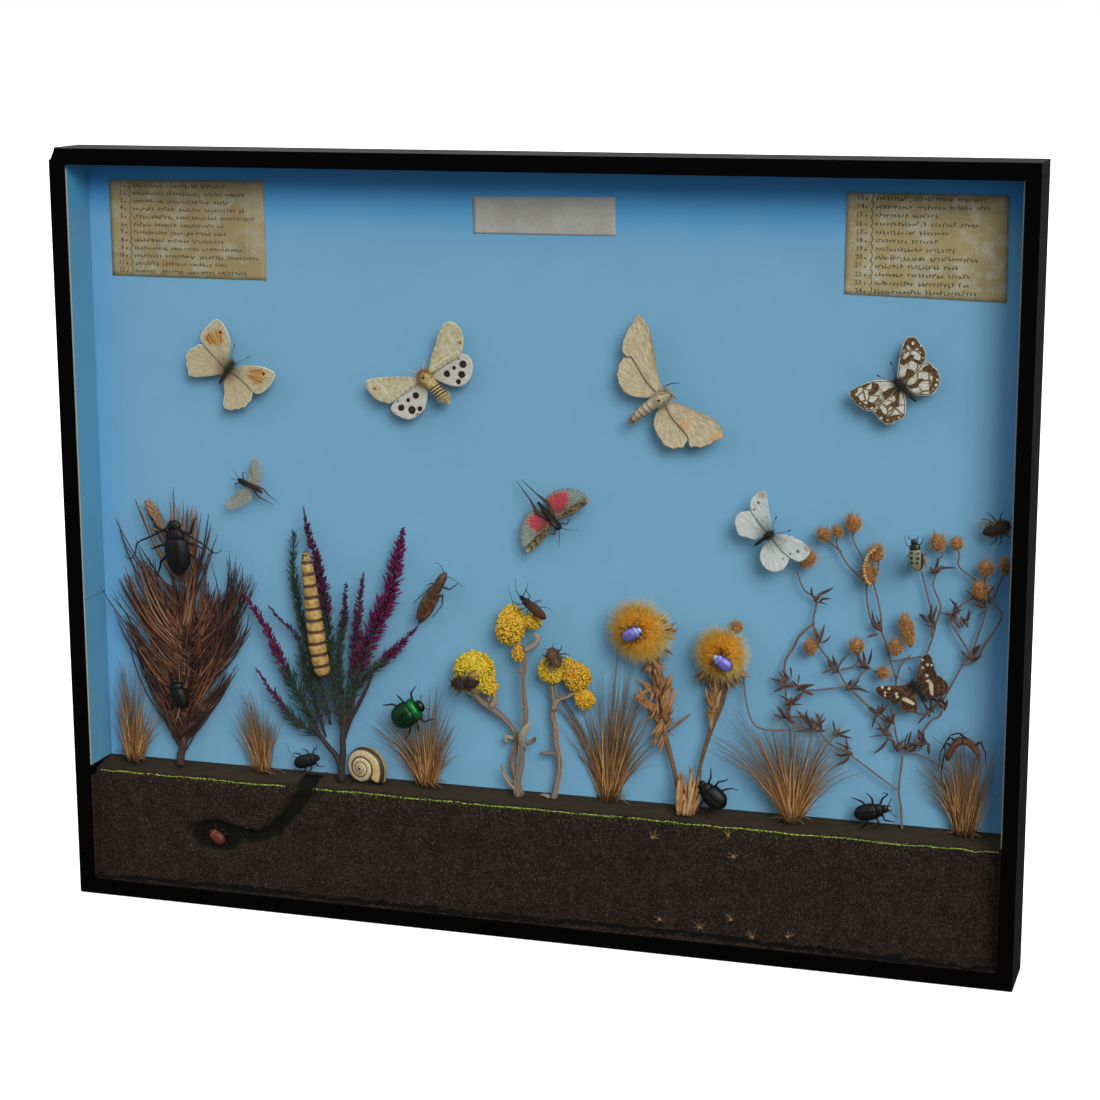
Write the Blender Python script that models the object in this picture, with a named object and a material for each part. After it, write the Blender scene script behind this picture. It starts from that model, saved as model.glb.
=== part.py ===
"""Glazed insect collection case: a shallow black box with a glass front, holding
pinned butterflies, beetles and grasshoppers over dried plants and a bank of soil.

Stands upright on its bottom board, facing -Y; the origin is the middle of its foot.
Every piece is modelled in millimetres and scaled to metres when it is finished.
"""

import math

import bmesh
import bpy
from mathutils import Matrix, Vector

for thing in list(bpy.data.objects):
    bpy.data.objects.remove(thing)

MM = 0.001

# The case.
WIDTH, HEIGHT, DEPTH = 500.0, 398.0, 33.0
WALL = 7.0  # thickness of the side, top and bottom boards
GAP = 0.3  # air between neighbouring pieces
BINDING_T = 0.8  # thickness of the black tape around the glass
BINDING_W = {"left": 8.7, "right": 7.4, "top": 8.3, "bottom": 7.1}
GLASS_T = 2.0
REBATE_W = 4.0  # the ledge in the boards' front edge that the glass lies in
BACK_T = 2.0
BACKING_T = 3.1  # blue sheet on which everything is fixed
LINING_T = 1.0
FRONT = -DEPTH / 2
BOARD_Y0 = FRONT + BINDING_T + GAP
GLASS_Y1 = BOARD_Y0 + GLASS_T
REBATE_Y = GLASS_Y1 + GAP
BACK_Y0 = DEPTH / 2 - BACK_T
BOARD_Y1 = BACK_Y0 - GAP
BACKING_Y0 = BOARD_Y1 - BACKING_T
HALF = WIDTH / 2
INNER = HALF - WALL  # inner face of the side boards

# The bank of soil, as heights above the foot at depths behind the front plane.
SOIL_FOOT_Z = WALL + GAP
SOIL_PROFILE = (
    (3.7, SOIL_FOOT_Z), (3.7, 8.5), (10.2, 9.8), (10.6, 67.3), (27.3, 70.8), (27.3, SOIL_FOOT_Z),
)
CHEEK_W = 1.6  # soil stuck to the side walls in front of the bank
BURROW = (
    (-170, 35, 9.5), (-151, 36, 3.2), (-140, 42, 3.2), (-131, 53, 3.4), (-125, 60, 3.6), (-122, 70, 5.0),
)

parts = bpy.data.collections.new("insect_collection_drawer")
bpy.context.scene.collection.children.link(parts)
aids = bpy.data.collections.new("aids")
bpy.context.scene.collection.children.link(aids)


# Shapes: each returns a mesh in millimetres.

def mesh_of(bm):
    mesh = bpy.data.meshes.new("shape")
    bm.to_mesh(mesh)
    bm.free()
    return mesh


def box(low, high):
    bm = bmesh.new()
    middle = [(a + b) / 2 for a, b in zip(low, high)]
    size = Matrix.Diagonal([b - a for a, b in zip(low, high)]).to_4x4()
    bmesh.ops.create_cube(bm, size=1, matrix=Matrix.Translation(middle) @ size)
    return mesh_of(bm)


def made_mesh(curve):
    """The mesh of a curve, with its caps joined to its sides."""
    thing = bpy.data.objects.new("curve", curve)
    aids.objects.link(thing)
    graph = bpy.context.evaluated_depsgraph_get()
    mesh = bpy.data.meshes.new_from_object(thing.evaluated_get(graph))
    bpy.data.objects.remove(thing)
    bm = bmesh.new()
    bm.from_mesh(mesh)
    bmesh.ops.remove_doubles(bm, verts=bm.verts, dist=1e-3)
    bmesh.ops.recalc_face_normals(bm, faces=bm.faces)
    bm.to_mesh(mesh)
    bm.free()
    return mesh


def plate(outline, low, high):
    """A flat sheet with this outline in x and y, between two heights in z."""
    curve = bpy.data.curves.new("plate", "CURVE")
    curve.dimensions = "2D"
    curve.fill_mode = "BOTH"
    curve.extrude = (high - low) / 2
    line = curve.splines.new("POLY")
    line.points.add(len(outline) - 1)
    for point, (x, y) in zip(line.points, outline):
        point.co = (x, y, 0, 1)
    line.use_cyclic_u = True
    mesh = made_mesh(curve)
    mesh.transform(Matrix.Translation((0, 0, (low + high) / 2)))
    return mesh


def ring(sides):
    """The section of a limb: a regular polygon of radius 1."""
    curve = bpy.data.curves.new("section", "CURVE")
    line = curve.splines.new("POLY")
    line.points.add(sides - 1)
    for i, point in enumerate(line.points):
        turn = 2 * math.pi * (i + 0.5) / sides
        point.co = (math.cos(turn), math.sin(turn), 0, 1)
    line.use_cyclic_u = True
    thing = bpy.data.objects.new("section", curve)
    thing.hide_render = True
    thing.display_type = "WIRE"
    aids.objects.link(thing)
    return thing


SECTION = {sides: ring(sides) for sides in (3, 4, 5, 6)}


def limb(points, radii, sides=3):
    """A leg, stem or body: points joined by straight runs, with a radius at each."""
    curve = bpy.data.curves.new("limb", "CURVE")
    curve.dimensions = "3D"
    curve.bevel_mode = "OBJECT"
    curve.bevel_object = SECTION[sides]
    curve.use_fill_caps = True
    line = curve.splines.new("POLY")
    line.points.add(len(points) - 1)
    for i, (point, co) in enumerate(zip(line.points, points)):
        point.co = (*co, 1) if len(co) == 3 else (*co, 0, 1)
        point.radius = radii[i] if i < len(radii) else radii[-1]
    return made_mesh(curve)


def ball(centre, radii):
    """A ball or egg of twenty facets."""
    bm = bmesh.new()
    bmesh.ops.create_icosphere(bm, subdivisions=1, radius=1)
    bm.transform(Matrix.Translation(centre) @ Matrix.Diagonal(radii).to_4x4())
    return mesh_of(bm)


def bud(centre, radii):
    """A small head: two five-sided points base to base."""
    bm = bmesh.new()
    bmesh.ops.create_uvsphere(bm, u_segments=5, v_segments=2, radius=1.15)
    upright = Matrix.Rotation(math.radians(90), 4, "X")
    bm.transform(Matrix.Translation(centre) @ Matrix.Diagonal(radii).to_4x4() @ upright)
    return mesh_of(bm)


def flattened(mesh, factor):
    mesh.transform(Matrix.Diagonal((1, 1, factor)).to_4x4())
    return mesh


def solid(name, mesh, to_case=Matrix.Identity(4)):
    """Names a finished mesh, moves it to its place in the case and turns it to metres."""
    mesh.transform(Matrix.Scale(MM, 4) @ to_case)
    mesh.shade_flat()
    mesh.name = name
    thing = bpy.data.objects.new(name, mesh)
    parts.objects.link(thing)
    material = bpy.data.materials.new(name)
    material.use_nodes = True
    mesh.materials.clear()
    mesh.materials.append(material)
    return thing


def combined(meshes):
    bm = bmesh.new()
    for mesh in meshes:
        bm.from_mesh(mesh)
        bpy.data.meshes.remove(mesh)
    return mesh_of(bm)


def boolean(base, others, operation):
    """One mesh: the base with the others joined to it, or cut from it."""
    pair = [bpy.data.objects.new(n, m) for n, m in (("base", base), ("other", combined(others)))]
    for thing in pair:
        aids.objects.link(thing)
    step = pair[0].modifiers.new("boolean", "BOOLEAN")
    step.operation = operation
    step.solver = "EXACT"
    step.use_self = True
    step.object = pair[1]
    graph = bpy.context.evaluated_depsgraph_get()
    mesh = bpy.data.meshes.new_from_object(pair[0].evaluated_get(graph))
    for thing in pair:
        bpy.data.objects.remove(thing)
    return mesh


def fused(meshes):
    """Shapes that overlap made one body, as growth or glue makes them."""
    return boolean(meshes[0], meshes[1:], "UNION")


def specimen(x, z, lift, heading=0.0):
    """Places a thing whose own x is right, y is towards its head and z faces the glass:
    lift mm in front of the backing, its head turned anticlockwise from straight up."""
    spot = Matrix.Translation((x, BACKING_Y0 - lift, z))
    return spot @ Matrix.Rotation(math.radians(90), 4, "X") @ Matrix.Rotation(math.radians(heading), 4, "Z")


def on_backing(lift):
    """Plants are drawn in the case's own x and z, this far in front of the backing."""
    return specimen(0, 0, lift)


# Case: boards, back, glass, tape and linings.

# The tape, boards and linings are worn away together at the front upper left corner.
wear = box((-3.2, -6, -5.2), (3.2, 6, 5.2))
wear.transform(Matrix.Translation((-HALF, FRONT, HEIGHT)) @ Matrix.Rotation(math.radians(24), 4, "Y"))


def worn(mesh):
    return boolean(mesh, [wear.copy()], "DIFFERENCE")


for side, z0, z1, rebate in (
    ("top", HEIGHT - WALL, HEIGHT, HEIGHT - WALL - 1),
    ("bottom", 0, WALL, WALL - REBATE_W),
):
    board = box((-HALF, BOARD_Y0, z0), (HALF, BOARD_Y1, z1))
    reach = INNER + REBATE_W
    ledge = box((-reach, BOARD_Y0 - 1, rebate), (reach, REBATE_Y, rebate + REBATE_W + 1))
    board = boolean(board, [ledge], "DIFFERENCE")
    solid(side + "_board", worn(board) if side == "top" else board)

for side, sign in (("left", -1), ("right", 1)):
    x0, x1 = sorted((sign * INNER, sign * HALF))
    board = box((x0, BOARD_Y0, WALL + GAP), (x1, BOARD_Y1, HEIGHT - WALL - GAP))
    r0, r1 = sorted((sign * (INNER - 1), sign * (INNER + REBATE_W)))
    ledge = box((r0, BOARD_Y0 - 1, WALL), (r1, REBATE_Y, HEIGHT - WALL))
    solid(side + "_board", boolean(board, [ledge], "DIFFERENCE"))

solid("back_board", box((-HALF, BACK_Y0, 0), (HALF, BACK_Y0 + BACK_T, HEIGHT)))

margin = WALL - REBATE_W + GAP
solid("glass_pane", box((-HALF + margin, BOARD_Y0, margin), (HALF - margin, GLASS_Y1, HEIGHT - margin)))

# Four strips of tape, mitred where they meet.
left, right = -HALF + BINDING_W["left"], HALF - BINDING_W["right"]
low, high = BINDING_W["bottom"], HEIGHT - BINDING_W["top"]
m = GAP / 2
STRIPS = {
    "top": ((-HALF + m, HEIGHT), (left + m, high), (right - m, high), (HALF - m, HEIGHT)),
    "bottom": ((-HALF + m, 0), (HALF - m, 0), (right - m, low), (left + m, low)),
    "left": ((-HALF, m), (left, low + m), (left, high - m), (-HALF, HEIGHT - m)),
    "right": ((HALF, m), (HALF, HEIGHT - m), (right, high - m), (right, low + m)),
}
to_front = Matrix.Translation((0, FRONT + BINDING_T, 0)) @ Matrix.Rotation(math.radians(90), 4, "X")
for side, outline in STRIPS.items():
    strip = plate(outline, 0, BINDING_T)
    strip.transform(to_front)
    solid("binding_" + side, worn(strip) if side in ("top", "left") else strip)

inset = INNER - GAP
ceiling = HEIGHT - WALL - GAP
solid("backing_sheet", box((-inset, BACKING_Y0, SOIL_FOOT_Z), (inset, BOARD_Y1, ceiling)))
lining_y = (REBATE_Y + GAP, BACKING_Y0 - GAP)
lining_top = ceiling - LINING_T - GAP
lining_foot = 71.2  # just above the soil
for side, sign in (("left", -1), ("right", 1)):
    x0, x1 = sorted((sign * inset, sign * (inset - LINING_T)))
    solid(side + "_lining", box((x0, lining_y[0], lining_foot), (x1, lining_y[1], lining_top)))
solid("top_lining", box((-inset, lining_y[0], ceiling - LINING_T), (inset, lining_y[1], ceiling)))

# Soil: one section run across the case, cheeks at the sides, and a burrow dug into its face.
outline = [(FRONT + y, z) for y, z in SOIL_PROFILE]
bank = plate(outline, -inset, inset)
bank.transform(Matrix.Rotation(math.radians(90), 4, "Z") @ Matrix.Rotation(math.radians(90), 4, "X"))
cheeks = [
    box((min(sign * inset, sign * (inset - CHEEK_W)), lining_y[0], SOIL_FOOT_Z + 0.6),
        (max(sign * inset, sign * (inset - CHEEK_W)), FRONT + 12, 66.7))
    for sign in (-1, 1)
]
bank = boolean(bank, cheeks, "UNION")
face_y = FRONT + 10.5
tunnel = limb([(x, face_y, z) for x, z, _ in BURROW[1:]], [r for _, _, r in BURROW[1:]], 6)
den_x, den_z, den_r = BURROW[0]
den = ball((den_x - 4, face_y, den_z), (den_r * 1.6, den_r * 0.9, den_r * 0.9))
run = limb([(den_x, face_y, den_z), (BURROW[1][0], face_y, BURROW[1][1])], [4.2, 3.1], 6)
solid("soil_bank", boolean(bank, [boolean(den, [run, tunnel], "UNION")], "DIFFERENCE"))

# Paper labels, pasted on the backing a little crooked.
LABELS = {
    "label_left": ((-230, 380.6), (-229.9, 331.2), (-143.3, 331.0), (-143.3, 381.5)),
    "label_right": ((156, 381.2), (155.7, 333.1), (232.6, 331.2), (232.2, 381.1)),
    "label_title": ((-31.2, 375.7), (-31.1, 357.6), (42.3, 357.9), (42.1, 376.8)),
}
LABEL_T = 0.5
for name, outline in LABELS.items():
    solid(name, plate(outline, 0, LABEL_T), on_backing(GAP))


# Butterflies and moths: four wings, body, feelers and a pin into the backing.

def mirrored(outline):
    return [(-x, y) for x, y in outline]


def winged(fore, hind, fore_left=None, hind_left=None):
    """Four wing sheets. A wing is drawn for the right, from its root round its edge;
    the left ones repeat it, or have their own where the real insect's differ."""
    sheets = []
    for outline, low, high in ((fore, 0.35, 0.75), (hind, -0.15, 0.2)):
        sheets.append(plate(outline, low, high))
    for outline, low, high in ((fore_left or fore, 0.35, 0.75), (hind_left or hind, -0.15, 0.2)):
        sheets.append(plate(mirrored(outline), low, high))
    return sheets


def pin(y, lift):
    """Stands through the chest, its point just short of the backing's surface."""
    return limb([(0, y, GAP - lift), (0, y, 2.6)], [0.25])


BUTTERFLIES = {
    "brown_butterfly": dict(
        at=(-163.2, 284.2, 8, -39),
        body=((0.6, -7.4, 0.4), (0.5, -4.5, 1.1), (0.2, -1, 1.0), (0, 2, 1.7), (0, 4.6, 1.2), (0, 6, 0.5)),
        feelers=((5, 15), (-5, 15)),
        fore=((0, 3), (2.1, 4.2), (6.2, 9.9), (12.8, 15), (21.6, 17.2), (22.8, 10.1), (21.3, 3.9),
              (18, 1.7), (10.7, 1.6), (0, -0.6)),
        fore_left=((0, 3), (7, 13.4), (15.2, 18.6), (20.8, 17.8), (22.3, 10.4), (21.6, 4.9), (18.1, 3.1),
                   (3.2, 1), (0, -0.6)),
        hind=((0, 1.5), (11, 2.6), (16.1, 2.4), (19.1, -1.5), (19, -7.9), (12.8, -15.5), (8.8, -14.8),
              (6.3, -10.7), (0, -3.4)),
        hind_left=((0, 1.5), (14.8, 3.3), (20.5, -0.4), (22.9, -6.6), (20.2, -11.1), (14.8, -15.4),
                   (9.5, -12.1), (0, -3.4)),
    ),
    "tiger_moth": dict(
        at=(-53, 285.2, 8, 37),
        body=((1.7, -16.9, 0.8), (1.2, -13, 2.6), (0.6, -6, 3.0), (0, -1, 2.6), (0, 3, 3.0), (0, 5, 1.4)),
        feelers=((5, 9.5), (-5, 9.5)),
        fore=((0, 3.5), (7.8, 7.5), (18.7, 14.6), (23.5, 16.8), (27.2, 16), (29.2, 13.4), (29.5, 9.2),
              (27.9, 5.1), (24.8, 1.8), (21.2, -0.3), (5.2, 0.7), (0, 0)),
        fore_left=((0, 3.5), (5.4, 4.4), (12.2, 9.7), (26.1, 17.7), (28.5, 17.3), (29.7, 14.4),
                   (29.3, 7.9), (25.9, 3), (23.4, 1.3), (0, 0)),
        hind=((0, 0.5), (17, 0.8), (22.4, -1.4), (24.6, -4.2), (23.2, -8.7), (19.4, -12.2), (15.1, -13.5),
              (11.5, -12.9), (0, -4)),
        hind_left=((0, 0.5), (24.7, 1.2), (26.1, -3), (24.7, -6.4), (22.1, -10.1), (19.1, -11.5),
                   (15.2, -11.7), (10.4, -10.7), (0, -4)),
    ),
    "hawk_moth": dict(
        at=(67.5, 279.3, 9, -50),
        body=((-0.4, -20.1, 0.4), (-0.2, -12, 2.6), (0, -4, 3.2), (0, 1, 3.2), (0, 4.5, 2.2), (0, 6.3, 1.2)),
        feelers=((6, 11.4), (-6, 11.4)),
        fore=((0, 3.2), (3.6, 3.9), (8.1, 7.3), (23.5, 16.1), (29, 16.4), (33.7, 14.8), (31.8, 3.4),
              (26.9, -2.3), (21.6, 0), (0, -0.5)),
        fore_left=((0, 3.2), (7.4, 5.8), (20.1, 13.4), (31, 18.9), (35.8, 19.5), (39.8, 18.5), (36.7, 8.8),
                   (34.4, 4.6), (30.8, 0.5), (29, 0.4), (24.9, 2.4), (0, -0.5)),
        hind=((0, 0.5), (21.6, 1), (25.3, -5.1), (22.7, -10.3), (19.6, -12.6), (10, -11.9), (0, -5)),
        hind_left=((0, 0.5), (27.7, 1), (27.7, -2), (26, -6.2), (23.6, -9.2), (18.9, -11.6), (14.2, -11.9),
                   (0, -5)),
    ),
    "marbled_white": dict(
        at=(185.6, 290.9, 8, 46),
        body=((0, -10.2, 0.4), (0, -7, 1.1), (0, -2, 1.0), (0, 1, 1.6), (0, 3, 1.2), (0, 4.2, 0.5)),
        feelers=((4.6, 12), (-4.6, 12)),
        fore=((0, 3), (9.3, 10.5), (14.4, 13.6), (17.8, 14.7), (20.2, 13.8), (21.5, 11.7), (20.2, 4),
              (17.8, 1.5), (15.4, 0.1), (0, -0.5)),
        fore_left=((0, 3), (3.4, 7.4), (7.9, 11.3), (14.2, 14.2), (18.8, 15.5), (20.5, 15.1), (21.3, 13),
                   (21.6, 7.9), (20.8, 4.2), (18.3, 1.3), (0, -0.5)),
        hind=((0, 0.5), (15.4, 1), (17.9, -2.8), (17.8, -6.8), (16.1, -10.1), (12.7, -12.5), (9.1, -13.1),
              (5.2, -11.4), (2, -7.8), (0, -3)),
        hind_left=((0, 0.5), (17.6, 1.2), (18.8, -1.3), (18.8, -5.4), (18, -8.3), (15.7, -10.2),
                   (9.2, -11.4), (4.5, -7.7), (0, -3)),
    ),
    "small_white": dict(
        at=(123, 215.6, 12, -50),
        body=((0, -8.7, 0.3), (0, -5, 1.0), (0, -1.5, 0.9), (0, 0.5, 1.5), (0, 2.2, 1.2), (0, 3.4, 0.5)),
        feelers=((4.6, 11), (-4.6, 11)),
        fore=((0, 2), (1.6, 3), (6.5, 8.8), (13.5, 12.2), (17, 12.6), (18.8, 11.8), (19.9, 7.7),
              (19.1, 4.4), (16.5, 2.6), (0, -1)),
        fore_left=((0, 2), (15.6, 12.2), (17.9, 12.9), (19.3, 11.4), (19.5, 9), (19.1, 5.8), (17.5, 2.8),
                   (14.5, 1), (7, 0.6), (0, -1)),
        hind=((0, 0), (7.1, 1.5), (12, 1.6), (17.3, -3.2), (17.1, -6.4), (15.3, -9.5), (11.9, -11.3),
              (7.6, -11.1), (4.7, -9.1), (2.6, -5.1), (0, -2.5)),
        hind_left=((0, 0), (8, 1.5), (12.7, 0.8), (17.1, -3.4), (17.2, -6), (15.4, -8.8), (11.8, -10.8),
                   (8.4, -11.3), (2.5, -6.8), (0, -3)),
    ),
    "map_butterfly": dict(
        at=(196.6, 144.6, 8, 40),
        body=((-1, -9.3, 0.3), (-0.8, -6, 0.9), (-0.4, -2, 0.9), (0, 0.5, 1.4), (-0.3, 2, 1.1),
              (-0.6, 3.3, 0.5)),
        feelers=((3.2, 10), (-4.6, 10)),
        fore=((0, 2), (1.2, 2.3), (9.2, 8.4), (13.1, 10.1), (15.5, 8.3), (14.5, 4.7), (11, -1.2), (0, -1)),
        fore_left=((0, 2), (5.4, 4.5), (13.7, 10.1), (16.2, 11), (17.8, 8.9), (17.3, 5.5), (13.5, -1.2),
                   (0, -1)),
        hind=((0, 0), (11, -0.2), (13.4, -7.1), (11.6, -10.8), (7.3, -11.5), (1.8, -8.9), (-0.4, -4)),
        hind_left=((0, 0), (13, -0.2), (12.8, -7.3), (7.9, -10.4), (0.4, -3)),
    ),
}


def feeler(head_y, tip, club):
    """A feeler from the head, thicker at its tip on a butterfly."""
    x, y = tip
    side = math.copysign(0.4, x)
    return limb([(side, head_y - 0.8, 0.2), (x, y, 1.0)], [0.14, club])


for name, b in BUTTERFLIES.items():
    x, z, lift, heading = b["at"]
    *_, (head_x, head_y, _) = b["body"]
    trunk = limb([(bx, by) for bx, by, _ in b["body"]], [r for _, _, r in b["body"]], 5)
    feelers = [feeler(head_y, tip, 0.35) for tip in b["feelers"]]
    pieces = winged(b["fore"], b["hind"], b["fore_left"], b["hind_left"]) + feelers + [pin(1.2, lift)]
    solid(name, fused([trunk] + pieces), specimen(x, z, lift, heading))


# Grasshoppers, set with their wings spread or, in one, with its wings lost.

def paired(points):
    """The same run of points on the right and on the left."""
    return [points, [(-x, *rest) for x, *rest in points]]


pale = limb([(0, -9.2), (0, -5), (0, 0), (0.2, 3), (0.5, 4.8)], [0.6, 1.7, 2.0, 1.8, 0.8], 6)
pieces = winged(
    ((0, 2.6), (6.9, 2.6), (15, 4.4), (17.1, 3.2), (16, 1.4), (8, 0.2), (0, 0)),
    ((0, 1), (8, 0.6), (16.8, 1.6), (15.6, -0.8), (12.1, -3.7), (7.7, -5.9), (3.7, -5.9), (0, -3)),
)
pieces += [limb([(1, -2, 0), (3.2, -9.2, -0.4), (2.1, -19.3, -1)], [0.9, 0.45, 0.25])]
pieces += [limb([(-1, -2, 0), (-2.8, -9.0, -0.4), (-0.7, -17.5, -1)], [0.9, 0.45, 0.25])]
pieces += [limb([(x * 0.12, 4, 0.3), (x, 7.4, 0.5)], [0.18, 0.12]) for x in (3.5, -3.5)]
solid("pale_grasshopper", fused([pale] + pieces + [pin(1.2, 7)]), specimen(-154.3, 225.7, 7, 57))

red = limb([(-0.5, -14.6), (-0.2, -9), (0, -3), (0.4, 1), (0.8, 3.2), (1, 4.6)],
           [0.7, 1.6, 2.3, 2.3, 1.8, 0.8], 6)
pieces = winged(
    ((0, 2.4), (4, 2.7), (12, 5), (20, 5), (22.5, 3.6), (19.9, 2), (14, 1.2), (7.8, 0.4), (0, -0.4)),
    ((0, 0.8), (8, 1.2), (14, 1.9), (21.5, 1.6), (21.3, -1), (19, -5), (14.4, -8.7), (8.7, -10.7),
     (3.5, -9.5), (0, -4)),
)
pieces += [limb([(1.4, -3, 0), (2.4, -15.4, 0.2), (1.9, -26.6, -1)], [1.3, 0.5, 0.3])]
pieces += [limb([(-1.4, -3, 0), (-2.4, -14.5, 0.2), (-0.6, -25.5, -1)], [1.3, 0.5, 0.3])]
pieces += [limb([(0.9 + x * 0.03, 3.6, 0.3), (x, 12.6, 0.6)], [0.2, 0.12]) for x in (7, -7)]
solid("red_grasshopper", fused([red] + pieces + [pin(1.5, 7)]), specimen(11.9, 216.4, 7, -138))


def between(tail, head, lift):
    """The place of an insect that lies from tail to head, given in the case's x and z, and its length."""
    (x0, z0), (x1, z1) = tail, head
    heading = math.degrees(math.atan2(x0 - x1, z1 - z0))
    return specimen((x0 + x1) / 2, (z0 + z1) / 2, lift, heading), math.hypot(x1 - x0, z1 - z0)


def seen_from(spot, points, heights=(0.0,)):
    """Points given in the case's x and z, in an insect's own frame at these heights over its middle."""
    own = []
    for i, (x, z) in enumerate(points):
        at = spot.inverted() @ Vector((x, 0, z))
        own.append((at.x, at.y, heights[min(i, len(heights) - 1)]))
    return own


spot, length = between((-59.7, 159.1), (-44.1, 186.4), 9)
brown = flattened(limb(
    [(-0.3, -length / 2), (-0.3, -9), (0, 0), (0.2, 6), (0.2, 11), (0, length / 2)],
    [2.4, 4.0, 4.6, 3.8, 2.6, 0.9], 6), 0.75)
LEGS = (
    ((-48.4, 176.0), (-52.2, 178.4), (-62.7, 168.6)),
    ((-47.0, 176.0), (-44.2, 172.8), (-52.1, 161.8)),
    ((-45.0, 181.0), (-40.8, 181.5), (-34.5, 177.1)),
    ((-46.6, 179.6), (-45.4, 185.5), (-49.2, 190.7), (-51.4, 189.5)),
    ((-44.6, 177.2), (-41.7, 177.7), (-37.5, 181.2)),
)
legs = [limb(seen_from(spot, leg, (0, 0.6, -0.5)), [0.5, 0.4, 0.25]) for leg in LEGS]
solid("brown_grasshopper", fused([brown] + legs), spot)


# Beetles, bugs and bees.

# Fractions of length and of half the width: round wing cases, a waist, then chest and head.
BEETLE = (
    (-0.5, 0.35), (-0.32, 0.92), (0.0, 1.0), (0.17, 0.62), (0.28, 0.78), (0.4, 0.42), (0.5, 0.25),
)
BEE = ((-0.5, 0.3), (-0.3, 0.9), (-0.02, 0.8), (0.16, 1.0), (0.34, 0.7), (0.5, 0.35))
SMALL = ((-0.5, 0.4), (-0.22, 1.0), (0.12, 0.9), (0.32, 0.6), (0.5, 0.3))


def beetle(length, width, shape=BEETLE, thick=0.6, reach=1.0, knees=True):
    """A body and three pairs of legs; returns the meshes, the body first."""
    half = width / 2
    trunk = limb([(0, t * length) for t, _ in shape], [r * half for _, r in shape], 6)
    pieces = [flattened(trunk, thick)]
    under, foot = -thick * half * 0.35, -thick * half * 0.8
    for hip, knee, toe in (((0.3, 0.24), (1.5, 0.34), (1.8, 0.52)), ((0.3, 0.08), (1.8, 0.1), (2.2, -0.06)),
                           ((0.3, -0.06), (1.6, -0.12), (2.0, -0.44))):
        run = [(hip[0] * half, hip[1] * length, under), (knee[0] * half * reach, knee[1] * length, under * 0.5)]
        if knees and knee[1] < 0.3:
            run.append((toe[0] * half * reach, toe[1] * length, foot))
        pieces += [limb(side, [0.08 * half + 0.25, 0.05 * half + 0.2, 0.2]) for side in paired(run)]
    return pieces


CRAWLERS = {
    # name: tail, head, lift, width, body, thickness, reach of its legs, feelers in the case's x and z
    "longhorn_beetle": ((-190, 177), (-193, 206), 15, 10.5, BEETLE, 0.62, 0.85, (
        ((-193.4, 202.4), (-205, 197), (-215, 187), (-221, 185)),
        ((-191.8, 202.6), (-184, 199), (-171, 191), (-166, 192)),
    )),
    "branch_beetle": ((-191, 103), (-198, 120), 12.5, 9, BEETLE, 0.6, 0.8, ()),
    "green_chafer": ((-74, 105), (-56, 117), 12.4, 12.6, BEETLE, 0.62, 0.75, ()),
    "slim_beetle": ((11, 167), (-3, 178), 16, 4, SMALL, 0.8, 1.6, (
        ((-2.4, 177.4), (-7, 182.5), (-9, 182)),
        ((-2.4, 177.8), (-3.6, 183)),
    )),
    "blue_beetle_left": ((52.4, 161.4), (61.6, 166.4), 22.2, 6, SMALL, 0.7, 1.1, ()),
    "blue_beetle_right": ((108.4, 149.2), (97.8, 156), 22.2, 6, SMALL, 0.7, 1.1, ()),
    "black_beetle_left": ((103, 75.6), (89, 87), 11.4, 11, BEETLE, 0.62, 0.7, (
        ((90, 86.4), (93, 92), (97, 93)),
    )),
    "black_beetle_right": ((167.5, 76.6), (184.6, 81.4), 8.4, 8.6, BEETLE, 0.8, 0.7, ()),
    "dark_bug": ((-131.6, 76.4), (-117, 81.4), 7, 7.2, SMALL, 0.8, 0.8, (
        ((-120, 80.4), (-123.6, 83.4), (-127, 84.6)),
    )),
    "bee_beetle": ((196.2, 206), (196, 219), 19.2, 7.5, BEETLE, 0.6, 1.0, ()),
    "bumblebee": ((226.4, 222), (239.4, 227.4), 8, 8, BEE, 0.85, 0.7, ()),
    "bee_left": ((-23.9, 132), (-38, 131), 20.5, 8.4, BEE, 0.8, 0.75, ()),
    "bee_right": ((18, 142.8), (13.4, 152), 17, 7, BEE, 0.8, 0.9, ()),
    "burrow_beetle": ((-170.6, 31.6), (-178.2, 37.2), 13.9, 6, SMALL, 0.7, 0.9, ()),
}
WINGS = {
    # Wings held back over the body, in the bees' own frames.
    "bee_right": (
        ((0.5, 2), (4.5, 0.5), (6.4, -6), (3.6, -5.4)), ((-0.5, 2), (-1, -5), (0.6, -6.6), (1.6, -2)),
    ),
    "bee_left": (((0.8, 2), (3.4, -3), (3.8, -7), (1.2, -5)),),
    "bumblebee": (
        ((0.8, 2), (5.0, -1), (5.6, -8), (2, -6)), ((-0.8, 2), (-4.2, -1), (-4.6, -8), (-1.6, -6)),
    ),
}
for name, (tail, head, lift, width, shape, thick, reach, feelers) in CRAWLERS.items():
    spot, length = between(tail, head, lift)
    pieces = beetle(length, width, shape, thick, reach, knees=shape is BEETLE)
    pieces += [limb(seen_from(spot, run, (0, 0.6, 0)), [0.35, 0.25, 0.2]) for run in feelers]
    for i, wing in enumerate(WINGS.get(name, ())):
        height = width / 2 * thick * 0.55 + 0.35 * i
        pieces.append(plate(wing, height, height + 0.25))
    solid(name, fused(pieces), spot)

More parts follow.
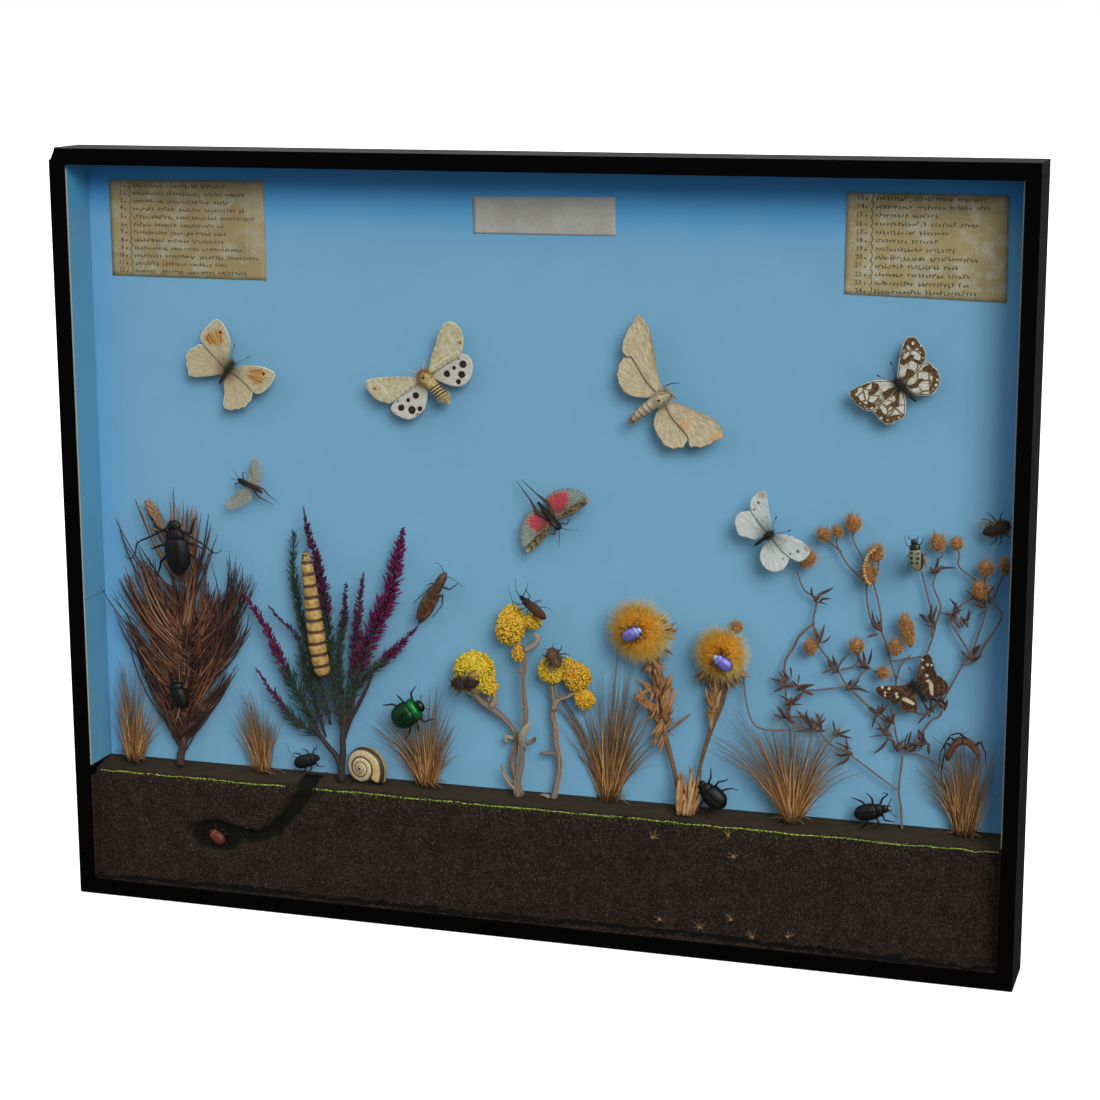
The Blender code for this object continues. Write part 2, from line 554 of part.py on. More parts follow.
# The cricket hangs from a stalk of the rightmost tuft, its wings open to the right.
spot, length = between((213.6, 105), (220.6, 121.6), 11.5)
cricket = flattened(limb([(0, -length / 2), (0, -4), (0.4, 2), (0.4, 6), (0, length / 2)],
                         [0.8, 2.0, 3.0, 2.6, 1.0], 6), 0.8)
LEGS = (
    ((219.5, 120.5), (217.4, 124.2), (213.8, 121.6)),
    ((219, 119.4), (213.2, 117.2), (213.6, 114)),
    ((216.5, 112), (210.9, 113.4), (214.6, 108.4)),
)
legs = [limb(seen_from(spot, leg, (0, 0.6, 0)), [0.5, 0.35, 0.2]) for leg in LEGS]
wing = plate(((0.5, 7), (4.8, 5.2), (8.4, -0.4), (6.0, -2.6), (0.5, -1)), 0.4, 0.9)
solid("hanging_cricket", fused([cricket] + legs + [wing]), spot)

# The moth's grub: eleven rings along a gentle curve, each drawn in where it meets the next.
GRUB = ((-119, 193), (-118, 182), (-117, 168), (-116, 156), (-115, 144), (-112, 128))
RINGS = 11


def along(points, t):
    """A point at the fraction t of a run of points."""
    place = t * (len(points) - 1)
    i = min(int(place), len(points) - 2)
    a, b = Vector(points[i]), Vector(points[i + 1])
    return a.lerp(b, place - i)


run, radii = [], []
for i in range(2 * RINGS + 1):
    t = i / (2 * RINGS)
    swell = 1.0 - 0.45 * abs(2 * t - 1) ** 4
    run.append((*along(GRUB, t), 0))
    radii.append((4.5 if i % 2 else 3.7) * swell)
solid("moth_grub", flattened(limb(run, radii, 5), 0.9), on_backing(17))

# The snail's shell: a tube coiled flat, growing as it goes round, its tip towards the glass.
TURNS, STEPS_A_TURN = 2.5, 6
SHELL_R, MOUTH_R = 7.4, 4.1  # from the coil's middle to the middle of its mouth; the mouth's own radius
SPIRE = 7.5  # how far the tip stands out
GROWTH = 1.62  # how much wider each turn is than the one within it
run, radii = [], []
steps = round(TURNS * STEPS_A_TURN)
for i in range(steps + 1):
    turn = i / STEPS_A_TURN
    scale = GROWTH ** (turn - TURNS)
    angle = math.radians(40) + 2 * math.pi * (turn - TURNS)
    reach = SHELL_R * scale
    run.append((reach * math.cos(angle), -reach * math.sin(angle), SPIRE * (1 - scale)))
    radii.append(MOUTH_R * scale)
core = limb([(0, 0, -1), (0, 0, SPIRE)], [3.4, 0.6], 5)
tilt = Matrix.Rotation(math.radians(-25), 4, "Y")
solid("snail_shell", fused([core, limb(run, radii, 4)]), specimen(-90, 80, 9.5) @ tilt)


# Plants: dried sprigs stuck into the soil's back edge, drawn in the case's x and z.

SOIL_TOP = 71.6


def leaf(root, tip, width=1.6, height=0.0):
    """A narrow leaf: a flat kite from its root to its tip."""
    (x0, y0), (x1, y1) = root, tip
    across = Vector((y0 - y1, x1 - x0)).normalized() * width / 2
    mid = (x0 * 0.6 + x1 * 0.4, y0 * 0.6 + y1 * 0.4)
    kite = (
        (x0, y0), (mid[0] + across.x, mid[1] + across.y), (x1, y1), (mid[0] - across.x, mid[1] - across.y),
    )
    return plate(kite, height - 0.2, height + 0.2)


def burr(centre, radii, around=8, rings=5, spikes=0.3):
    """A head of bristles: an egg whose every face is drawn out to a point."""
    bm = bmesh.new()
    bmesh.ops.create_uvsphere(bm, u_segments=around, v_segments=rings, radius=1)
    for tip in bmesh.ops.poke(bm, faces=bm.faces[:])["verts"]:
        tip.co = tip.co.normalized() * (1 + spikes)
    bm.transform(Matrix.Translation(centre) @ Matrix.Diagonal(radii).to_4x4())
    return mesh_of(bm)


def spray(start, bend, end, width, out, segments=5, sides=4):
    """Needles round a twig: a spindle whose faces are drawn out along the way it grows."""
    start, bend, end = (Vector((*point, 0)) for point in (start, bend, end))
    axis = []
    for i in range(segments + 1):
        t = i / segments
        axis.append(start.lerp(bend, t).lerp(bend.lerp(end, t), t))
    radii = [0.8 + (width / 2 - 0.8) * math.sin(math.pi * i / segments) for i in range(segments + 1)]
    bm = bmesh.new()
    bm.from_mesh(limb([(p.x, p.y) for p in axis], radii, sides))
    sides_only = [face for face in bm.faces if len(face.verts) == 4 and face.calc_area() > 4]
    for tip in bmesh.ops.poke(bm, faces=sides_only)["verts"]:
        i = min(range(segments), key=lambda i: (tip.co - axis[i].lerp(axis[i + 1], 0.5)).length)
        forward = (axis[i + 1] - axis[i]).normalized()
        outward = (tip.co - axis[i].lerp(axis[i + 1], 0.5)).normalized()
        tip.co += (outward * 0.7 + forward * 1.3) * out
    return mesh_of(bm)


# The needle branch: one stem forking into three sprays of needles.
needle = limb([(-198, SOIL_TOP), (-196, 83), (-194, 92), (-192, 106)], [2.6, 2.2, 1.9, 1.4], 5)
sprays = [
    spray((-196, 82), (-212, 128), (-219, 196), 9, 10),
    spray((-194, 84), (-188, 140), (-198, 206), 12, 12),
    spray((-193, 86), (-174, 126), (-163, 174), 9, 10),
]
for i, mesh in enumerate(sprays):
    flattened(mesh, 0.38)
    mesh.transform(Matrix.Translation((0, 0, (0.4, 0, 0.8)[i])))
solid("needle_branch", fused([needle] + sprays), on_backing(6.2))

# The heather sprig: two stems, each spike of it thick with tiny leaves and dried bells.
SPIKES = (
    ((-114, 92), (-132, 103), (-145, 118), (-152, 128)),
    ((-114, 93), (-128, 117), (-143, 147), (-159, 169)),
    ((-115, 96), (-120, 117), (-129, 148), (-144, 162)),
    ((-113, 96), (-119, 130), (-128, 171), (-128, 201)),
    ((-104, 104), (-109, 140), (-113, 177), (-122, 216)),
    ((-104, 104), (-103, 135), (-100, 167), (-99, 178)),
    ((-103, 104), (-95, 135), (-92, 168), (-89, 184)),
    ((-103, 106), (-90, 142), (-76, 172), (-67, 209)),
    ((-102, 107), (-89, 128), (-71, 145), (-60, 157)),
)
stems = [
    limb([(-104, SOIL_TOP), (-103, 86), (-104, 108)], [2.4, 2.0, 1.7], 4),
    limb([(-104, 74), (-106, 82), (-112, 89), (-116, 96)], [1.6, 1.6, 1.4, 1.2], 4),
]
spikes = [limb(points, [1.1, 3.4, 3.5, 0.9]) for points in SPIKES]
for i, spike in enumerate(spikes):
    flattened(spike, 0.62)
    spike.transform(Matrix.Translation((0, 0, (i % 3 - 1) * 0.7)))
solid("heather_sprig", fused(stems + spikes), on_backing(9.4))

# Everlastings: golden heads on woolly stems.
left = [limb([(-8, SOIL_TOP), (-10, 87), (-8, 99), (-12, 107), (-19, 114), (-31, 124)],
             [1.3, 1.4, 1.5, 1.8, 2.4, 2.2], 4)]
left += [burr((-29.6, 134.6, 3), (10.2, 10.0, 6.5), 7, 4, 0.14), ball((-34.5, 122.5, 4), (5.2, 4.6, 4.2))]
left += [limb([(-17.5, 112.8), (-20, 119)], [1.4, 0.9]), ball((-20, 121, 2), (3.8, 3.6, 2.8))]
solid("everlasting_left", fused(left), on_backing(6))

middle = [limb([(-6.4, SOIL_TOP), (-5, 88), (-4, 99), (-3, 114), (-3, 130), (-1, 142), (-4, 153)],
               [1.3, 1.3, 1.4, 1.5, 1.4, 1.4, 1.2], 4)]
middle += [burr((-9, 159, 3), (6.6, 10.6, 5.5), 7, 4, 0.14), ball((0.6, 162.4, 3), (4.6, 4.6, 3.4)),
           ball((-5.6, 144, 2), (3.6, 4.4, 2.8)), leaf((-4, 98), (3, 109), 3), leaf((-5.4, 76), (-14, 90), 3)]
solid("everlasting_middle", fused(middle), on_backing(9.6))

right_one = [limb([(12, SOIL_TOP), (13, 84), (14, 92), (13, 100), (11, 112), (12, 127), (13, 133)],
                  [1.3, 1.5, 1.8, 1.6, 1.8, 1.5, 1.4], 4)]
right_one += [limb([(12, 113), (17, 124), (24, 133)], [1.4, 1.1, 1.0]),
              limb([(13, 118), (20, 122), (28, 122)], [1.0, 0.9, 0.8]),
              limb([(13.6, 92), (8, 92), (4, 92)], [1.0, 0.7, 0.5])]
right_one += [ball((13, 138.5, 3), (6.6, 7.0, 5.4)), ball((25.6, 136.4, 3), (7.2, 8.4, 5.6)),
              ball((29, 121.6, 3), (4.8, 4.6, 3.6))]
solid("everlasting_right", fused(right_one), on_backing(6))

# Thistles: round burrs of bristles on brown stems with a few withered leaves.
left = [limb([(77.6, SOIL_TOP), (75, 91), (72, 102), (69, 111), (66, 132), (62, 150)],
             [2.0, 1.9, 1.9, 1.8, 1.8, 3.2], 4)]
left += [burr((58, 163, 3.4), (15.0, 15.0, 7.4), 8, 5, 0.24)]
left += [leaf((67, 128), (57, 127), 7, 0.6), leaf((67.4, 124), (74, 141), 5, -0.8),
         leaf((70.6, 106), (58, 110), 6, 0.9), leaf((72.4, 100), (76, 106), 4, -0.7)]
solid("thistle_left", fused(left), on_backing(6))

right_one = [limb([(87, SOIL_TOP), (87, 88), (88, 95), (91, 107), (94, 116)], [1.8, 1.7, 1.7, 1.7, 2.2], 4)]
right_one += [flattened(limb([(93, 113), (95.5, 124), (97.4, 138), (99, 148)], [2.0, 4.6, 7.4, 6.4], 6), 0.6)]
right_one += [burr((99.6, 154, 3.4), (12.8, 12.8, 7.2), 8, 5, 0.22)]
right_one += [leaf((87.6, 92), (80, 99), 4, 0.6)]
solid("thistle_right", fused(right_one), on_backing(6))

# The broken stump that the thistles stand behind.
stump = limb([(82.4, SOIL_TOP), (82.6, 80), (84, 92), (85, 101)], [4.6, 3.6, 2.6, 1.2], 5)
solid("broken_stump", flattened(stump, 0.6), on_backing(14))


# Grass tufts: blades that fan out from the foot; a third number is how far a tip leans to the glass.

FOOT_R = 2.4
# Foot, distance from the backing, half its thickness, tips from left to right.
TUFTS = (
    ((-224, SOIL_TOP), 8, 2.4, (
        (-236, 98, 8), (-236, 112, 9), (-232, 125, 5), (-225, 123), (-214, 110), (-204, 90))),
    ((-150, SOIL_TOP), 7, 2.4, (
        (-169, 95), (-165, 104), (-159, 108), (-152, 109), (-146, 104), (-136, 93))),
    ((-57, SOIL_TOP), 6, 2.4, (
        (-88, 99), (-82, 108), (-70, 113), (-56, 123), (-47, 118), (-42, 108), (-43, 86))),
    ((40, SOIL_TOP), 2.1, 1.6, (
        (6, 128), (20, 118), (34, 134), (41, 142), (50, 132), (62, 116), (69, 98))),
    ((137, SOIL_TOP), 13, 2.4, (
        (93, 106), (104, 128), (118, 116), (126, 128), (140, 118), (152, 121), (163, 126), (171, 97))),
    ((222, SOIL_TOP), 5, 2.4, (
        (193, 97), (202, 108), (211, 113), (217, 123), (226, 112), (234, 120), (238, 102))),
)


def tuft(foot, thick, tips):
    """A bunch of blades: a cone standing on its point, its rim drawn up into the tips,
    every second one at the back, and down between them."""
    order = tips[0::2] + tips[1::2][::-1]
    rim = []
    for k, (x, z, *lean) in enumerate(order):
        x1, z1, *_ = order[(k + 1) % len(order)]
        depth = thick if k < len(tips[0::2]) else -thick
        dip = Vector(((x + x1) / 2, (z + z1) / 2)).lerp(Vector(foot), 0.4)
        rim += [(x, z, depth * 0.6 + (lean or [0])[0]), (dip.x, dip.y, depth)]
    bm = bmesh.new()
    made = bmesh.ops.create_cone(
        bm, segments=len(rim), radius1=FOOT_R, radius2=10, depth=2, cap_ends=True, cap_tris=True)
    crown = Vector(foot).lerp(Vector((sum(x for x, *_ in rim), sum(z for _, z, _ in rim))) / len(rim), 0.35)
    upper = [v for v in made["verts"] if v.co.z > 0]
    upper.sort(key=lambda v: (v.co.xy.length < 1, -math.atan2(v.co.y, v.co.x)))
    for v in made["verts"]:
        if v.co.z < 0:
            v.co = (foot[0] + v.co.x, foot[1], v.co.y * thick / 3)
    for v, co in zip(upper, rim + [(crown.x, crown.y, 0)]):
        v.co = co
    if bm.calc_volume(signed=True) < 0:
        bmesh.ops.reverse_faces(bm, faces=bm.faces)
    return mesh_of(bm)


for i, (foot, lift, thick, tips) in enumerate(TUFTS):
    solid(f"grass_tuft_{i + 1}", tuft(foot, thick, tips), on_backing(lift))


# The clover: a tangle of wiry stems with bristly heads and narrow leaves, split where its
# right-hand stem leaves the main one.

def clover(stems, heads, leaves):
    """Stems, then egg-shaped heads standing in front of them, then leaves."""
    pieces = [limb(points, [1.1 - 0.09 * min(i, 6) for i in range(len(points))]) for points in stems]
    pieces += [bud((x, z, 1.2), (rx, rz, min(rx, rz, 3.6))) for x, z, rx, rz in heads]
    pieces += [leaf(root, tip, 2.6, (i % 3 - 1) * 0.35) for i, (root, tip) in enumerate(leaves)]
    return fused(pieces)


TWIG_OUT = 13  # the bud's twig passes in front of the right thistle
main = clover(
    (
        ((191, SOIL_TOP), (189, 91), (190, 108), (186, 121), (186, 145), (178, 170)),
        ((186, 144), (188, 153), (192, 165)),
        ((186, 122), (180, 126), (163, 141), (147, 161), (145, 172), (146, 183), (137, 195), (140.6, 202)),
        ((188.6, 90), (154, 111), (134, 122), (131, 151), (145, 172)),
        ((144, 116.4, 0), (135, 118, TWIG_OUT), (117, 120, TWIG_OUT), (110, 138, TWIG_OUT),
         (109, 166, TWIG_OUT)),
        ((163, 141), (172, 150), (179.4, 149.8)),
        ((164, 141), (146, 138), (132, 142)),
        ((156, 150), (166, 152), (167, 158)),
        ((178, 169), (170, 192), (164, 219.6)),
        ((178, 169), (174, 195), (174, 207)),
        ((170, 193), (161, 203), (155, 214)),
        ((186, 132), (193, 146), (201, 161), (204, 173), (203, 180), (196.4, 205.4)),
        ((204, 172), (207, 183), (203, 194), (205, 213.6)),
    ),
    (
        (191.5, 171, 3.8, 10.5), (184.5, 160, 4, 4), (141, 203, 4, 4.4), (180, 150, 3.2, 3),
        (144.4, 163, 3.6, 3.8), (167, 161, 4, 4), (174, 208, 3.6, 3.8), (171.6, 199, 3.8, 6.4),
        (164, 221, 4.3, 4.3), (154, 216, 4.6, 3.2), (196, 207, 4, 4.4), (205, 215, 4.2, 4.2),
    ),
    (
        ((186, 121), (179, 129)), ((163, 141), (157, 134)), ((146, 182), (156, 185)),
        ((133, 130), (125, 128)), ((164, 106), (158, 100)), ((177.6, 170), (188, 173)),
    ),
)
main = boolean(main, [bud((109.4, 168, TWIG_OUT), (3.6, 3.6, 3.2))], "UNION")
solid("clover_main", main, on_backing(5.4))

side_stem = clover(
    (
        ((191.6, 111.4), (196, 115), (204, 127), (209, 133), (218, 156), (222, 162), (228, 188)),
        ((193.4, 112.6), (200, 108), (211, 103)),
        ((222, 162), (212, 177), (217, 186), (225, 193)),
        ((224, 192), (216, 203), (214, 213)),
        ((226, 193), (228, 202)),
        ((219, 157), (228, 166), (236, 181), (232, 188), (237, 204.6)),
    ),
    ((226, 193, 4.6, 4.6), (228, 203, 4.2, 4.2), (214, 215, 3.2, 3.4), (237, 205, 2.2, 2.4)),
    (((196, 115), (202, 120)), ((204, 127), (197, 132)), ((221, 160), (214, 163))),
)
solid("clover_side", side_stem, on_backing(5.4))
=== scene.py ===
import math

import bpy
import numpy as np
from mathutils import Matrix, Vector, geometry


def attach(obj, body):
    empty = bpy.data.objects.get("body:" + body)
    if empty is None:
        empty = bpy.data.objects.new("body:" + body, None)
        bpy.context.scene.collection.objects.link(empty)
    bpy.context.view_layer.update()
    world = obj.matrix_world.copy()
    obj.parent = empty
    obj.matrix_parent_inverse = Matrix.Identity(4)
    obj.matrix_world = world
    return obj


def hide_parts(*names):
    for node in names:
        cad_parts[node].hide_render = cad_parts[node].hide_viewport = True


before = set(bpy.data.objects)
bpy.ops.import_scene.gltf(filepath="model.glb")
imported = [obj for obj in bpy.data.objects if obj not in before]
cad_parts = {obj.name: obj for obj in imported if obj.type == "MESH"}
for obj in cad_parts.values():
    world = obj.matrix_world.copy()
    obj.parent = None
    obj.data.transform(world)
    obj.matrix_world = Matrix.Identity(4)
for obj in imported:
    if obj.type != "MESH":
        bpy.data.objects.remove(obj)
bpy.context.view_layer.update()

# The studio: a pale floor, one broad soft lamp above and to the right of the case's front, and
# a pale surround that is weaker below than above. A dark card stands where the glass would
# mirror the surround. The camera stands right of the middle, a little above the case.

CAMERA_AT = (0.38235, -1.19721, 0.47129)  # metres
YAW, PITCH, ROLL = -17.220, 12.1556, 0.19786  # degrees: turned to the left, down, and clockwise
LENS = 83.769  # millimetres, on a 36 mm wide sensor
LIGHT_RUN = (-0.66, 1.0, -0.63)  # the way the lamp's light travels

scene = bpy.context.scene
scene.view_settings.view_transform = "Standard"

yaw, pitch, roll = (math.radians(angle) for angle in (YAW, PITCH, ROLL))
ahead = Vector((math.sin(yaw) * math.cos(pitch), math.cos(yaw) * math.cos(pitch), -math.sin(pitch)))
level = Vector((math.cos(yaw), -math.sin(yaw), 0))
down = ahead.cross(level)
right = math.cos(roll) * level + math.sin(roll) * down
down = math.cos(roll) * down - math.sin(roll) * level
camera = bpy.data.objects.new("camera", bpy.data.cameras.new("camera"))
camera.data.lens, camera.data.sensor_width = LENS, 36
camera.data.clip_start, camera.data.clip_end = 0.01, 100
camera.matrix_world = Matrix.Translation(CAMERA_AT) @ Matrix((right, -down, -ahead)).transposed().to_4x4()
scene.collection.objects.link(camera)
scene.camera = camera


def lamp(name, run, strength, spread):
    """A far lamp whose light travels along run; spread is how wide it looks, in degrees."""
    data = bpy.data.lights.new(name, "SUN")
    data.energy, data.angle = strength, math.radians(spread)
    thing = bpy.data.objects.new(name, data)
    thing.rotation_mode = "QUATERNION"
    thing.rotation_quaternion = Vector(run).to_track_quat("-Z", "Y")
    scene.collection.objects.link(thing)


lamp("key_lamp", LIGHT_RUN, 2.5, 28)
lamp("back_lamp", (0.5, -1.0, -0.8), 0.8, 40)


def colour(red, green, blue):
    """A colour as a screen shows it, 0 to 255, turned into the light that it stands for."""
    return tuple(((c / 255 + 0.055) / 1.055) ** 2.4 if c > 10 else c / 255 / 12.92 for c in (red, green, blue)) + (
        1.0,)


def light(shade):
    """The light of a screen colour's three numbers. What is light already, or comes from nodes, stays."""
    return colour(*shade) if isinstance(shade, (tuple, list)) and len(shade) == 3 else shade


class Value:
    """One socket of a material's nodes. Sums and products with it add Math nodes."""

    def __init__(self, finish, socket):
        self.finish, self.socket = finish, socket

    def math(self, operation, other=0.0, swapped=False):
        pair = (other, self) if swapped else (self, other)
        return self.finish.node("Math", {"operation": operation}, dict(enumerate(pair)))

    def __add__(self, other):
        return self.math("ADD", other)

    def __sub__(self, other):
        return self.math("SUBTRACT", other)

    def __mul__(self, other):
        return self.math("MULTIPLY", other)

    def __rsub__(self, other):
        return self.math("SUBTRACT", other, swapped=True)

    __radd__, __rmul__ = __add__, __mul__

    def __abs__(self):
        return self.math("ABSOLUTE")

    def most(self, other):
        return self.math("MAXIMUM", other)

    def wave(self, length):
        """Goes from -1 to 1 and back each time this grows by length."""
        return (self * (2 * math.pi / length)).math("SINE")

    def rise(self, low, high):
        """0 below low, 1 above high and smooth between; falls where low is above high."""
        if low > high:
            return 1 - self.rise(high, low)
        return self.finish.node(
            "MapRange", {"interpolation_type": "SMOOTHSTEP"}, {"Value": self, "From Min": low, "From Max": high})

    def coat(self, share, *over):
        """This colour with a coat of another over it, where share is above 0."""
        return self.finish.mix(share, self, over if len(over) == 3 else over[0])


class Nodes:
    """A tree of shader nodes, and the kinds of node that are used here."""

    def __init__(self, tree):
        self.tree = tree

    def node(self, kind, settings={}, sockets={}, out=0):
        made = self.tree.nodes.new("ShaderNode" + kind)
        for key, value in settings.items():
            if key == "stops":
                ramp = made.color_ramp.elements
                while len(ramp) < len(value):
                    ramp.new(1)
                for stop, (place, *shade) in zip(ramp, value):
                    stop.position, stop.color = place, light(shade)
            else:
                setattr(made, key, value)
        for key, value in sockets.items():
            self.join(value, made.inputs[key])
        return Value(self, made.outputs[out])

    def join(self, value, socket):
        if isinstance(value, Value):
            self.tree.links.new(value.socket, socket)
        else:
            socket.default_value = value


class Finish(Nodes):
    """A material, made by nodes. Plain values go straight onto the shader's own sockets."""

    def __init__(self, name, rough=0.5, shine=0.5, **plain):
        self.material = bpy.data.materials.new(name)
        self.material.use_nodes = True
        super().__init__(self.material.node_tree)
        self.drive(Roughness=rough, Specular_IOR_Level=shine, **plain)

    def drive(self, **sockets):
        shader = self.tree.nodes["Principled BSDF"]
        for socket, value in sockets.items():
            self.join(value, shader.inputs[socket.replace("_", " ")])
        return self

    def read(self, *names):
        """The numbers that a piece keeps at its points under these names."""
        found = [self.node("Attribute", {"attribute_name": name}, out="Fac") for name in names]
        return found if len(found) > 1 else found[0]

    def place(self, size, stretch=(1, 1, 1)):
        """Where a point is in the case, counted in steps of size mm."""
        spot = self.node("TexCoord", out="Object")
        step = [1000 / size / s for s in stretch]
        return self.node("VectorMath", {"operation": "MULTIPLY"}, {0: spot, 1: step})

    def axis(self, which):
        """x, y or z in the case, in mm."""
        return self.node("SeparateXYZ", {}, {0: self.place(1)}, out=which)

    def noise(self, size, detail=3, rough=0.55, stretch=(1, 1, 1), at=None):
        return self.node("TexNoise", {}, {
                "Vector": at or self.place(size, stretch), "Scale": 1.0, "Detail": detail, "Roughness": rough})

    def on_wing(self, across, out):
        """Noise drawn out along a wing from its root: across in degrees, out in mm."""
        fan, reach = self.read("fan", "reach")
        return self.noise(1, at=self.node("CombineXYZ", {}, {0: fan * (1 / across), 1: reach * (1 / out)}))

    def grains(self, size, out="Distance", feature="F1"):
        """Cells about size mm across: out says what is read of them, and feature which distance is."""
        return self.node("TexVoronoi", {"feature": feature}, {"Vector": self.place(size), "Scale": 1.0}, out=out)

    def mix(self, share, under, over):
        return self.node("Mix", {"data_type": "RGBA"}, {0: share, 6: light(under), 7: light(over)}, out=2)

    def ramp(self, value, *stops):
        """A colour that goes along value. Each stop is its place and a screen colour."""
        return self.node("ValToRGB", {"stops": stops}, {0: value})

    def bump(self, height, depth):
        """Raises the surface by height times depth mm."""
        return self.drive(Normal=self.node("Bump", {}, {"Height": height, "Distance": depth * 0.001,
                    "Strength": 1.0}))


scene.world = bpy.data.worlds.new("surround")
scene.world.use_nodes = True
sky = Nodes(scene.world.node_tree)
upward = sky.node("SeparateXYZ", {}, {0: sky.node("TexCoord", out="Generated")}, out="Z")
mirrored = sky.node("VectorMath", {"operation": "DOT_PRODUCT"},
    {0: sky.node("TexCoord", out="Generated"), 1: (ahead.x, -ahead.y, ahead.z)}, out="Value")
fade, dark_card = (
    sky.node("MapRange", {}, {"Value": value, "From Min": low, "From Max": high, "To Min": start, "To Max": stop})
    for value, low, high, start, stop in ((upward, -0.35, 0.6, 0.2, 0.95), (mirrored, 0.9, 0.96, 1.0, 0.04)))
camera_sees = sky.node("LightPath", out="Is Camera Ray")
background = sky.tree.nodes["Background"]
sky.join(sky.node("Mix", {"data_type": "FLOAT"}, {0: camera_sees, 2: fade * dark_card, 3: 1.0}),
    background.inputs["Strength"])
background.inputs["Color"].default_value = (1, 1, 1, 1)

FLOOR_REACH = 40  # metres each way from the case
finish = Finish("pale_floor", rough=0.9, shine=0.1, Emission_Color=(1, 1, 1, 1), Emission_Strength=0.62)
finish.drive(Base_Color=finish.ramp(finish.noise(400, 2), (0, 0.8, 0.8, 0.8, 1), (1, 0.86, 0.86, 0.86, 1)))
floor_mesh = bpy.data.meshes.new("floor")
floor_corners = [(x * FLOOR_REACH, y * FLOOR_REACH, 0) for x, y in ((-1, -1), (1, -1), (1, 1), (-1, 1))]
floor_mesh.from_pydata(floor_corners, [], [(0, 1, 2, 3)])
floor_mesh.materials.append(finish.material)
floor = bpy.data.objects.new("floor", floor_mesh)
floor.location.z = -0.0004
floor.visible_diffuse = floor.visible_glossy = floor.visible_transmission = False
scene.collection.objects.link(floor)


# The case: boards covered in black paper, with black tape folded round the front edge to hold
# the glass. The tape has a low sheen, fine creases, and is rubbed grey along its edges and corners.

WIDTH, HEIGHT, DEPTH = 500.0, 398.0, 33.0
FRONT = -DEPTH / 2


def dress(finish, slot, *nodes):
    """A CAD node that is shown as it is, in a better finish."""
    for node in nodes:
        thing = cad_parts[node]
        thing.data.materials.clear()
        thing.data.materials.append(finish.material)


def black_skin(name, base, rubbed, shine, rough):
    finish = Finish(name, shine=shine)
    from_side = WIDTH / 2 - abs(finish.axis(0))
    from_end = HEIGHT / 2 - abs(finish.axis(2) - HEIGHT / 2)
    corner = (from_side.math("MINIMUM", from_end) + finish.noise(5) * 2.4 - 0.5).rise(0.9, 0.1)
    both = (from_side + from_end + finish.noise(9) * 8).rise(7, 2)
    scratch = finish.noise(1.4, 5, 0.7, (1, 1, 9)).rise(0.62, 0.78)
    wear = (corner * scratch.most(both) * 0.9).most(both * finish.noise(1.2, 5).rise(0.45, 0.75))
    finish.drive(
        Base_Color=finish.mix(wear * finish.noise(2.5, 4).rise(0.35, 0.8), base, rubbed),
        Roughness=rough + finish.noise(14, 4) * 0.2,
    )
    return finish.bump(finish.noise(0.5, 4) * 0.5 + finish.noise(6, 3, 0.6, (1, 1, 4)), 0.06)


dress(black_skin("black_tape", (3, 3, 3), (78, 76, 72), 0.035, 0.34), "black_tape",
    "binding_top", "binding_bottom", "binding_left", "binding_right")
dress(black_skin("black_board", (4, 4, 4), (62, 58, 52), 0.035, 0.5), "black_board",
    "top_board", "bottom_board", "left_board", "right_board")
# The back is a lighter black than the boards: painted light, so that it reads in the dim light behind the case.
dress(black_skin("back_paper", (17, 16, 15), (74, 68, 60), 0.05, 0.6), "black_board", "back_board")


# The glass: one thin pane of clear window glass with a faint green in its edge, resting in a
# step of the boards. Light reaches the inside as through real glass, so it casts no shade.

pane = Finish("glass", 0.0, 0.1, Base_Color=(0.985, 0.995, 0.99, 1), IOR=1.5, Transmission_Weight=1.0)
dress(pane, "glass", "glass_pane")
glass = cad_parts["glass_pane"]
glass.visible_shadow = glass.visible_diffuse = glass.visible_glossy = False


# The inside: sky-blue paper on a sheet at the back and on the side and top walls. The walls are
# lined with strips cut a little short of the glass, so their raw edges show as a pale line.

BACKING_Y0 = 11.1  # the blue surface, counted from the middle of the case's depth
INSET = 242.7  # half the width inside the boards


def blue_paper(name, hue, deep, seam=None):
    """Paper of this hue, with its deep colour laid on near the top and the sides as painted shade, where the top and
    side walls shade it. A seam is its height.
    """
    finish = Finish(name, shine=0.1, rough=0.85)
    x, y, z = (finish.axis(i) for i in range(3))
    cloud = finish.noise(90, 3) * 0.5 + finish.noise(14, 4) * 0.3 + finish.noise(0.7, 3) * 0.2
    tint = finish.mix(cloud.rise(0.25, 0.75), [c * 0.975 for c in hue], [c * 1.02 for c in hue])
    # kept is painted shade: the deep colour laid on near the top and the side walls, where they would shade the
    # paper.
    kept = (z + finish.noise(30) * 10).rise(352, 388).most(x.rise(-218, -243) * 0.4).most(x.rise(226, 243) * 0.7)
    tint = tint.coat(kept * 0.8, deep)
    if seam:
        line = abs(z - seam + (finish.noise(12) - 0.5) * 2)
        tint = tint.coat(line.rise(0.5, 0.15) * 0.6, [c * 0.55 for c in hue])
    front = finish.node("SeparateXYZ", {}, {0: finish.node("NewGeometry", out="Normal")}, out=1)
    cut = (0 - front).rise(0.6, 0.9) * y.rise(-10, -12)
    finish.drive(Base_Color=tint.coat(cut, 176, 172, 156))
    return finish.bump(finish.noise(0.45, 4) + finish.noise(3, 3) * 0.8, 0.05)


# The second colour of each is the deep blue of the painted shade near the top and the walls.
dress(blue_paper("blue_paper", (111, 160, 190), (54, 144, 208)), "blue_paper", "backing_sheet")
dress(blue_paper("side_paper", (101, 147, 171), (56, 150, 196), 162), "blue_paper",
    "right_lining", "top_lining", "left_lining")


# The soil: a low bank of hard, dark earth run across the foot of the case, its face stood a
# little in from the glass. It is coarse, with pale crumbs, a dusting of green flock along the
# upper edge, a few wisps of pale fluff, and a burrow cut into the face with a den at its end.

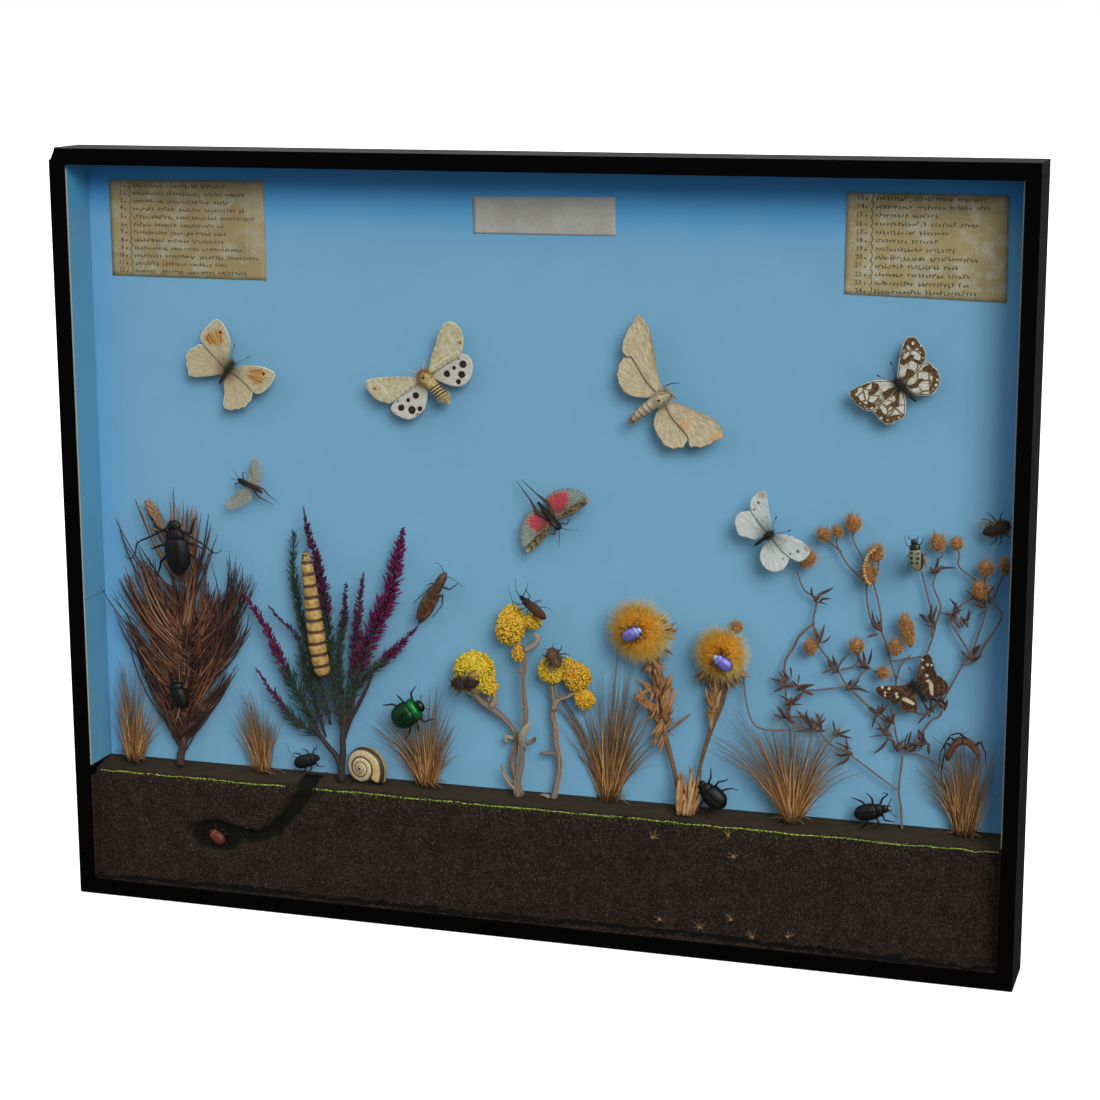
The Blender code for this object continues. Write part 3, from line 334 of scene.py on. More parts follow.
SOIL_PROFILE = (  # depth from the front, and height
    (3.7, 7.3), (3.7, 8.5), (10.2, 9.8), (10.6, 66.6), (12.2, 67.6), (27.3, 70.8), (27.3, 7.3))
BURROW = ((-151, 36, 3.4), (-140, 42, 3.2), (-131, 53, 3.4), (-125, 60, 3.6), (-122, 70, 5.0))  # x, z, radius
DEN = (-174, 35, 15.2, 8.55)  # x, z, half width, half height
BURROW_STUB = ((-162.0, 36, 4.6), BURROW[0])  # from the den to the burrow
BURROW_MOUTH = (-133, -117)  # where the flock stops for it, in x
DUG = 8.0  # depth of the burrow
SOIL_MESH = 1.45  # the size of the soil's facets
SOIL_EDGE = 66.6  # height of the upper edge of the soil's face


def smooth(points, count):
    """count points spread evenly along the smooth curve through these."""
    points = np.asarray(points, float)
    padded = np.vstack([2 * points[0] - points[1], points, 2 * points[-1] - points[-2]])
    t = np.linspace(0, len(points) - 1, 12 * len(points))
    first = np.minimum(t.astype(int), len(points) - 2)
    f = (t - first)[:, None]
    a, b, c, d = (padded[first + k] for k in range(4))
    fine = 0.5 * (2 * b + (c - a) * f + (2 * a - 5 * b + 4 * c - d) * f ** 2 + (3 * b - a - 3 * c + d) * f ** 3)
    length = np.concatenate([[0], np.cumsum(np.linalg.norm(np.diff(fine, axis=0), axis=1))])
    evenly = np.linspace(0, length[-1], count)
    return np.stack([np.interp(evenly, length, column) for column in fine.T], axis=1)


class Heap:
    """The points and triangles of one piece, in mm, as they are gathered. along goes from 0 at
    the root of each shape to 1 at its tip, and tint is free for its colour."""

    def __init__(self, seed=1):
        self.points, self.faces, self.along, self.tint, self.count = [], [], [], [], 0
        self.chance = np.random.default_rng(seed)

    def add(self, points, faces, along=0.0, tint=0.0):
        n = len(points)
        self.points.append(np.asarray(points, float))
        self.faces.append(np.asarray(faces, int) + self.count)
        self.along.append(np.broadcast_to(along, n))
        self.tint.append(np.broadcast_to(tint, n))
        self.count += n

    def build(self, name, finish, slot, *nodes, place=Matrix(), **more):
        """Makes the object, moved by place, which stands for these CAD nodes. more are further
        numbers at its points."""
        points = np.concatenate(self.points) @ np.array(place)[:3, :3].T + np.array(place)[:3, 3]
        faces = np.concatenate(self.faces)
        mesh = bpy.data.meshes.new(name)
        mesh.vertices.add(len(points))
        mesh.vertices.foreach_set("co", (points * 0.001).astype(np.float32).ravel())
        mesh.loops.add(faces.size)
        mesh.loops.foreach_set("vertex_index", faces.astype(np.int32).ravel())
        mesh.polygons.add(len(faces))
        mesh.polygons.foreach_set("loop_start", np.arange(0, faces.size, 3, dtype=np.int32))
        mesh.update(calc_edges=True)
        mesh.shade_smooth()
        for key, values in {"along": self.along, "tint": self.tint, **more}.items():
            mesh.attributes.new(key, "FLOAT", "POINT").data.foreach_set("value",
                np.concatenate(values).astype(np.float32))
        mesh.materials.append(finish.material)
        thing = bpy.data.objects.new(name, mesh)
        scene.collection.objects.link(thing)
        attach(thing, "root")
        if nodes:
            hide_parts(*nodes)
        return thing


def tube(steps, sides):
    """The triangles of a tube with this many rings of points, and of its two ends."""
    a = np.arange(sides)
    b, ring = (a + 1) % sides, sides * np.arange(steps - 1)[:, None]
    walls = [np.stack([ring + a, ring + b, ring + sides + b], axis=2),
        np.stack([ring + a, ring + sides + b, ring + sides + a], axis=2)]
    last = (steps - 1) * sides
    caps = [[(0, k + 1, k) for k in range(1, sides - 1)], [(last, last + k, last + k + 1)
            for k in range(1, sides - 1)]]
    return np.concatenate([np.reshape(part, (-1, 3)) for part in walls + caps])[:, ::-1]


def strands(heap, paths, radii, sides=3, flat=1.0, facing=None, tint=0.0):
    """Tapered rods, all at once. paths is rods x points x 3, and flat thins each along facing."""
    paths = np.asarray(paths, float)
    count, steps = paths.shape[:2]
    run = np.gradient(paths, axis=1)
    run /= np.linalg.norm(run, axis=2, keepdims=True) + 1e-9
    if facing is None:
        facing = np.where(abs(run.mean(axis=1)[:, 1:2]) > 0.85, (1.0, 0, 0), (0, 1.0, 0))
    facing = np.broadcast_to(np.asarray(facing, float).reshape(-1, 1, 3), paths.shape)
    side = np.cross(run, facing)
    side /= np.linalg.norm(side, axis=2, keepdims=True) + 1e-9
    up = np.cross(side, run) * flat
    turn = np.arange(sides) * 2 * np.pi / sides
    ring = side[:, :, None] * np.cos(turn)[:, None] + up[:, :, None] * np.sin(turn)[:, None]
    points = paths[:, :, None] + ring * np.broadcast_to(radii, (count, steps))[..., None, None]
    faces = (tube(steps, sides) + (np.arange(count) * steps * sides)[:, None, None]).reshape(-1, 3)
    shares = np.broadcast_to(np.linspace(0, 1, steps)[:, None], points.shape[:3])
    tints = np.broadcast_to(np.asarray(tint, float).reshape(-1, 1, 1), points.shape[:3])
    heap.add(points.reshape(-1, 3), faces, shares.ravel(), tints.ravel())


def rod(heap, points, radii, sides=8, step=2.0, flat=1.0, facing=None, tint=0.0):
    """One rod through these points. radii is one radius, or one for each point."""
    points = np.asarray(points, float)
    together = np.column_stack([points, np.broadcast_to(radii, len(points))])
    length = np.linalg.norm(np.diff(points, axis=0), axis=1).sum()
    path = smooth(together, max(4, int(length / step) + 2))
    strands(heap, path[None, :, :3], path[None, :, 3], sides, flat, facing, tint)
    return path


def scatter(heap, count):
    """count directions, spread over a ball."""
    way = heap.chance.normal(size=(count, 3))
    return way / np.linalg.norm(way, axis=1, keepdims=True)


def crumbs(heap, spots, sizes, tint=0.0):
    """Small angular grains at these spots."""
    ways = scatter(heap, len(spots)) * np.asarray(sizes)[:, None]
    paths = spots[:, None] + ways[:, None] * np.array((-0.8, 0, 0.8))[:, None]
    strands(heap, paths, np.asarray(sizes)[:, None] * np.array((0.35, 0.95, 0.3)), 3, tint=tint)


def beads(heap, spots, ways, sizes, tint, long=1.0, sides=5):
    """Small round beads, each standing out along its way."""
    sizes = np.asarray(sizes)[:, None]
    paths = spots[:, None] + (ways * sizes * long)[:, None] * np.array((-1, -0.4, 0.5, 1.0))[:, None]
    strands(heap, paths, sizes * np.array((0.3, 0.98, 0.9, 0.25)), sides, tint=tint)


def uneven(points, size, seed=0):
    """Smooth noise from about -1 to 1, with bumps about size mm across."""
    chance = np.random.default_rng(seed)
    total = 0
    for octave in (1, 2, 4):
        for _ in range(7):
            wave = chance.normal(size=3) / size * octave * 1.6
            total = total + np.sin(np.asarray(points) @ wave + chance.uniform(0, 6.3)) / octave
    return total / 4.5


def off_path(points, path):
    """How far each point is outside the rounded strokes given by path's rows of x, z and radius."""
    points, path = points[:, ::2], np.array(path)
    away = np.full(len(points), 1e9)
    for a, b in zip(path[:-1], path[1:]):
        run = b[:2] - a[:2]
        t = np.clip(((points - a[:2]) @ run) / (run @ run), 0, 1)
        gap = np.linalg.norm(points - a[:2] - t[:, None] * run, axis=1)
        away = np.minimum(away, gap - (a[2] + t * (b[2] - a[2])))
    return away


def off_den(points):
    """How far each point is from the den's middle, where the den's edge counts as 1."""
    return np.hypot((points[:, 0] - DEN[0]) / DEN[2], (points[:, 2] - DEN[1]) / DEN[3])


def lumps(points):
    """How far the soil stands out from its profile, in mm."""
    return uneven(points, 26, 3) * 0.8 + uneven(points, 7, 4) * 0.5


soil = Heap(11)
profile = [np.array(p) + (FRONT, 0) for p in SOIL_PROFILE]
along_profile = [profile[0]]
for start, end in zip(profile[:-2], profile[1:-1]):
    steps = max(1, round(np.linalg.norm(end - start) / SOIL_MESH))
    along_profile += [start + (end - start) * k / steps for k in range(1, steps + 1)]
rows = np.array([*along_profile, profile[-1]])
columns = np.linspace(-INSET, INSET, 330)
grid = np.array([(x, *row) for x in columns for row in rows])
run = np.gradient(rows, axis=0)
out = np.stack([-run[:, 1], run[:, 0]], axis=1) / np.linalg.norm(run, axis=1)[:, None]
free = np.ones(len(rows))  # which points may move: not those against the glass, the floor and the backing
free[[0, -2, -1]] = 0
lump = lumps(grid) + soil.chance.normal(size=len(grid)) * 0.16
free = np.tile(free, len(columns)) * (abs(grid[:, 0]) < INSET - 0.5)
outward = np.tile(out, (len(columns), 1))
grid[:, 1:] += outward * (lump * free)[:, None]
dug = np.minimum(off_path(grid, BURROW), (off_den(grid) - 1) * DEN[3])
dug = np.minimum(dug, off_path(grid, BURROW_STUB)) + uneven(grid, 5, 8) * 0.9
face = np.clip((grid[:, 2] - 10) / 2, 0, 1) * (grid[:, 1] < FRONT + 22)
carved = np.clip(0.5 - dug / 2.6, 0, 1) * face
grid[:, 1] += carved * DUG * (0.75 + 0.25 * uneven(grid, 4, 5))
cells = np.arange(len(grid)).reshape(len(columns), len(rows))
around = np.concatenate([cells, cells[:, :1]], axis=1)
a, b, c, d = around[:-1, :-1], around[1:, :-1], around[1:, 1:], around[:-1, 1:]
quads = np.stack([a, b, c, a, c, d], axis=2).reshape(-1, 3)
left_end = [(cells[0, 0], cells[0, k], cells[0, k + 1]) for k in range(1, len(rows) - 1)]
right_end = [(cells[-1, 0], cells[-1, k + 1], cells[-1, k]) for k in range(1, len(rows) - 1)]
# tint marks where the burrow and the den are dug; the soil's finish paints them nearly black, as painted shade in the
# hollow.
soil.add(grid, np.concatenate([quads, left_end, right_end]), 0.0, np.clip(carved * 1.2, 0, 1))

for side in (-1, 1):
    for y in (-12, -9, -6):
        rod(soil, [(side * (INSET - 0.8), y, z) for z in (8.8, 24, 45, 65.8)], 2.6, 6, 2.0, 0.3, (1, 0, 0))


def on_face(x, z):
    """Points on the soil's uneven surface above the foot: up the face to its edge, then back over the top."""
    points = np.stack([x, FRONT + np.interp(z, (10, SOIL_EDGE, 67.6, 70.8), (10.2, 10.6, 12.2, 27.3)), z], axis=1)
    outward = np.where(z[:, None] < SOIL_EDGE, (0, -1, 0), (0, -0.6, 0.8))
    return points + outward * lumps(points)[:, None]


chance = soil.chance
count = 3300
spread = on_face(chance.uniform(-240, 240, count), chance.uniform(11, 70.3, count))
spread = spread[(off_path(spread, BURROW) > 1) & (off_den(spread) > 1.1)]
crumbs(soil, spread + (0, 0.1, 0), chance.uniform(0.28, 0.66, len(spread)), -chance.uniform(0, 1, len(spread)) ** 3)
finish = Finish("soil", rough=0.95, shine=0.15)
tint = finish.read("tint")
earth = finish.mix(
    (finish.noise(9, 5, 0.7) * 0.35 + finish.noise(1.1, 5, 0.7) * 0.65).rise(0.36, 0.66), (25, 18, 16), (46, 35, 30))
grain = finish.grains(0.65, "Color")
# Pale crumbs, where tint is below 0, are lighter; the burrow and the den, where tint is above 0, are painted nearly
# black as shade in the hollow.
earth = (earth
    .coat(grain.rise(0.35, 0.15) * 0.8, 12, 9, 8)
    .coat(grain.rise(0.6, 0.9) * 0.5, 86, 68, 56)
    .coat(finish.axis(1).rise(FRONT + 11.2, FRONT + 14), 56, 48, 36)
    .coat(tint.rise(0.15, 0.9), 15, 15, 11)
    .coat((0 - tint).rise(0.25, 0.9), 98, 78, 62))
# A near-black jagged line low on the face, about 9 mm up: painted shadow where the bank meets the ledge below it.
foot = abs(finish.axis(2) - 9.2 + (finish.noise(4, 4, 0.7) - 0.5) * 3)
earth = earth.coat(foot.rise(0.85, 0.35) * finish.axis(1).rise(FRONT + 14, FRONT + 12), 3, 3, 3)
finish.drive(Base_Color=earth).bump(finish.noise(0.8, 5, 0.7) + finish.noise(2.6, 3) * 0.9, 0.9)
soil.build("soil", finish, "soil", "soil_bank")

flock = Heap(12)
chance = flock.chance
drift = chance.choice((-178, -150, -96, -60, -10, 40, 95, 130, 190), 1000) + chance.normal(size=1000) * 16
x = np.concatenate([chance.uniform(-240, 240, 2600), drift])
z = np.concatenate([66.8 + chance.normal(size=2600) * 0.1, 66.7 - chance.exponential(2.3, 1000)])
keep = ((x < BURROW_MOUTH[0]) | (x > BURROW_MOUTH[1])) & (z > 14)
spots = on_face(x[keep], z[keep]) - (0, 0.15, 0)
above = z[keep] > 66.35
sizes = np.where(above, chance.uniform(0.14, 0.3, len(spots)), chance.uniform(0.08, 0.2, len(spots)))
crumbs(flock, spots, sizes, np.where(above, chance.uniform(0.35, 1, len(spots)), chance.uniform(0, 0.4, len(spots))))
finish = Finish("flock", rough=0.8)
tone = finish.read("tint")
finish.drive(Base_Color=finish.mix(
        finish.noise(1.2).rise(0.3, 0.7) * 0.5, finish.ramp(
            tone, (0, 66, 136, 22), (0.4, 140, 194, 34), (0.75, 196, 222, 74), (1, 228, 232, 136)), (124, 180, 34)))
flock.build("green_flock", finish, "soil")

fluff = Heap(13)
chance = fluff.chance
for x, z in ((67, 58), (106, 63), (109, 52), (71, 15), (92, 13), (108, 19), (119, 10.5), (137, 13)):
    root = on_face(np.array([x]), np.array([z]))[0]
    ways = scatter(fluff, 26) * (1, 0.35, 1) + (0, -0.2, 0.35)
    reach = chance.uniform(0.8, 4.6, 26)[:, None]
    bend = scatter(fluff, 26) * 0.5
    paths = root + (0, -0.3, 0) + np.stack([ways * 0, ways * reach * 0.55 + bend, ways * reach], axis=1)
    strands(fluff, paths, (0.1, 0.07, 0.03), tint=chance.random(26))
    crumbs(fluff, root + scatter(fluff, 7) * 0.45 - (0, 0.6, 0), chance.uniform(0.2, 0.45, 7), 0.0)
finish = Finish("fluff", rough=0.9)
finish.drive(Base_Color=finish.ramp(finish.read("tint"), (0, 196, 160, 60), (0.4, 150, 130, 84), (1, 120, 100, 80)))
fluff.build("soil_fluff", finish, "soil")


# The labels: two numbered lists and a narrow heading, written by hand on thin card that has
# turned brown and blotched. Only plain numbers and faint ruled strokes stand on them here.

ROWS, ROW_PITCH = 12, 4.0  # numbered lines on a label, and from one to the next
STROKE_PITCH = 1.75  # from one stroke of the writing to the next


def card(name, corners, seed, hue, pale):
    """A label that lies on the backing between these corners, from the upper left and down, in x and z."""
    heap = Heap(seed)
    across, upward = 34, 20
    u, v = np.meshgrid(np.linspace(0, 1, across), np.linspace(0, 1, upward), indexing="ij")
    u, v = u.reshape(-1, 1), v.reshape(-1, 1)
    upper_left, lower_left, lower_right, upper_right = (np.array(corner) for corner in corners)
    flat = (1 - u) * (1 - v) * lower_left + u * (1 - v) * lower_right + u * v * upper_right + (1 - u) * v * upper_left
    lift = 0.42 + 0.1 * uneven(np.column_stack([flat, 0 * u]), 30, seed)
    front = np.column_stack([flat[:, 0], BACKING_Y0 - lift, flat[:, 1]])
    back = np.column_stack([flat[:, 0], 0 * lift + BACKING_Y0 - 0.05, flat[:, 1]])
    ids = np.arange(across * upward).reshape(across, upward)
    a, b, c, d = ids[:-1, :-1], ids[1:, :-1], ids[1:, 1:], ids[:-1, 1:]
    sheet = np.stack([a, b, c, a, c, d], axis=2).reshape(-1, 3)
    rim = np.concatenate([ids[:, 0], ids[-1, 1:], ids[-2::-1, -1], ids[0, -2::-1]])
    n = across * upward
    wall = np.stack([rim[:-1], rim[:-1] + n, rim[1:] + n, rim[:-1], rim[1:] + n, rim[1:]], axis=1).reshape(-1, 3)
    heap.add(np.concatenate([front, back]), np.concatenate([sheet, sheet[:, ::-1] + n, wall]))
    finish = Finish(name + "_card", rough=0.9, shine=0.2)
    shade = finish.mix(finish.noise(30, 3).rise(0.35, 0.65), [c * 0.93 for c in hue], hue)
    stain = finish.noise(11, 3, 0.5).rise(0.45, 0.6) * (0.35 + finish.noise(3, 3).rise(0.3, 0.7) * 0.65)
    shade = (shade
        .coat(stain * 0.75, pale)
        .coat(finish.noise(0.8, 4).rise(0.3, 0.7) * 0.22, [c * 0.72 for c in hue])
        .coat(finish.noise(2.2, 3).rise(0.68, 0.76) * 0.5, 104, 78, 48))
    finish.drive(Base_Color=shade).bump(finish.noise(0.5, 4) + finish.noise(7, 2), 0.05)
    heap.build(name, finish, "old_paper", name)


def written(name, first, right, top, dot_x, line_x, seed):
    """Numbers from first, a ruled wavy line after them, and faint strokes where words stood."""
    heap = Heap(seed)
    chance = heap.chance
    y = BACKING_Y0 - 0.62
    for row in range(ROWS):
        z = top - 2.6 - row * ROW_PITCH
        curve = bpy.data.curves.new("number", "FONT")
        curve.body, curve.size, curve.align_x, curve.offset = str(first + row), 3.4, "RIGHT", 0.02
        curve.resolution_u, curve.extrude = 1, 0.03
        text = bpy.data.objects.new("number", curve)
        scene.collection.objects.link(text)
        bpy.context.view_layer.update()
        made = text.evaluated_get(bpy.context.evaluated_depsgraph_get()).to_mesh()
        made.calc_loop_triangles()
        at = np.array([v.co for v in made.vertices])
        faces = np.array([t.vertices for t in made.loop_triangles])
        shift = chance.normal(size=2) * 0.15
        heap.add(np.stack([at[:, 0] + dot_x - 1.2 + shift[0], y - at[:, 2], at[:, 1] + z - 1.2 + shift[1]], axis=1),
            faces, 0, 0.35)
        beads(heap, np.array([(dot_x, y + 0.2, z - 0.7)]), np.array([(0, -1.0, 0)]), [0.48], 0, sides=9, long=0.5)
        bpy.data.objects.remove(text)
        bpy.data.curves.remove(curve)
        x = line_x + 2.6
        last = right - chance.uniform(4, 34)
        while x < last:
            word = x + chance.uniform(9, 24)
            while x < min(word, last):
                tall = chance.choice((0.75, 1.3), p=(0.75, 0.25))
                upright = ((x, y, z - 1.2), (x, y, z - 0.4 + tall)) + chance.normal(size=(1, 2, 3)) * (0.25, 0, 0.1)
                level = ((x, y, z - 0.3), (x + 1.0, y, z - 0.3)) + chance.normal(size=(1, 2, 3)) * (0.1, 0, 0.5)
                for path in (upright, level):
                    strands(heap, path, chance.uniform(0.12, 0.24), 4, 0.2, tint=chance.uniform(0.55, 1.0))
                x += STROKE_PITCH
            x += STROKE_PITCH
    z = np.linspace(top - 1.2, top - ROWS * ROW_PITCH - 0.2, 150)
    wave = line_x + 1.1 * abs(np.sin((z - top) * math.pi / ROW_PITCH))
    strands(heap, np.stack([wave, 0 * z + y, z], axis=1)[None], 0.17, 4, 0.2, tint=0.6)
    heap.build(name, ink, "old_paper")


card("label_left", ((-230, 380.6), (-229.9, 331.2), (-143.3, 331.0), (-143.3, 381.5)), 21, (156, 138, 98),
    (168, 164, 142))
card("label_right", ((156, 381.2), (155.7, 333.1), (232.6, 331.2), (232.2, 381.1)), 22, (160, 144, 102),
    (176, 174, 158))
card("label_title", ((-31.2, 375.7), (-31.1, 357.6), (42.3, 357.9), (42.1, 376.8)), 23, (168, 166, 160),
    (170, 168, 162))
ink = Finish("ink", rough=0.7)
shade = ink.ramp(ink.read("tint"), (0, 26, 24, 20), (0.8, 98, 88, 66))
ink.drive(Base_Color=shade.coat(ink.noise(2, 3).rise(0.3, 0.7) * 0.3, 90, 82, 66))
written("numbers_left", 1, -143.3, 380.8, -221.2, -218.9, 24)
written("numbers_right", 13, 232, 381.6, 165.4, 167.8, 25)


# The pine branch: a dried spray on one trunk, whose long needles stand in sheaves, a column up
# the middle and a sweep to each side, rusty with nearly black tips and tan ones at the top.

SHEAVES = (  # feet from and to, tips from and to, needles, how far they bow, tone: 0 dark, 1 rusty, 2 tan
    ((-196, 173), (-187, 174), (-215, 214), (-201, 209), 17, 0.02, 1.6),
    ((-195, 175), (-186, 176), (-197, 217), (-182, 209), 29, 0.0, 1.5),
    ((-190, 163), (-185, 168), (-180, 209), (-172, 193), 8, 0.03, 0.4),
    ((-196, 128), (-189, 150), (-202, 166), (-181, 184), 85, 0.0, 1.0),
    ((-197, 148), (-191, 163), (-228, 201), (-217, 185), 11, 0.02, 0.5),
    ((-190, 117), (-194, 147), (-234, 167), (-214, 182), 82, 0.09, 0.95),
    ((-192, 100), (-193, 120), (-231, 153), (-223, 140), 48, 0.07, 0.7),
    ((-198, 81), (-196, 100), (-224, 141), (-215, 124), 38, 0.05, 0.15),
    ((-197, 83), (-195, 103), (-211, 126), (-180, 132), 99, 0.02, 0.75),
    ((-190, 113), (-187, 139), (-167, 186), (-152, 175), 56, 0.09, 0.4),
    ((-192, 97), (-188, 120), (-165, 165), (-157, 150), 50, 0.08, 0.6),
    ((-196, 83), (-190, 103), (-174, 112), (-163, 130), 40, 0.05, 0.5),
    ((-188, 126), (-187, 149), (-180, 173), (-168, 164), 46, 0.05, 0.8),
)


def turned(ways, angles):
    """Directions turned by these angles in the plane of the backing, in degrees."""
    c, s = np.cos(np.radians(angles)), np.sin(np.radians(angles))
    return np.stack([ways[:, 0] * c - ways[:, 2] * s, ways[:, 1], ways[:, 0] * s + ways[:, 2] * c], axis=1)


def on_paper(points, lift):
    """Points given as x, z and perhaps their own lift, in the case's x, y, z."""
    return np.array([(p[0], BACKING_Y0 - (p[2] if len(p) > 2 else lift), p[1]) for p in points], float)


BEHIND_GLASS = FRONT + 4.2  # the nearest to the glass that anything comes
BESIDE_WALL = 240.6  # and to a side wall


def kept_in(points, least=1.2):
    """Points held off the glass, the side walls and, by least, the backing."""
    points[..., 1] = np.clip(points[..., 1], BEHIND_GLASS, BACKING_Y0 - least)
    points[..., 0] = np.clip(points[..., 0], -BESIDE_WALL, BESIDE_WALL)
    return points


pine = Heap(31)
chance = pine.chance
rod(pine, on_paper(((-198, 70), (-197.4, 76), (-195.5, 84), (-194, 112), (-196, 140), (-199, 182)), 6.5),
    (2.3, 2.2, 2.0, 1.6, 1.3, 0.8), 10, tint=0.1)
rod(pine, on_paper(((-195.6, 84), (-203, 112), (-211, 134), (-216, 152)), 6), (2.0, 1.6, 1.3, 0.8), 8, tint=0.1)
rod(pine, on_paper(((-195, 84), (-186, 108), (-177, 126), (-170, 142)), 6), (2.0, 1.6, 1.3, 0.8), 8, tint=0.1)
for foot_a, foot_b, tip_a, tip_b, count, bow, tone in SHEAVES:
    t = chance.random(count)[:, None]
    u = np.clip(t + chance.normal(0, 0.24, (count, 1)), -0.15, 1.15)
    foot = np.array(foot_a) * (1 - t) + np.array(foot_b) * t + chance.normal(0, 1.9, (count, 2))
    tip = np.array(tip_a) * (1 - u) + np.array(tip_b) * u
    tip = foot + (tip - foot) * np.where(chance.random((count, 1)) < 0.5, 1.0,
        chance.uniform(0.55, 0.9, (count, 1))) + chance.normal(0, 1.7, (count, 2))
    length = np.linalg.norm(tip - foot, axis=1, keepdims=True)
    across = np.stack([tip[:, 1] - foot[:, 1], foot[:, 0] - tip[:, 0]], axis=1) * np.sign(tip[:, :1] - foot[:, :1]
        + 1e-6)
    steps = np.linspace(0, 1, 8)[None, :, None]
    flat = foot[:, None] + (tip - foot)[:, None] * steps + across[:,
        None] * ((bow + chance.normal(0, 0.025, count))[:, None, None] * 4 * steps * (1 - steps))
    depth = BACKING_Y0 - 7 + chance.normal(0, 1.3, count)[:, None] + chance.normal(0, 0.06, count)[:,
        None] * length * steps[..., 0]
    curve = np.stack([flat[..., 0], depth, flat[..., 1]], axis=2)
    width = chance.uniform(0.38, 0.56, count)[:, None] * np.array((0.8, 1, 1, 1, 0.95, 0.85, 0.65, 0.2))
    strands(pine, kept_in(curve), width * 1.05, 3, 0.75, tint=np.clip(tone + chance.normal(0, 0.42, count), 0, 2))
bud = on_paper(((-205, 196), (-207, 203), (-211, 211)), 5)
for k in range(60):
    t = k / 60
    spot = bud[0] * (1 - t) + bud[2] * t
    way = turned(np.array([[-0.45, 0, 0.9]]), [chance.uniform(-55, 55)])[0] + (0, chance.uniform(-0.5, 0.3), 0)
    strands(pine, (spot + way * np.array((0, 2, 4.2))[:, None])[None], (0.9, 1.1, 0.2), 4, 0.4, tint=1.6)
needle = Finish("pine_needles", shine=0.3)
along, tint = needle.read("along", "tint")
rust = (needle.ramp(tint * 0.5, (0, 44, 32, 28), (0.28, 82, 49, 37), (0.55, 124, 75, 51), (0.85, 160, 124, 94))
    .coat(along.rise(0.2, 0.02) * 0.4, 74, 56, 46)
    .coat(along.rise(0.5, 1) * (tint.rise(1.5, 0.6) * 0.55 + 0.3), 42, 30, 28)
    .coat(needle.noise(6, 3).rise(0.55, 0.75) * 0.4, 166, 124, 92))
needle.drive(Base_Color=rust, Roughness=0.5 + needle.noise(3) * 0.3).bump(needle.noise(0.5, 3, 0.6, (1, 1, 6)), 0.06)
pine.build("pine_branch", needle, "needles", "needle_branch")


# The heather: a dried sprig, its stiff forked stems set with small curled leaves, green below,
# and ending in dense spikes of tiny folded bells, magenta at the tips and dark purple lower down.

LEAFY = 6.5  # how far the longest leaves reach, in mm
SPIKES = (  # path in x and z, half width at the middle, how far up the green goes, tone, share of the leaves' reach
    (((-116, 93), (-123, 96), (-132, 102), (-138, 110), (-145, 118), (-152, 128)), 2.4, 0.5, 0.0, 0.8),
    (((-114, 92), (-122, 106), (-128, 117), (-136, 132), (-143, 147), (-149, 157), (-159, 169)), 3.4, 0.52, 0.0,
        1.15),
    (((-113, 93), (-120, 117), (-125, 139), (-129, 148), (-136, 154), (-144, 162)), 2.4, 0.7, 0.22, 1.0),
    (((-110, 100), (-118, 130), (-125, 155), (-128, 171), (-129, 181), (-128, 201)), 3.0, 1.4, 0.3, 0.6),
    (((-103, 100), (-107, 118), (-109, 140), (-111, 161), (-113, 177), (-116, 190), (-119, 200), (-122, 216)), 4.4,
        0.5, 0.24, 0.8),
    (((-103, 104), (-104, 135), (-101, 156), (-100, 167), (-99, 178)), 3.3, 0.66, 0.3, 0.7),
    (((-101, 104), (-95, 135), (-94, 151), (-92, 168), (-89, 184)), 3.4, 0.3, 0.16, 0.5),
    (((-101, 110), (-96, 120), (-89, 144), (-82, 158), (-75, 174), (-71, 190), (-67, 209)), 6.2, 0.24, 0.04, 0.7),
    (((-100, 112), (-96, 120), (-89, 128), (-80, 136), (-71, 145), (-60, 157)), 3.4, 0.55, 0.12, 0.7),
)
HEATHER_STEMS = (
    (((-104, 70), (-104, 78), (-103, 86), (-103, 97), (-101, 106)), (2.2, 2.0, 1.8, 1.6, 1.3)),
    (((-104, 72), (-106, 82), (-112, 89), (-116, 94), (-121, 101)), (1.9, 1.6, 1.4, 1.3, 1.0)),
    (((-103, 92), (-99, 103), (-94, 112), (-88, 124), (-84, 136)), (1.4, 1.3, 1.1, 0.9, 0.7)),
    (((-103, 96), (-106, 118), (-109, 140), (-113, 170)), (1.2, 1.1, 0.9, 0.6)),
    (((-99, 103), (-96, 118), (-94, 140)), (1.1, 1.0, 0.6)),
)
heather = Heap(32)
chance = heather.chance
for path, radii in HEATHER_STEMS:
    rod(heather, on_paper(path, 9.0), radii, 8, tint=2.0)
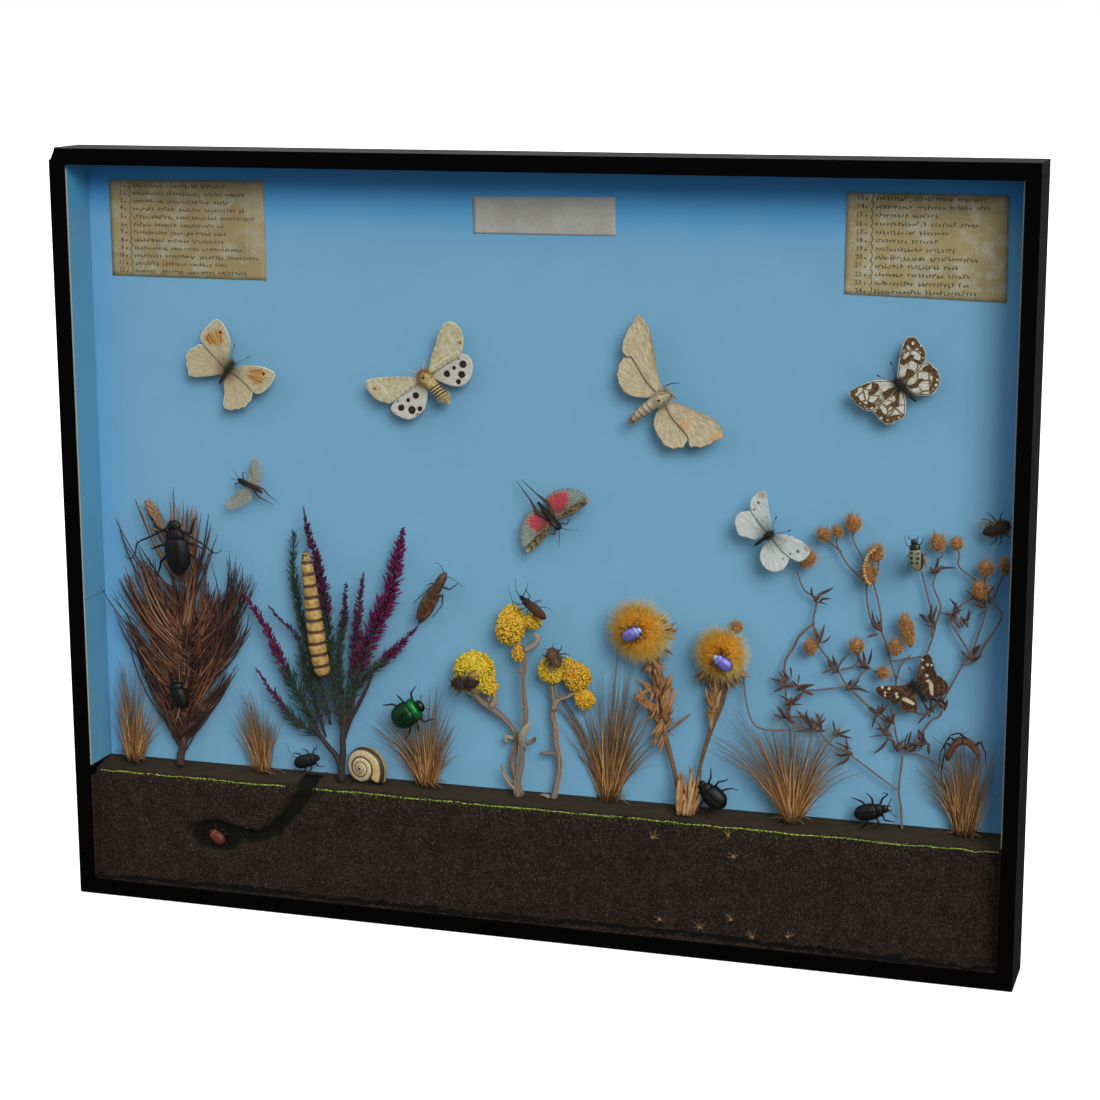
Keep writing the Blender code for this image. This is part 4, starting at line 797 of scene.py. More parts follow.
for path, half, turn_at, tone, lush in SPIKES:
    fine = smooth(on_paper(path, 9.4 if half > 3 else 8.0), 240)
    strands(heather, fine[None, ::6], np.linspace(0.8, 0.25, 40), 5, tint=2.0)
    pace = np.gradient(fine, axis=0)
    length = np.linalg.norm(pace, axis=1).sum()
    pace /= np.linalg.norm(pace, axis=1)[:, None]
    count = int(length * 4.7)
    share = chance.random(count) ** 0.8
    bloom = share > turn_at + chance.normal(0, 0.05, count)
    pick = (share * 239).astype(int)
    thick = half * np.sin(np.pi * np.clip(0.2 + 0.8 * share, 0, 1)) ** 0.6
    spin = chance.uniform(0, 2 * np.pi, count)
    out_x = np.stack([pace[pick][:, 2], 0 * spin, -pace[pick][:, 0]], axis=1)
    out = out_x * np.cos(spin)[:, None] + np.array((0, 1, 0)) * np.sin(spin)[:, None] * 0.75
    rise = np.where(bloom, 0.55, 0.9)[:, None]
    leafy = LEAFY * np.sin(np.pi * np.clip(share / max(turn_at, 0.3), 0.05, 1)) * chance.uniform(0.5, 1, count)
    reach = np.where(bloom, thick * chance.uniform(0.8, 1.15, count), np.maximum(leafy * lush, thick * 0.8))[:, None]
    root = fine[pick] + chance.normal(size=(count, 3)) * 0.25
    curl = chance.uniform(-0.2, 0.9, count)[:, None]
    wag = chance.normal(0, 0.16, (count, 3)) * (1, 0.5, 1)
    steps = (0, 0.35, 0.75, 1.0)
    path = np.stack([root + (out + pace[pick] * rise * (1 + curl * k) + wag * k) * reach * k for k in steps], axis=1)
    swell = np.where(bloom, 0.62, 0.36) * np.clip(thick / 2.6, 0.6, 1.15)
    width = swell[:, None] * np.array((0.35, 1.15, 1.15, 0.12))
    tint = np.where(bloom, tone + chance.uniform(0, 0.22, count) - 0.1 * share, 0.72 + chance.uniform(0, 0.28, count))
    strands(heather, kept_in(path), width, 3, 0.6, out_x, tint=np.clip(tint, 0, 1))
    wiry = int(length * 0.7)
    pick = (chance.uniform(0.02, 0.55, wiry) * 239).astype(int)
    way = turned(pace[pick], chance.normal(0, 24, wiry)) + (0, 1, 0) * chance.normal(0, 0.12, (wiry, 1))
    reach = chance.uniform(5, 12, wiry)[:, None]
    strands(heather, kept_in(np.stack([fine[pick] + way * reach * k for k in (0, 0.5, 1)], axis=1)),
        (0.28, 0.24, 0.08), 3, tint=1.8)
bells = Finish("heather", rough=0.75, shine=0.25)
tint, along = bells.read("tint", "along")
shade = bells.ramp(tint * 0.5, (0, 108, 20, 76), (0.08, 76, 14, 54), (0.2, 44, 16, 42),
    (0.33, 32, 44, 40), (0.42, 48, 74, 60), (0.5, 42, 68, 46), (0.84, 70, 60, 56), (1, 50, 40, 41))
shade = shade.coat(along.rise(0.5, 1) * 0.35, bells.ramp(tint * 0.5, (0, 134, 36, 96), (0.3, 58, 78, 68),
        (0.5, 76, 102, 78), (1, 78, 64, 60)))
shade = shade.coat(bells.noise(3, 4).rise(0.5, 0.7) * 0.45, 26, 18, 24)
bells.drive(Base_Color=shade).bump(bells.noise(0.7, 3), 0.12)
heather.build("heather", bells, "heather", "heather_sprig")


# The everlastings: yellow immortelles, dried. Crowded round florets make knobbly heads on woolly
# grey-beige stems, with small leaves that have curled up along them.


def cluster(heap, x, z, lift, radii, count, size, tint, seed):
    """Florets crowded over a lumpy cushion: radii are its half width, half depth and half height."""
    chance = np.random.default_rng(seed)
    ways = scatter(heap, count)
    ways[:, 1] = np.where(ways[:, 1] > 0.45, -ways[:, 1], ways[:, 1])
    lumps = 1 + 0.12 * uneven(ways * 10, 9, seed)
    spots = np.array((x, BACKING_Y0 - lift, z)) + ways * radii * (lumps * 0.92)[:, None]
    sizes = size * chance.uniform(0.55, 1.1, count)
    beads(heap, kept_in(spots), ways + chance.normal(0, 0.3, (count, 3)), sizes, tint + chance.uniform(-0.28, 0.28,
            count), 1.2, 4)
    core = np.array((x, BACKING_Y0 - lift, z)) + np.array((0, 0, 1)) * np.linspace(-1, 1, 9)[:, None] * radii[2] * 0.9
    strands(heap, core[None], np.sqrt(np.clip(1 - np.linspace(-1, 1, 9) ** 2, 0.02, 1)) * radii[0] * 0.9, 10, radii[1]
        / radii[0], tint=tint)


def woolly(heap, points, lift, radius, seed, hair=16):
    """A stem covered in short felt."""
    chance = np.random.default_rng(seed)
    points = on_paper(points, lift)
    points[1:-1] += chance.normal(0, 0.5, (len(points) - 2, 3)) * (1, 0.4, 0.4)
    path = rod(heap, points, np.array(radius) * 0.72 * chance.uniform(0.85, 1.15, np.shape(radius)), 9, 1.6, tint=1.9)
    for _ in range(3):
        beside = path[:, :3] + chance.normal(0, 1, 3) * (0.8, 0.6, 0) + chance.normal(0, 0.16, (len(path), 3))
        strands(heap, beside[None], path[:, 3] * chance.uniform(0.3, 0.5), 6, tint=chance.uniform(1.9, 2.4))
    length = np.linalg.norm(np.diff(path[:, :3], axis=0), axis=1).sum()
    count = int(length * hair)
    pick = chance.integers(0, len(path) - 1, count)
    ways = scatter(heap, count) + (0, 0, 0.5)
    root = path[pick, :3] + ways * path[pick, 3:] * 0.7 + chance.normal(size=(count, 3)) * 0.4
    strands(heap, np.stack([root, root + ways * 0.9], axis=1), (0.1, 0.03), 3, tint=2.5)


def curled(heap, root, tip, width, curl, tint):
    """A dry leaf: a narrow sheet from root to tip, bent out of its plane and twisted."""
    root, tip = np.array(root, float), np.array(tip, float)
    t = np.linspace(0, 1, 8)[:, None]
    way = tip - root
    path = root + way * t + curl * np.array((-way[2] * 0.25, -np.linalg.norm(way) * 0.3, way[0] * 0.25)) * np.sin(
        np.pi * t)
    profile = np.sin(np.pi * np.clip(0.12 + 0.86 * t[:, 0], 0, 1)) ** 0.7 * width / 2
    facing = np.array((0.25 * curl, 1, 0.2))
    strands(heap, kept_in(path)[None], profile, 6, 0.22, facing, tint)


golden = Finish("immortelle", rough=0.8, shine=0.2)
tint, along = golden.read("tint", "along")
shade = golden.ramp(tint * 0.4, (0, 196, 172, 28), (0.16, 196, 152, 24), (0.36, 190, 114, 16),
    (0.74, 112, 98, 86), (1, 170, 156, 138))
# Each floret is darker at its inner end and paler at its outer end, and each cushion darker below: the dark is
# painted shade in the gaps between the florets and under them.
shade = (shade
    .coat(along.rise(0.5, 0) * tint.rise(1.4, 1.2) * 0.75, 92, 62, 14)
    .coat(along.rise(0.7, 1) * tint.rise(1.4, 1.2) * 0.5, 232, 218, 110)
    .coat(golden.noise(2.2, 4).rise(0.52, 0.7) * 0.4, 92, 74, 52))
shade = shade.coat(golden.noise(0.6, 3).rise(0.6, 0.8) * tint.rise(1.6, 1.4) * 0.4, 236, 220, 120)
golden.drive(Base_Color=shade).bump(golden.noise(0.45, 3), 0.1)

plant = Heap(41)
woolly(plant, ((-6, 70), (-8, 76), (-10, 87), (-8, 99), (-12, 107), (-19, 114, 6.5), (-27, 119, 7.5), (-31, 124, 8)),
    6, (2.5, 2.3, 1.9, 1.7, 1.7, 2.1, 2.3, 2.2), 1)
cluster(plant, -30, 135, 8.6, (10.6, 7, 10.6), 620, 0.86, 0.12, 2)
cluster(plant, -37, 129, 9.5, (4.2, 4, 4.2), 130, 0.82, 0.2, 3)
cluster(plant, -22, 128, 9.5, (5, 4, 4.5), 130, 0.85, 0.2, 4)
rod(plant, on_paper(((-22, 116.5), (-19.4, 119.5), (-20, 123), (-23, 122), (-22.4, 119.4)), 7.5),
    (1.6, 1.7, 1.3, 1.1, 0.9), 8, tint=2.2)
rod(plant, on_paper(((-10, 100), (-13.5, 101), (-14.6, 99.4), (-13, 97.8)), 6), (1.2, 1.3, 1.1, 0.8), 8, tint=2.2)
curled(plant, (-8, 6, 74), (-16, 4, 87), 2.4, 0.4, 2.1)
plant.build("everlasting_one", golden, "everlasting", "everlasting_left")

plant = Heap(42)
woolly(plant, ((-7, 70, 8), (-7, 76, 8), (-5, 88), (-4, 99, 9.6), (-3, 114, 9.6), (-3, 130, 9.6), (-2, 144),
        (-5, 151, 8.5)), 9, (2.3, 2.1, 1.9, 1.7, 1.5, 1.4, 1.5, 1.6), 5)
cluster(plant, -10, 161, 9, (8.2, 6, 10.5), 480, 0.86, 0.42, 6)
cluster(plant, 1.5, 164, 9, (5, 4, 4.2), 150, 0.84, 0.45, 7)
cluster(plant, -6, 146.5, 9, (3.0, 3, 4.6), 90, 0.8, 0.5, 8)
rod(plant, on_paper(((-3, 148), (2, 151), (4.5, 155), (2, 157.5)), 9), (1.4, 1.6, 1.4, 1.0), 8, tint=2.2)
curled(plant, (-3.5, 2, 95), (1.5, -1, 112), 4.6, 0.5, 2.2)
curled(plant, (-3, 2, 99), (3.2, 0, 104), 2.6, -0.8, 2.0)
curled(plant, (-6, 3, 72), (-16, 3, 84), 2.2, 0.3, 2.2)
curled(plant, (-2.5, 2, 137), (-7, 1, 138.5), 1.6, 0.6, 1.5)
plant.build("everlasting_two", golden, "everlasting", "everlasting_middle")

plant = Heap(43)
woolly(plant, ((11, 70), (12.5, 74), (13.6, 84), (14, 92), (13, 100), (12, 108), (10.6, 114), (12, 120, 6.5),
        (11, 131, 7.5)), 6, (1.6, 1.5, 1.4, 1.5, 1.6, 1.7, 1.5, 1.5, 1.6), 9)
woolly(plant, ((11.6, 117, 6.5), (15, 123), (21, 126, 7.5), (25, 129, 8)), 7, (1.4, 1.5, 1.6, 1.6), 10)
woolly(plant, ((13.6, 90), (12.6, 93.4), (8.4, 94), (4.4, 93.4)), 6, (1.2, 1.2, 1.1, 0.7), 11)
cluster(plant, 11.5, 139, 9, (7, 5.4, 7), 320, 0.85, 0.25, 12)
cluster(plant, 25, 136.6, 9, (7.4, 5.4, 7.4), 320, 0.85, 0.6, 13)
cluster(plant, 28.6, 125, 8.4, (5.4, 4, 5.4), 150, 0.82, 0.5, 14)
cluster(plant, 19, 141, 8, (4, 4, 4.6), 110, 0.82, 0.4, 15)
rod(plant, on_paper(((9, 69.6), (6, 70.8), (3.4, 70.4)), 4), (1.2, 0.8, 0.4), 8, tint=2.2)
plant.build("everlasting_three", golden, "everlasting", "everlasting_right")


# The thistles: two dried heads seen from the front, dense orange-gold bristles in a disc with a
# halo of finer, paler down around it, on brown stems with torn, withered leaves. A broken,
# ragged stump of another stands between their feet.


def head(heap, x, z, lift, core, halo, depth, count):
    chance = heap.chance
    middle = np.array((x, BACKING_Y0 - lift, z))
    for share, inner, outer, width, tone in ((1.25, 0.25, core, 0.17, 0.15), (0.75, 0.5, halo, 0.065, 0.8)):
        n = int(count * share)
        ways = scatter(heap, n)
        ways[:, 1] = -abs(ways[:, 1]) * 0.95 + 0.25 * (chance.random(n) < 0.35)
        ways /= np.linalg.norm(ways, axis=1)[:, None]
        shape = np.array((1, depth / outer, 1))
        reach = outer * (1 - abs(chance.normal(0, 0.13, n)))[:, None]
        bend = np.cross(ways, (0, 1, 0)) * chance.normal(0, 0.07, n)[:, None]
        path = np.stack([middle + ways * shape * reach * (inner + (1 - inner) * k) + bend * reach * k * k
                for k in (0, 0.6, 1)], axis=1)
        strands(heap, kept_in(path), np.array((1, 1, 0.35)) * width * 1.06, 3, tint=tone + chance.uniform(-0.15, 0.2,
                n))
    t = np.linspace(-1, 1, 9)
    strands(heap, (middle + (0, 1.0, 0) + np.outer(t, (0, 0, core * 0.8)))[None], np.sqrt(np.clip(1 - t * t, 0.02, 1))
        * core * 0.8, 12, 0.45, tint=0.1)


down_finish = Finish("thistle_down", rough=0.7, shine=0.3)
tint, along = down_finish.read("tint", "along")
bristle = (down_finish.mix(along.rise(0.3, 0.95), (190, 104, 12), (236, 172, 30))
    .coat(down_finish.noise(2.5, 3).rise(0.45, 0.7) * 0.45, 176, 104, 18))
hair = down_finish.mix(along.rise(0.6, 1), (214, 172, 64), (196, 184, 136))
down_finish.drive(Base_Color=down_finish.mix(tint.rise(0.45, 0.6), bristle, hair))
stalk = Finish("thistle_stalk", rough=0.85, shine=0.2)
tint = stalk.read("tint")
skin = (stalk.ramp(tint * 0.5, (0, 96, 78, 62), (0.25, 140, 98, 60), (0.5, 160, 112, 66), (0.75, 172, 144, 104),
        (1, 60, 50, 44))
    .coat(stalk.noise(4, 4).rise(0.45, 0.7) * 0.6, 74, 54, 40))
stalk.drive(Base_Color=skin).bump(stalk.noise(0.9, 4, 0.6, (1, 1, 4)), 0.25)


def spines(heap, x, z, lift, radius, start, stop, count, length):
    """Stiff dark-tipped bracts in a fan behind a head, between two angles from the right, in degrees."""
    chance = heap.chance
    angle = np.radians(chance.uniform(start, stop, count))
    ways = np.stack([np.cos(angle), chance.uniform(-0.3, 0.1, count), np.sin(angle)], axis=1)
    root = np.array((x, BACKING_Y0 - lift, z)) + ways * radius
    reach = chance.uniform(0.6, 1.1, count)[:, None] * length
    strands(heap, kept_in(np.stack([root + ways * reach * k for k in (0, 0.5, 1)], axis=1)), (0.7, 0.5, 0.08), 4, 0.6,
        tint=chance.choice([1.2, 1.9], count))


thistle = Heap(51)
head(thistle, 58, 163, 10.5, 13.6, 19.2, 9.4, 2250)
thistle.build("thistle_head_left", down_finish, "thistle")
thistle = Heap(52)
head(thistle, 100, 154.6, 10.5, 11.6, 16.4, 9.2, 1950)
thistle.build("thistle_head_right", down_finish, "thistle")

stem = Heap(53)
chance = stem.chance
rod(stem, on_paper(((78.5, 70), (78, 76), (75, 91), (72, 102), (69.5, 111), (66, 132), (64.5, 143), (62, 152)), 6),
    (1.3, 1.2, 1.2, 1.4, 1.6, 1.9, 3.0, 5.0), 10, tint=0.1)
spines(stem, 60, 160, 8, 12, -75, 50, 26, 6)
spines(stem, 64, 148, 8, 3, -140, -20, 26, 6)
for k in range(66):
    z = chance.uniform(110, 136)
    x = np.interp(z, (102, 132, 142), (71.5, 66.5, 64.8)) + chance.normal(0, 1.6)
    tip = (x + chance.normal(0, 4.5), BACKING_Y0 - chance.uniform(4, 13), z + chance.choice([-1, 1], p=[0.3, 0.7])
        * chance.uniform(5, 13))
    curled(stem, (x, BACKING_Y0 - 6, z), tip, chance.uniform(0.7, 2.6), chance.uniform(-0.3, 0.3),
        chance.uniform(0.4, 1.5))
for root, tip, wide in (((67, 122), (55, 130), 4.6), ((67, 118), (57, 134), 2.8), ((71, 116), (74.5, 142), 4.4),
    ((72, 120), (77.5, 134), 2.4), ((70, 118), (66, 104), 2.6), ((68, 134), (66, 146), 5)):
    curled(stem, (root[0], 3, root[1]), (tip[0], 1, tip[1]), wide, chance.uniform(-0.2, 0.2),
        chance.uniform(0.5, 1.3))
stem.build("thistle_stem_left", stalk, "thistle", "thistle_left")

stem = Heap(54)
chance = stem.chance
rod(stem, on_paper(((87.4, 70), (87, 77), (87.5, 88), (89.5, 98), (92, 107), (95, 117), (98, 128), (99, 140)), 6),
    (0.9, 0.9, 0.9, 1.0, 1.1, 1.5, 2.7, 4.2), 10, tint=0.1)
spines(stem, 99, 150, 8, 9, -150, -20, 46, 8)
for k in range(52):
    z = chance.uniform(113, 139)
    half = np.interp(z, (113, 139), (1.0, 4.6))
    x = np.interp(z, (113, 139), (94, 98.5))
    way = chance.uniform(-1, 1)
    curled(stem, (x + way * half * 0.6, BACKING_Y0 - 8, z), (x + way * half * 1.9, BACKING_Y0 - chance.uniform(6, 11),
            z + chance.uniform(5, 13)),
        chance.uniform(0.8, 2.4), chance.uniform(-0.3, 0.3), chance.uniform(0.4, 1.4))
stem.build("thistle_stem_right", stalk, "thistle", "thistle_right")

stump = Heap(55)
chance = stump.chance
for k in range(34):
    x = chance.uniform(79.5, 87)
    lean = chance.normal(0.5, 2.2)
    rise = chance.uniform(9, 25) * (0.5 if k % 2 else 1)
    curled(stump, (x, BACKING_Y0 - chance.uniform(12, 16), 70.5), (x + lean, BACKING_Y0 - chance.uniform(11, 16),
            72 + rise),
        chance.uniform(0.9, 2.8), chance.uniform(-0.25, 0.25), chance.uniform(0.7, 1.5))
stump.build("stump", stalk, "thistle", "broken_stump")


# The grass: six tufts of fine dry mountain grass, each stuck into the soil in a little bare earth,
# orange-brown at the foot and thinning to grey-brown tips.

TUFTS = (  # foot x, lift, half width of the foot, blades, and the tips they reach, in x, z
    (-224, 8, 4, 142, ((-238, 98), (-237, 112), (-232, 125), (-225, 128), (-214, 112), (-204, 92))),
    (-150, 7, 4.4, 142, ((-171, 94), (-165, 106), (-159, 116), (-152, 111), (-146, 104), (-134, 93))),
    (-57, 6, 4.4, 180, ((-90, 97), (-82, 108), (-70, 115), (-56, 125), (-47, 120), (-41, 110), (-41, 88))),
    (40, 3.1, 3.6, 210, ((4, 128), (18, 124), (32, 136), (44, 146), (54, 145), (62, 126), (72, 98))),
    (137, 10, 3.4, 236, ((92, 106), (102, 130), (116, 122), (126, 132), (141, 124), (155, 126), (164, 127),
            (172, 98))),
    (222, 6, 5.2, 200, ((192, 97), (200, 110), (211, 116), (217, 125), (226, 122), (234, 122), (240, 100))),
)
GROUND = 70.2  # height of the soil at the tufts' feet
finish = Finish("dry_grass", rough=0.6, shine=0.3)
along, tint = finish.read("along", "tint")
blade = (finish.ramp(tint, (0, 92, 62, 38), (0.35, 150, 100, 54), (0.7, 166, 124, 74), (1, 206, 168, 108))
    .coat(along.rise(0.35, 0.85) * 0.8, 122, 110, 94)
    .coat(along.rise(0.12, 0.0) * 0.6, 74, 52, 34))
finish.drive(Base_Color=finish.mix(finish.noise(7, 3).rise(0.5, 0.75) * 0.35, blade, (84, 60, 40)))
for number, (foot, lift, half, count, tips) in enumerate(TUFTS, 1):
    tuft = Heap(60 + number)
    chance = tuft.chance
    tips = np.array(tips, float)
    t = chance.uniform(0, len(tips) - 1, count)
    whole = t.astype(int)
    aim = tips[whole] + (tips[whole + 1] - tips[whole]) * (t - whole)[:, None]
    share = np.where(chance.random(count) < 0.5, chance.uniform(0.4, 0.8, count), chance.uniform(0.8, 1.06, count))[:,
        None]
    side = (t / (len(tips) - 1) * 2 - 1)
    root = np.stack([foot + side * half * 0.6 + chance.normal(0, half * 0.28, count),
            BACKING_Y0 - lift + chance.normal(0, 1.3, count), GROUND + chance.uniform(0, 1.5, count)],
        axis=1)
    tip = np.stack([foot + (aim[:, 0] - foot) * share[:, 0], root[:, 1] + chance.normal(0, 2.2, count) * share[:, 0],
            71 + (aim[:, 1] - 71) * share[:, 0]], axis=1) + chance.normal(size=(count, 3)) * (2.2, 0.3, 2.2)
    sideways = tip[:, 0] - root[:, 0]
    bow = np.stack([-0.09 * sideways, 0 * side, 0.12 * abs(sideways)], axis=1)
    bow = bow + chance.normal(size=(count, 3)) * (0.6, 0.4, 0.4)
    steps = np.linspace(0, 1, 7)[None, :, None]
    curve = root[:, None] + (tip - root)[:, None] * steps + bow[:, None] * np.sin(np.pi * steps)
    width = chance.uniform(0.22, 0.4, count)[:, None] * np.array((0.9, 1, 0.9, 0.74, 0.56, 0.38, 0.14))
    strands(tuft, kept_in(curve), width, 3, tint=chance.random(count))
    loose = int(count * 0.16)
    ways = scatter(tuft, loose) * (1.5, 0.35, 0.5)
    root = np.stack([foot + chance.normal(0, half * 0.7, loose), BACKING_Y0 - lift + chance.normal(0, 1.5, loose),
            70.9 + chance.uniform(0, 2, loose)], axis=1)
    reach = chance.uniform(3, 9, loose)[:, None]
    path = np.stack([root, root + ways * reach * 0.5 + (0, 0, 1.4), root + ways * reach], axis=1)
    path[..., 2] = np.maximum(path[..., 2], GROUND)
    strands(tuft, kept_in(path), (0.3, 0.24, 0.1), 3, tint=chance.random(loose) * 0.4)
    tuft.build(f"grass_{number}", finish, "dry_grass", f"grass_tuft_{number}")


# The butterflies and moths: dried and set with spread wings, each on a thin black pin through
# its chest. A wing is one stiff scaled sheet with raised veins; a hindwing lies under a forewing.


def specimen(x, z, lift, heading):
    """From an insect's own place, x to its right, y to its head and z off the backing, in mm."""
    return Matrix.Translation((x, BACKING_Y0 - lift, z)) @ Matrix.Rotation(math.pi / 2, 4, "X") @ Matrix.Rotation(
        math.radians(heading), 4, "Z")


def from_line(points, line):
    """How far each point is from a line through these points."""
    line = np.asarray(line, float)
    away = np.full(len(points), 1e9)
    for a, b in zip(line[:-1], line[1:]):
        run = b - a
        t = np.clip(((points - a) @ run) / (run @ run + 1e-12), 0, 1)
        away = np.minimum(away, np.linalg.norm(points - a - t[:, None] * run, axis=1))
    return away


def within(points, outline):
    """Which points lie inside an outline."""
    a, b = np.asarray(outline, float), np.roll(outline, -1, axis=0)
    x, y = points[:, 0:1], points[:, 1:2]
    cross = (a[:, 1] > y) != (b[:, 1] > y)
    reach = (b[:, 0] - a[:, 0]) * (y - a[:, 1]) / (b[:, 1] - a[:, 1] + 1e-12) + a[:, 0]
    return (cross & (x < reach)).sum(axis=1) % 2 == 1


def spots(points, shapes):
    """How far each point is outside the nearest shape, below 0 inside it. A shape is x, y and
    a radius, or an outline's points."""
    away = np.full(len(points), 9.0)
    for shape in shapes:
        shape = np.asarray(shape, float)
        if shape.ndim == 1:
            gap = np.linalg.norm(points - shape[:2], axis=1) - shape[2]
        else:
            gap = from_line(points, np.vstack([shape, shape[:1]])) * np.where(within(points, shape), -1, 1)
        away = np.minimum(away, gap)
    return away


def lines(points, paths):
    """How far each point is from the nearest of these paths."""
    return np.min([np.full(len(points), 9.0)] + [from_line(points, path) for path in paths], axis=0)


def veins(root, outline, count, cell):
    """A wing's veins: a closed cell from the root, and veins from its end out to the margin."""
    outline = np.asarray(outline, float)
    whole = smooth(outline, 60)
    margin = whole[np.linspace(60 * 0.28, 60 * 0.9, count).astype(int)]
    top, low = root + (margin[1] - root) * cell, root + (margin[-2] - root) * cell * 0.86
    found = [(root, top), (root, low), (top, low), (root, whole[54])]
    for k, spot in enumerate(margin):
        start = top + (low - top) * k / (count - 1)
        middle = (start + spot) / 2 + (root - spot) * 0.03 * (k - count / 2) / count
        found.append((start, middle, spot))
    return found


def rightward(shape):
    """How far to the right the middle of a mark is."""
    return np.mean([point[0] for point in shape]) if np.ndim(shape[0]) else shape[0]


TUCK = 2.4  # how far the front of a hindwing reaches under the forewing
RIM_STEP = 0.7  # between two points of a wing's margin


class Wings(Heap):
    """Wings of one insect. Besides along, which runs from root to margin, and tint, 0 on forewings and
    1 on hindwings, it keeps: edge and vein, the distance in mm to the margin and to a vein; fan, the
    angle round the root in degrees; reach, the distance from it; and how far each set of marks is."""

    def __init__(self, seed, **marks):
        super().__init__(seed)
        self.marks = marks
        self.more = {key: [] for key in ("edge", "vein", "fan", "reach", *marks)}

    def sheet(self, outline, root, level, rise=1.0, hind=0.0, count=8, cell=0.5, thick=0.12, grain=0.65, scallop=0.0):
        """One wing. rise is how far its margin stands up from level, hind is 1 for a hindwing, count
        and cell are for its veins, grain is the size of its facets, and scallop how deep its margin
        is cut between the veins."""
        root, outline = np.array(root, float), np.array(outline, float)
        if hind:
            away = np.linalg.norm(outline - root, axis=1)
            front = np.clip((outline[:, 1] - outline[:, 1].mean()) / np.ptp(outline[:, 1]) * 3, 0, 1)
            outline[:, 1] += TUCK * front * np.clip((0.96 - away / away.max()) / 0.15, 0, 1)
        closed = np.vstack([root, outline, root])
        rim = smooth(closed, int(np.linalg.norm(np.diff(closed, axis=0), axis=1).sum() / RIM_STEP))[:-1]
        ribs = veins(root, outline, count, cell)
        if scallop:
            nearest = np.min([np.linalg.norm(rim - path[-1], axis=1) for path in ribs[4:]], axis=0)
            far = np.linalg.norm(rim - root, axis=1)
            inward = (root - rim) / (far[:, None] + 1e-9)
            rim = rim + inward * (scallop * np.clip(nearest / 2.0, 0, 1) * (far > 0.55 * far.max()))[:, None]
        low, high = rim.min(axis=0), rim.max(axis=0)
        x, y = np.meshgrid(np.arange(low[0], high[0], grain), np.arange(low[1], high[1], grain * 0.87), indexing="ij")
        x = x + (np.arange(x.shape[1]) % 2) * grain / 2
        inner = np.stack([x.ravel(), y.ravel()], axis=1)
        inner = inner[within(inner, rim)]
        inner = inner[from_line(inner, np.vstack([rim, rim[:1]])) > grain * 0.55]
        flat = np.vstack([rim, inner])
        n = len(rim)
        made = geometry.delaunay_2d_cdt([Vector(p) for p in flat], [(k, (k + 1) % n) for k in range(n)], [], 1, 1e-5)
        flat = np.array([tuple(p) for p in made[0]])
        faces = np.array([f for f in made[2] if len(f) == 3])
        turn = np.cross(flat[faces[:, 1]] - flat[faces[:, 0]], flat[faces[:, 2]] - flat[faces[:, 0]])
        faces[turn < 0] = faces[turn < 0][:, ::-1]
        offset, total = flat - root, len(flat)
        reach = np.linalg.norm(offset, axis=1)
        vein = lines(flat, ribs)
        along = reach / reach.max()
        ripple = 0.22 * uneven(np.column_stack([flat, 0 * reach]), 11, total)
        z = level + rise * along ** 1.5 + ripple * along + 0.1 * np.clip(1 - vein / 0.45, 0, 1)
        points = np.concatenate([np.column_stack([flat, z + thick / 2]), np.column_stack([flat, z - thick / 2])])
        edges = np.concatenate([faces[:, [0, 1]], faces[:, [1, 2]], faces[:, [2, 0]]])
        _, first, number = np.unique(np.sort(edges, axis=1), axis=0, return_index=True, return_counts=True)
        a, b = edges[first[number == 1]].T
        walls = np.concatenate([np.column_stack([b, a, a + total]), np.column_stack([b, a + total, b + total])])
        self.add(points, np.concatenate([faces, faces[:, ::-1] + total, walls]), np.tile(along, 2), hind)
        kept = {"edge": from_line(flat, np.vstack([rim, rim[:1]])), "vein": vein, "reach": reach,
            "fan": np.degrees(np.arctan2(offset[:, 1], abs(offset[:, 0])))}
        for key, shapes in self.marks.items():
            kept[key] = spots(flat, [shape for shape in shapes if rightward(shape) * offset[:, 0].mean() > 0])
        for key, values in kept.items():
            self.more[key].append(np.tile(values, 2))

    def build(self, name, finish, slot, *nodes, place=Matrix()):
        return super().build(name, finish, slot, *nodes, place=place, **self.more)


def fur(heap, path, first, last, count, length, lean=0.5, thick=0.07, tint=0.0, spread=0.15):
    """Hairs standing on a rod. path is what rod gave back, and first and last are shares of it."""
    chance = heap.chance
    pick = (chance.uniform(first, last, count) * (len(path) - 1)).astype(int)
    run = np.gradient(path[:, :3], axis=0)
    run /= np.linalg.norm(run, axis=1)[:, None] + 1e-9
    out = np.cross(run[pick], scatter(heap, count))
    out /= np.linalg.norm(out, axis=1)[:, None] + 1e-9
    root = path[pick, :3] + out * path[pick, 3:] * 0.85
    reach = length * chance.uniform(0.6, 1.15, count)[:, None]
    way = out - run[pick] * lean + chance.normal(size=(count, 3)) * spread
    strands(heap, np.stack([root, root + (way - run[pick] * lean * 0.5) * reach], axis=1), np.array((1, 0.3)) * thick,
        3,
        tint=tint + chance.uniform(-0.1, 0.1, count))


def feelers(heap, root, tips, club, tint=1.0):
    """The left and the right feeler, from a head at root to these tips, with a knob if they have a club."""
    for side, tip in zip((-1, 1), tips):
        start = (root[0] + side * 0.5, root[1], root[2])
        middle = ((start[0] + tip[0]) / 2 + side * 0.5, (start[1] + tip[1]) / 2, 1.4)
        path = rod(heap, (start, middle, (tip[0], tip[1], 1.2)), (0.16, 0.13, 0.13), 6, 0.7, tint=tint)
        if club:
            rod(heap, (path[-4, :3], path[-2, :3], path[-1, :3]), (0.14, 0.36, 0.22), 6, 0.5, tint=tint)


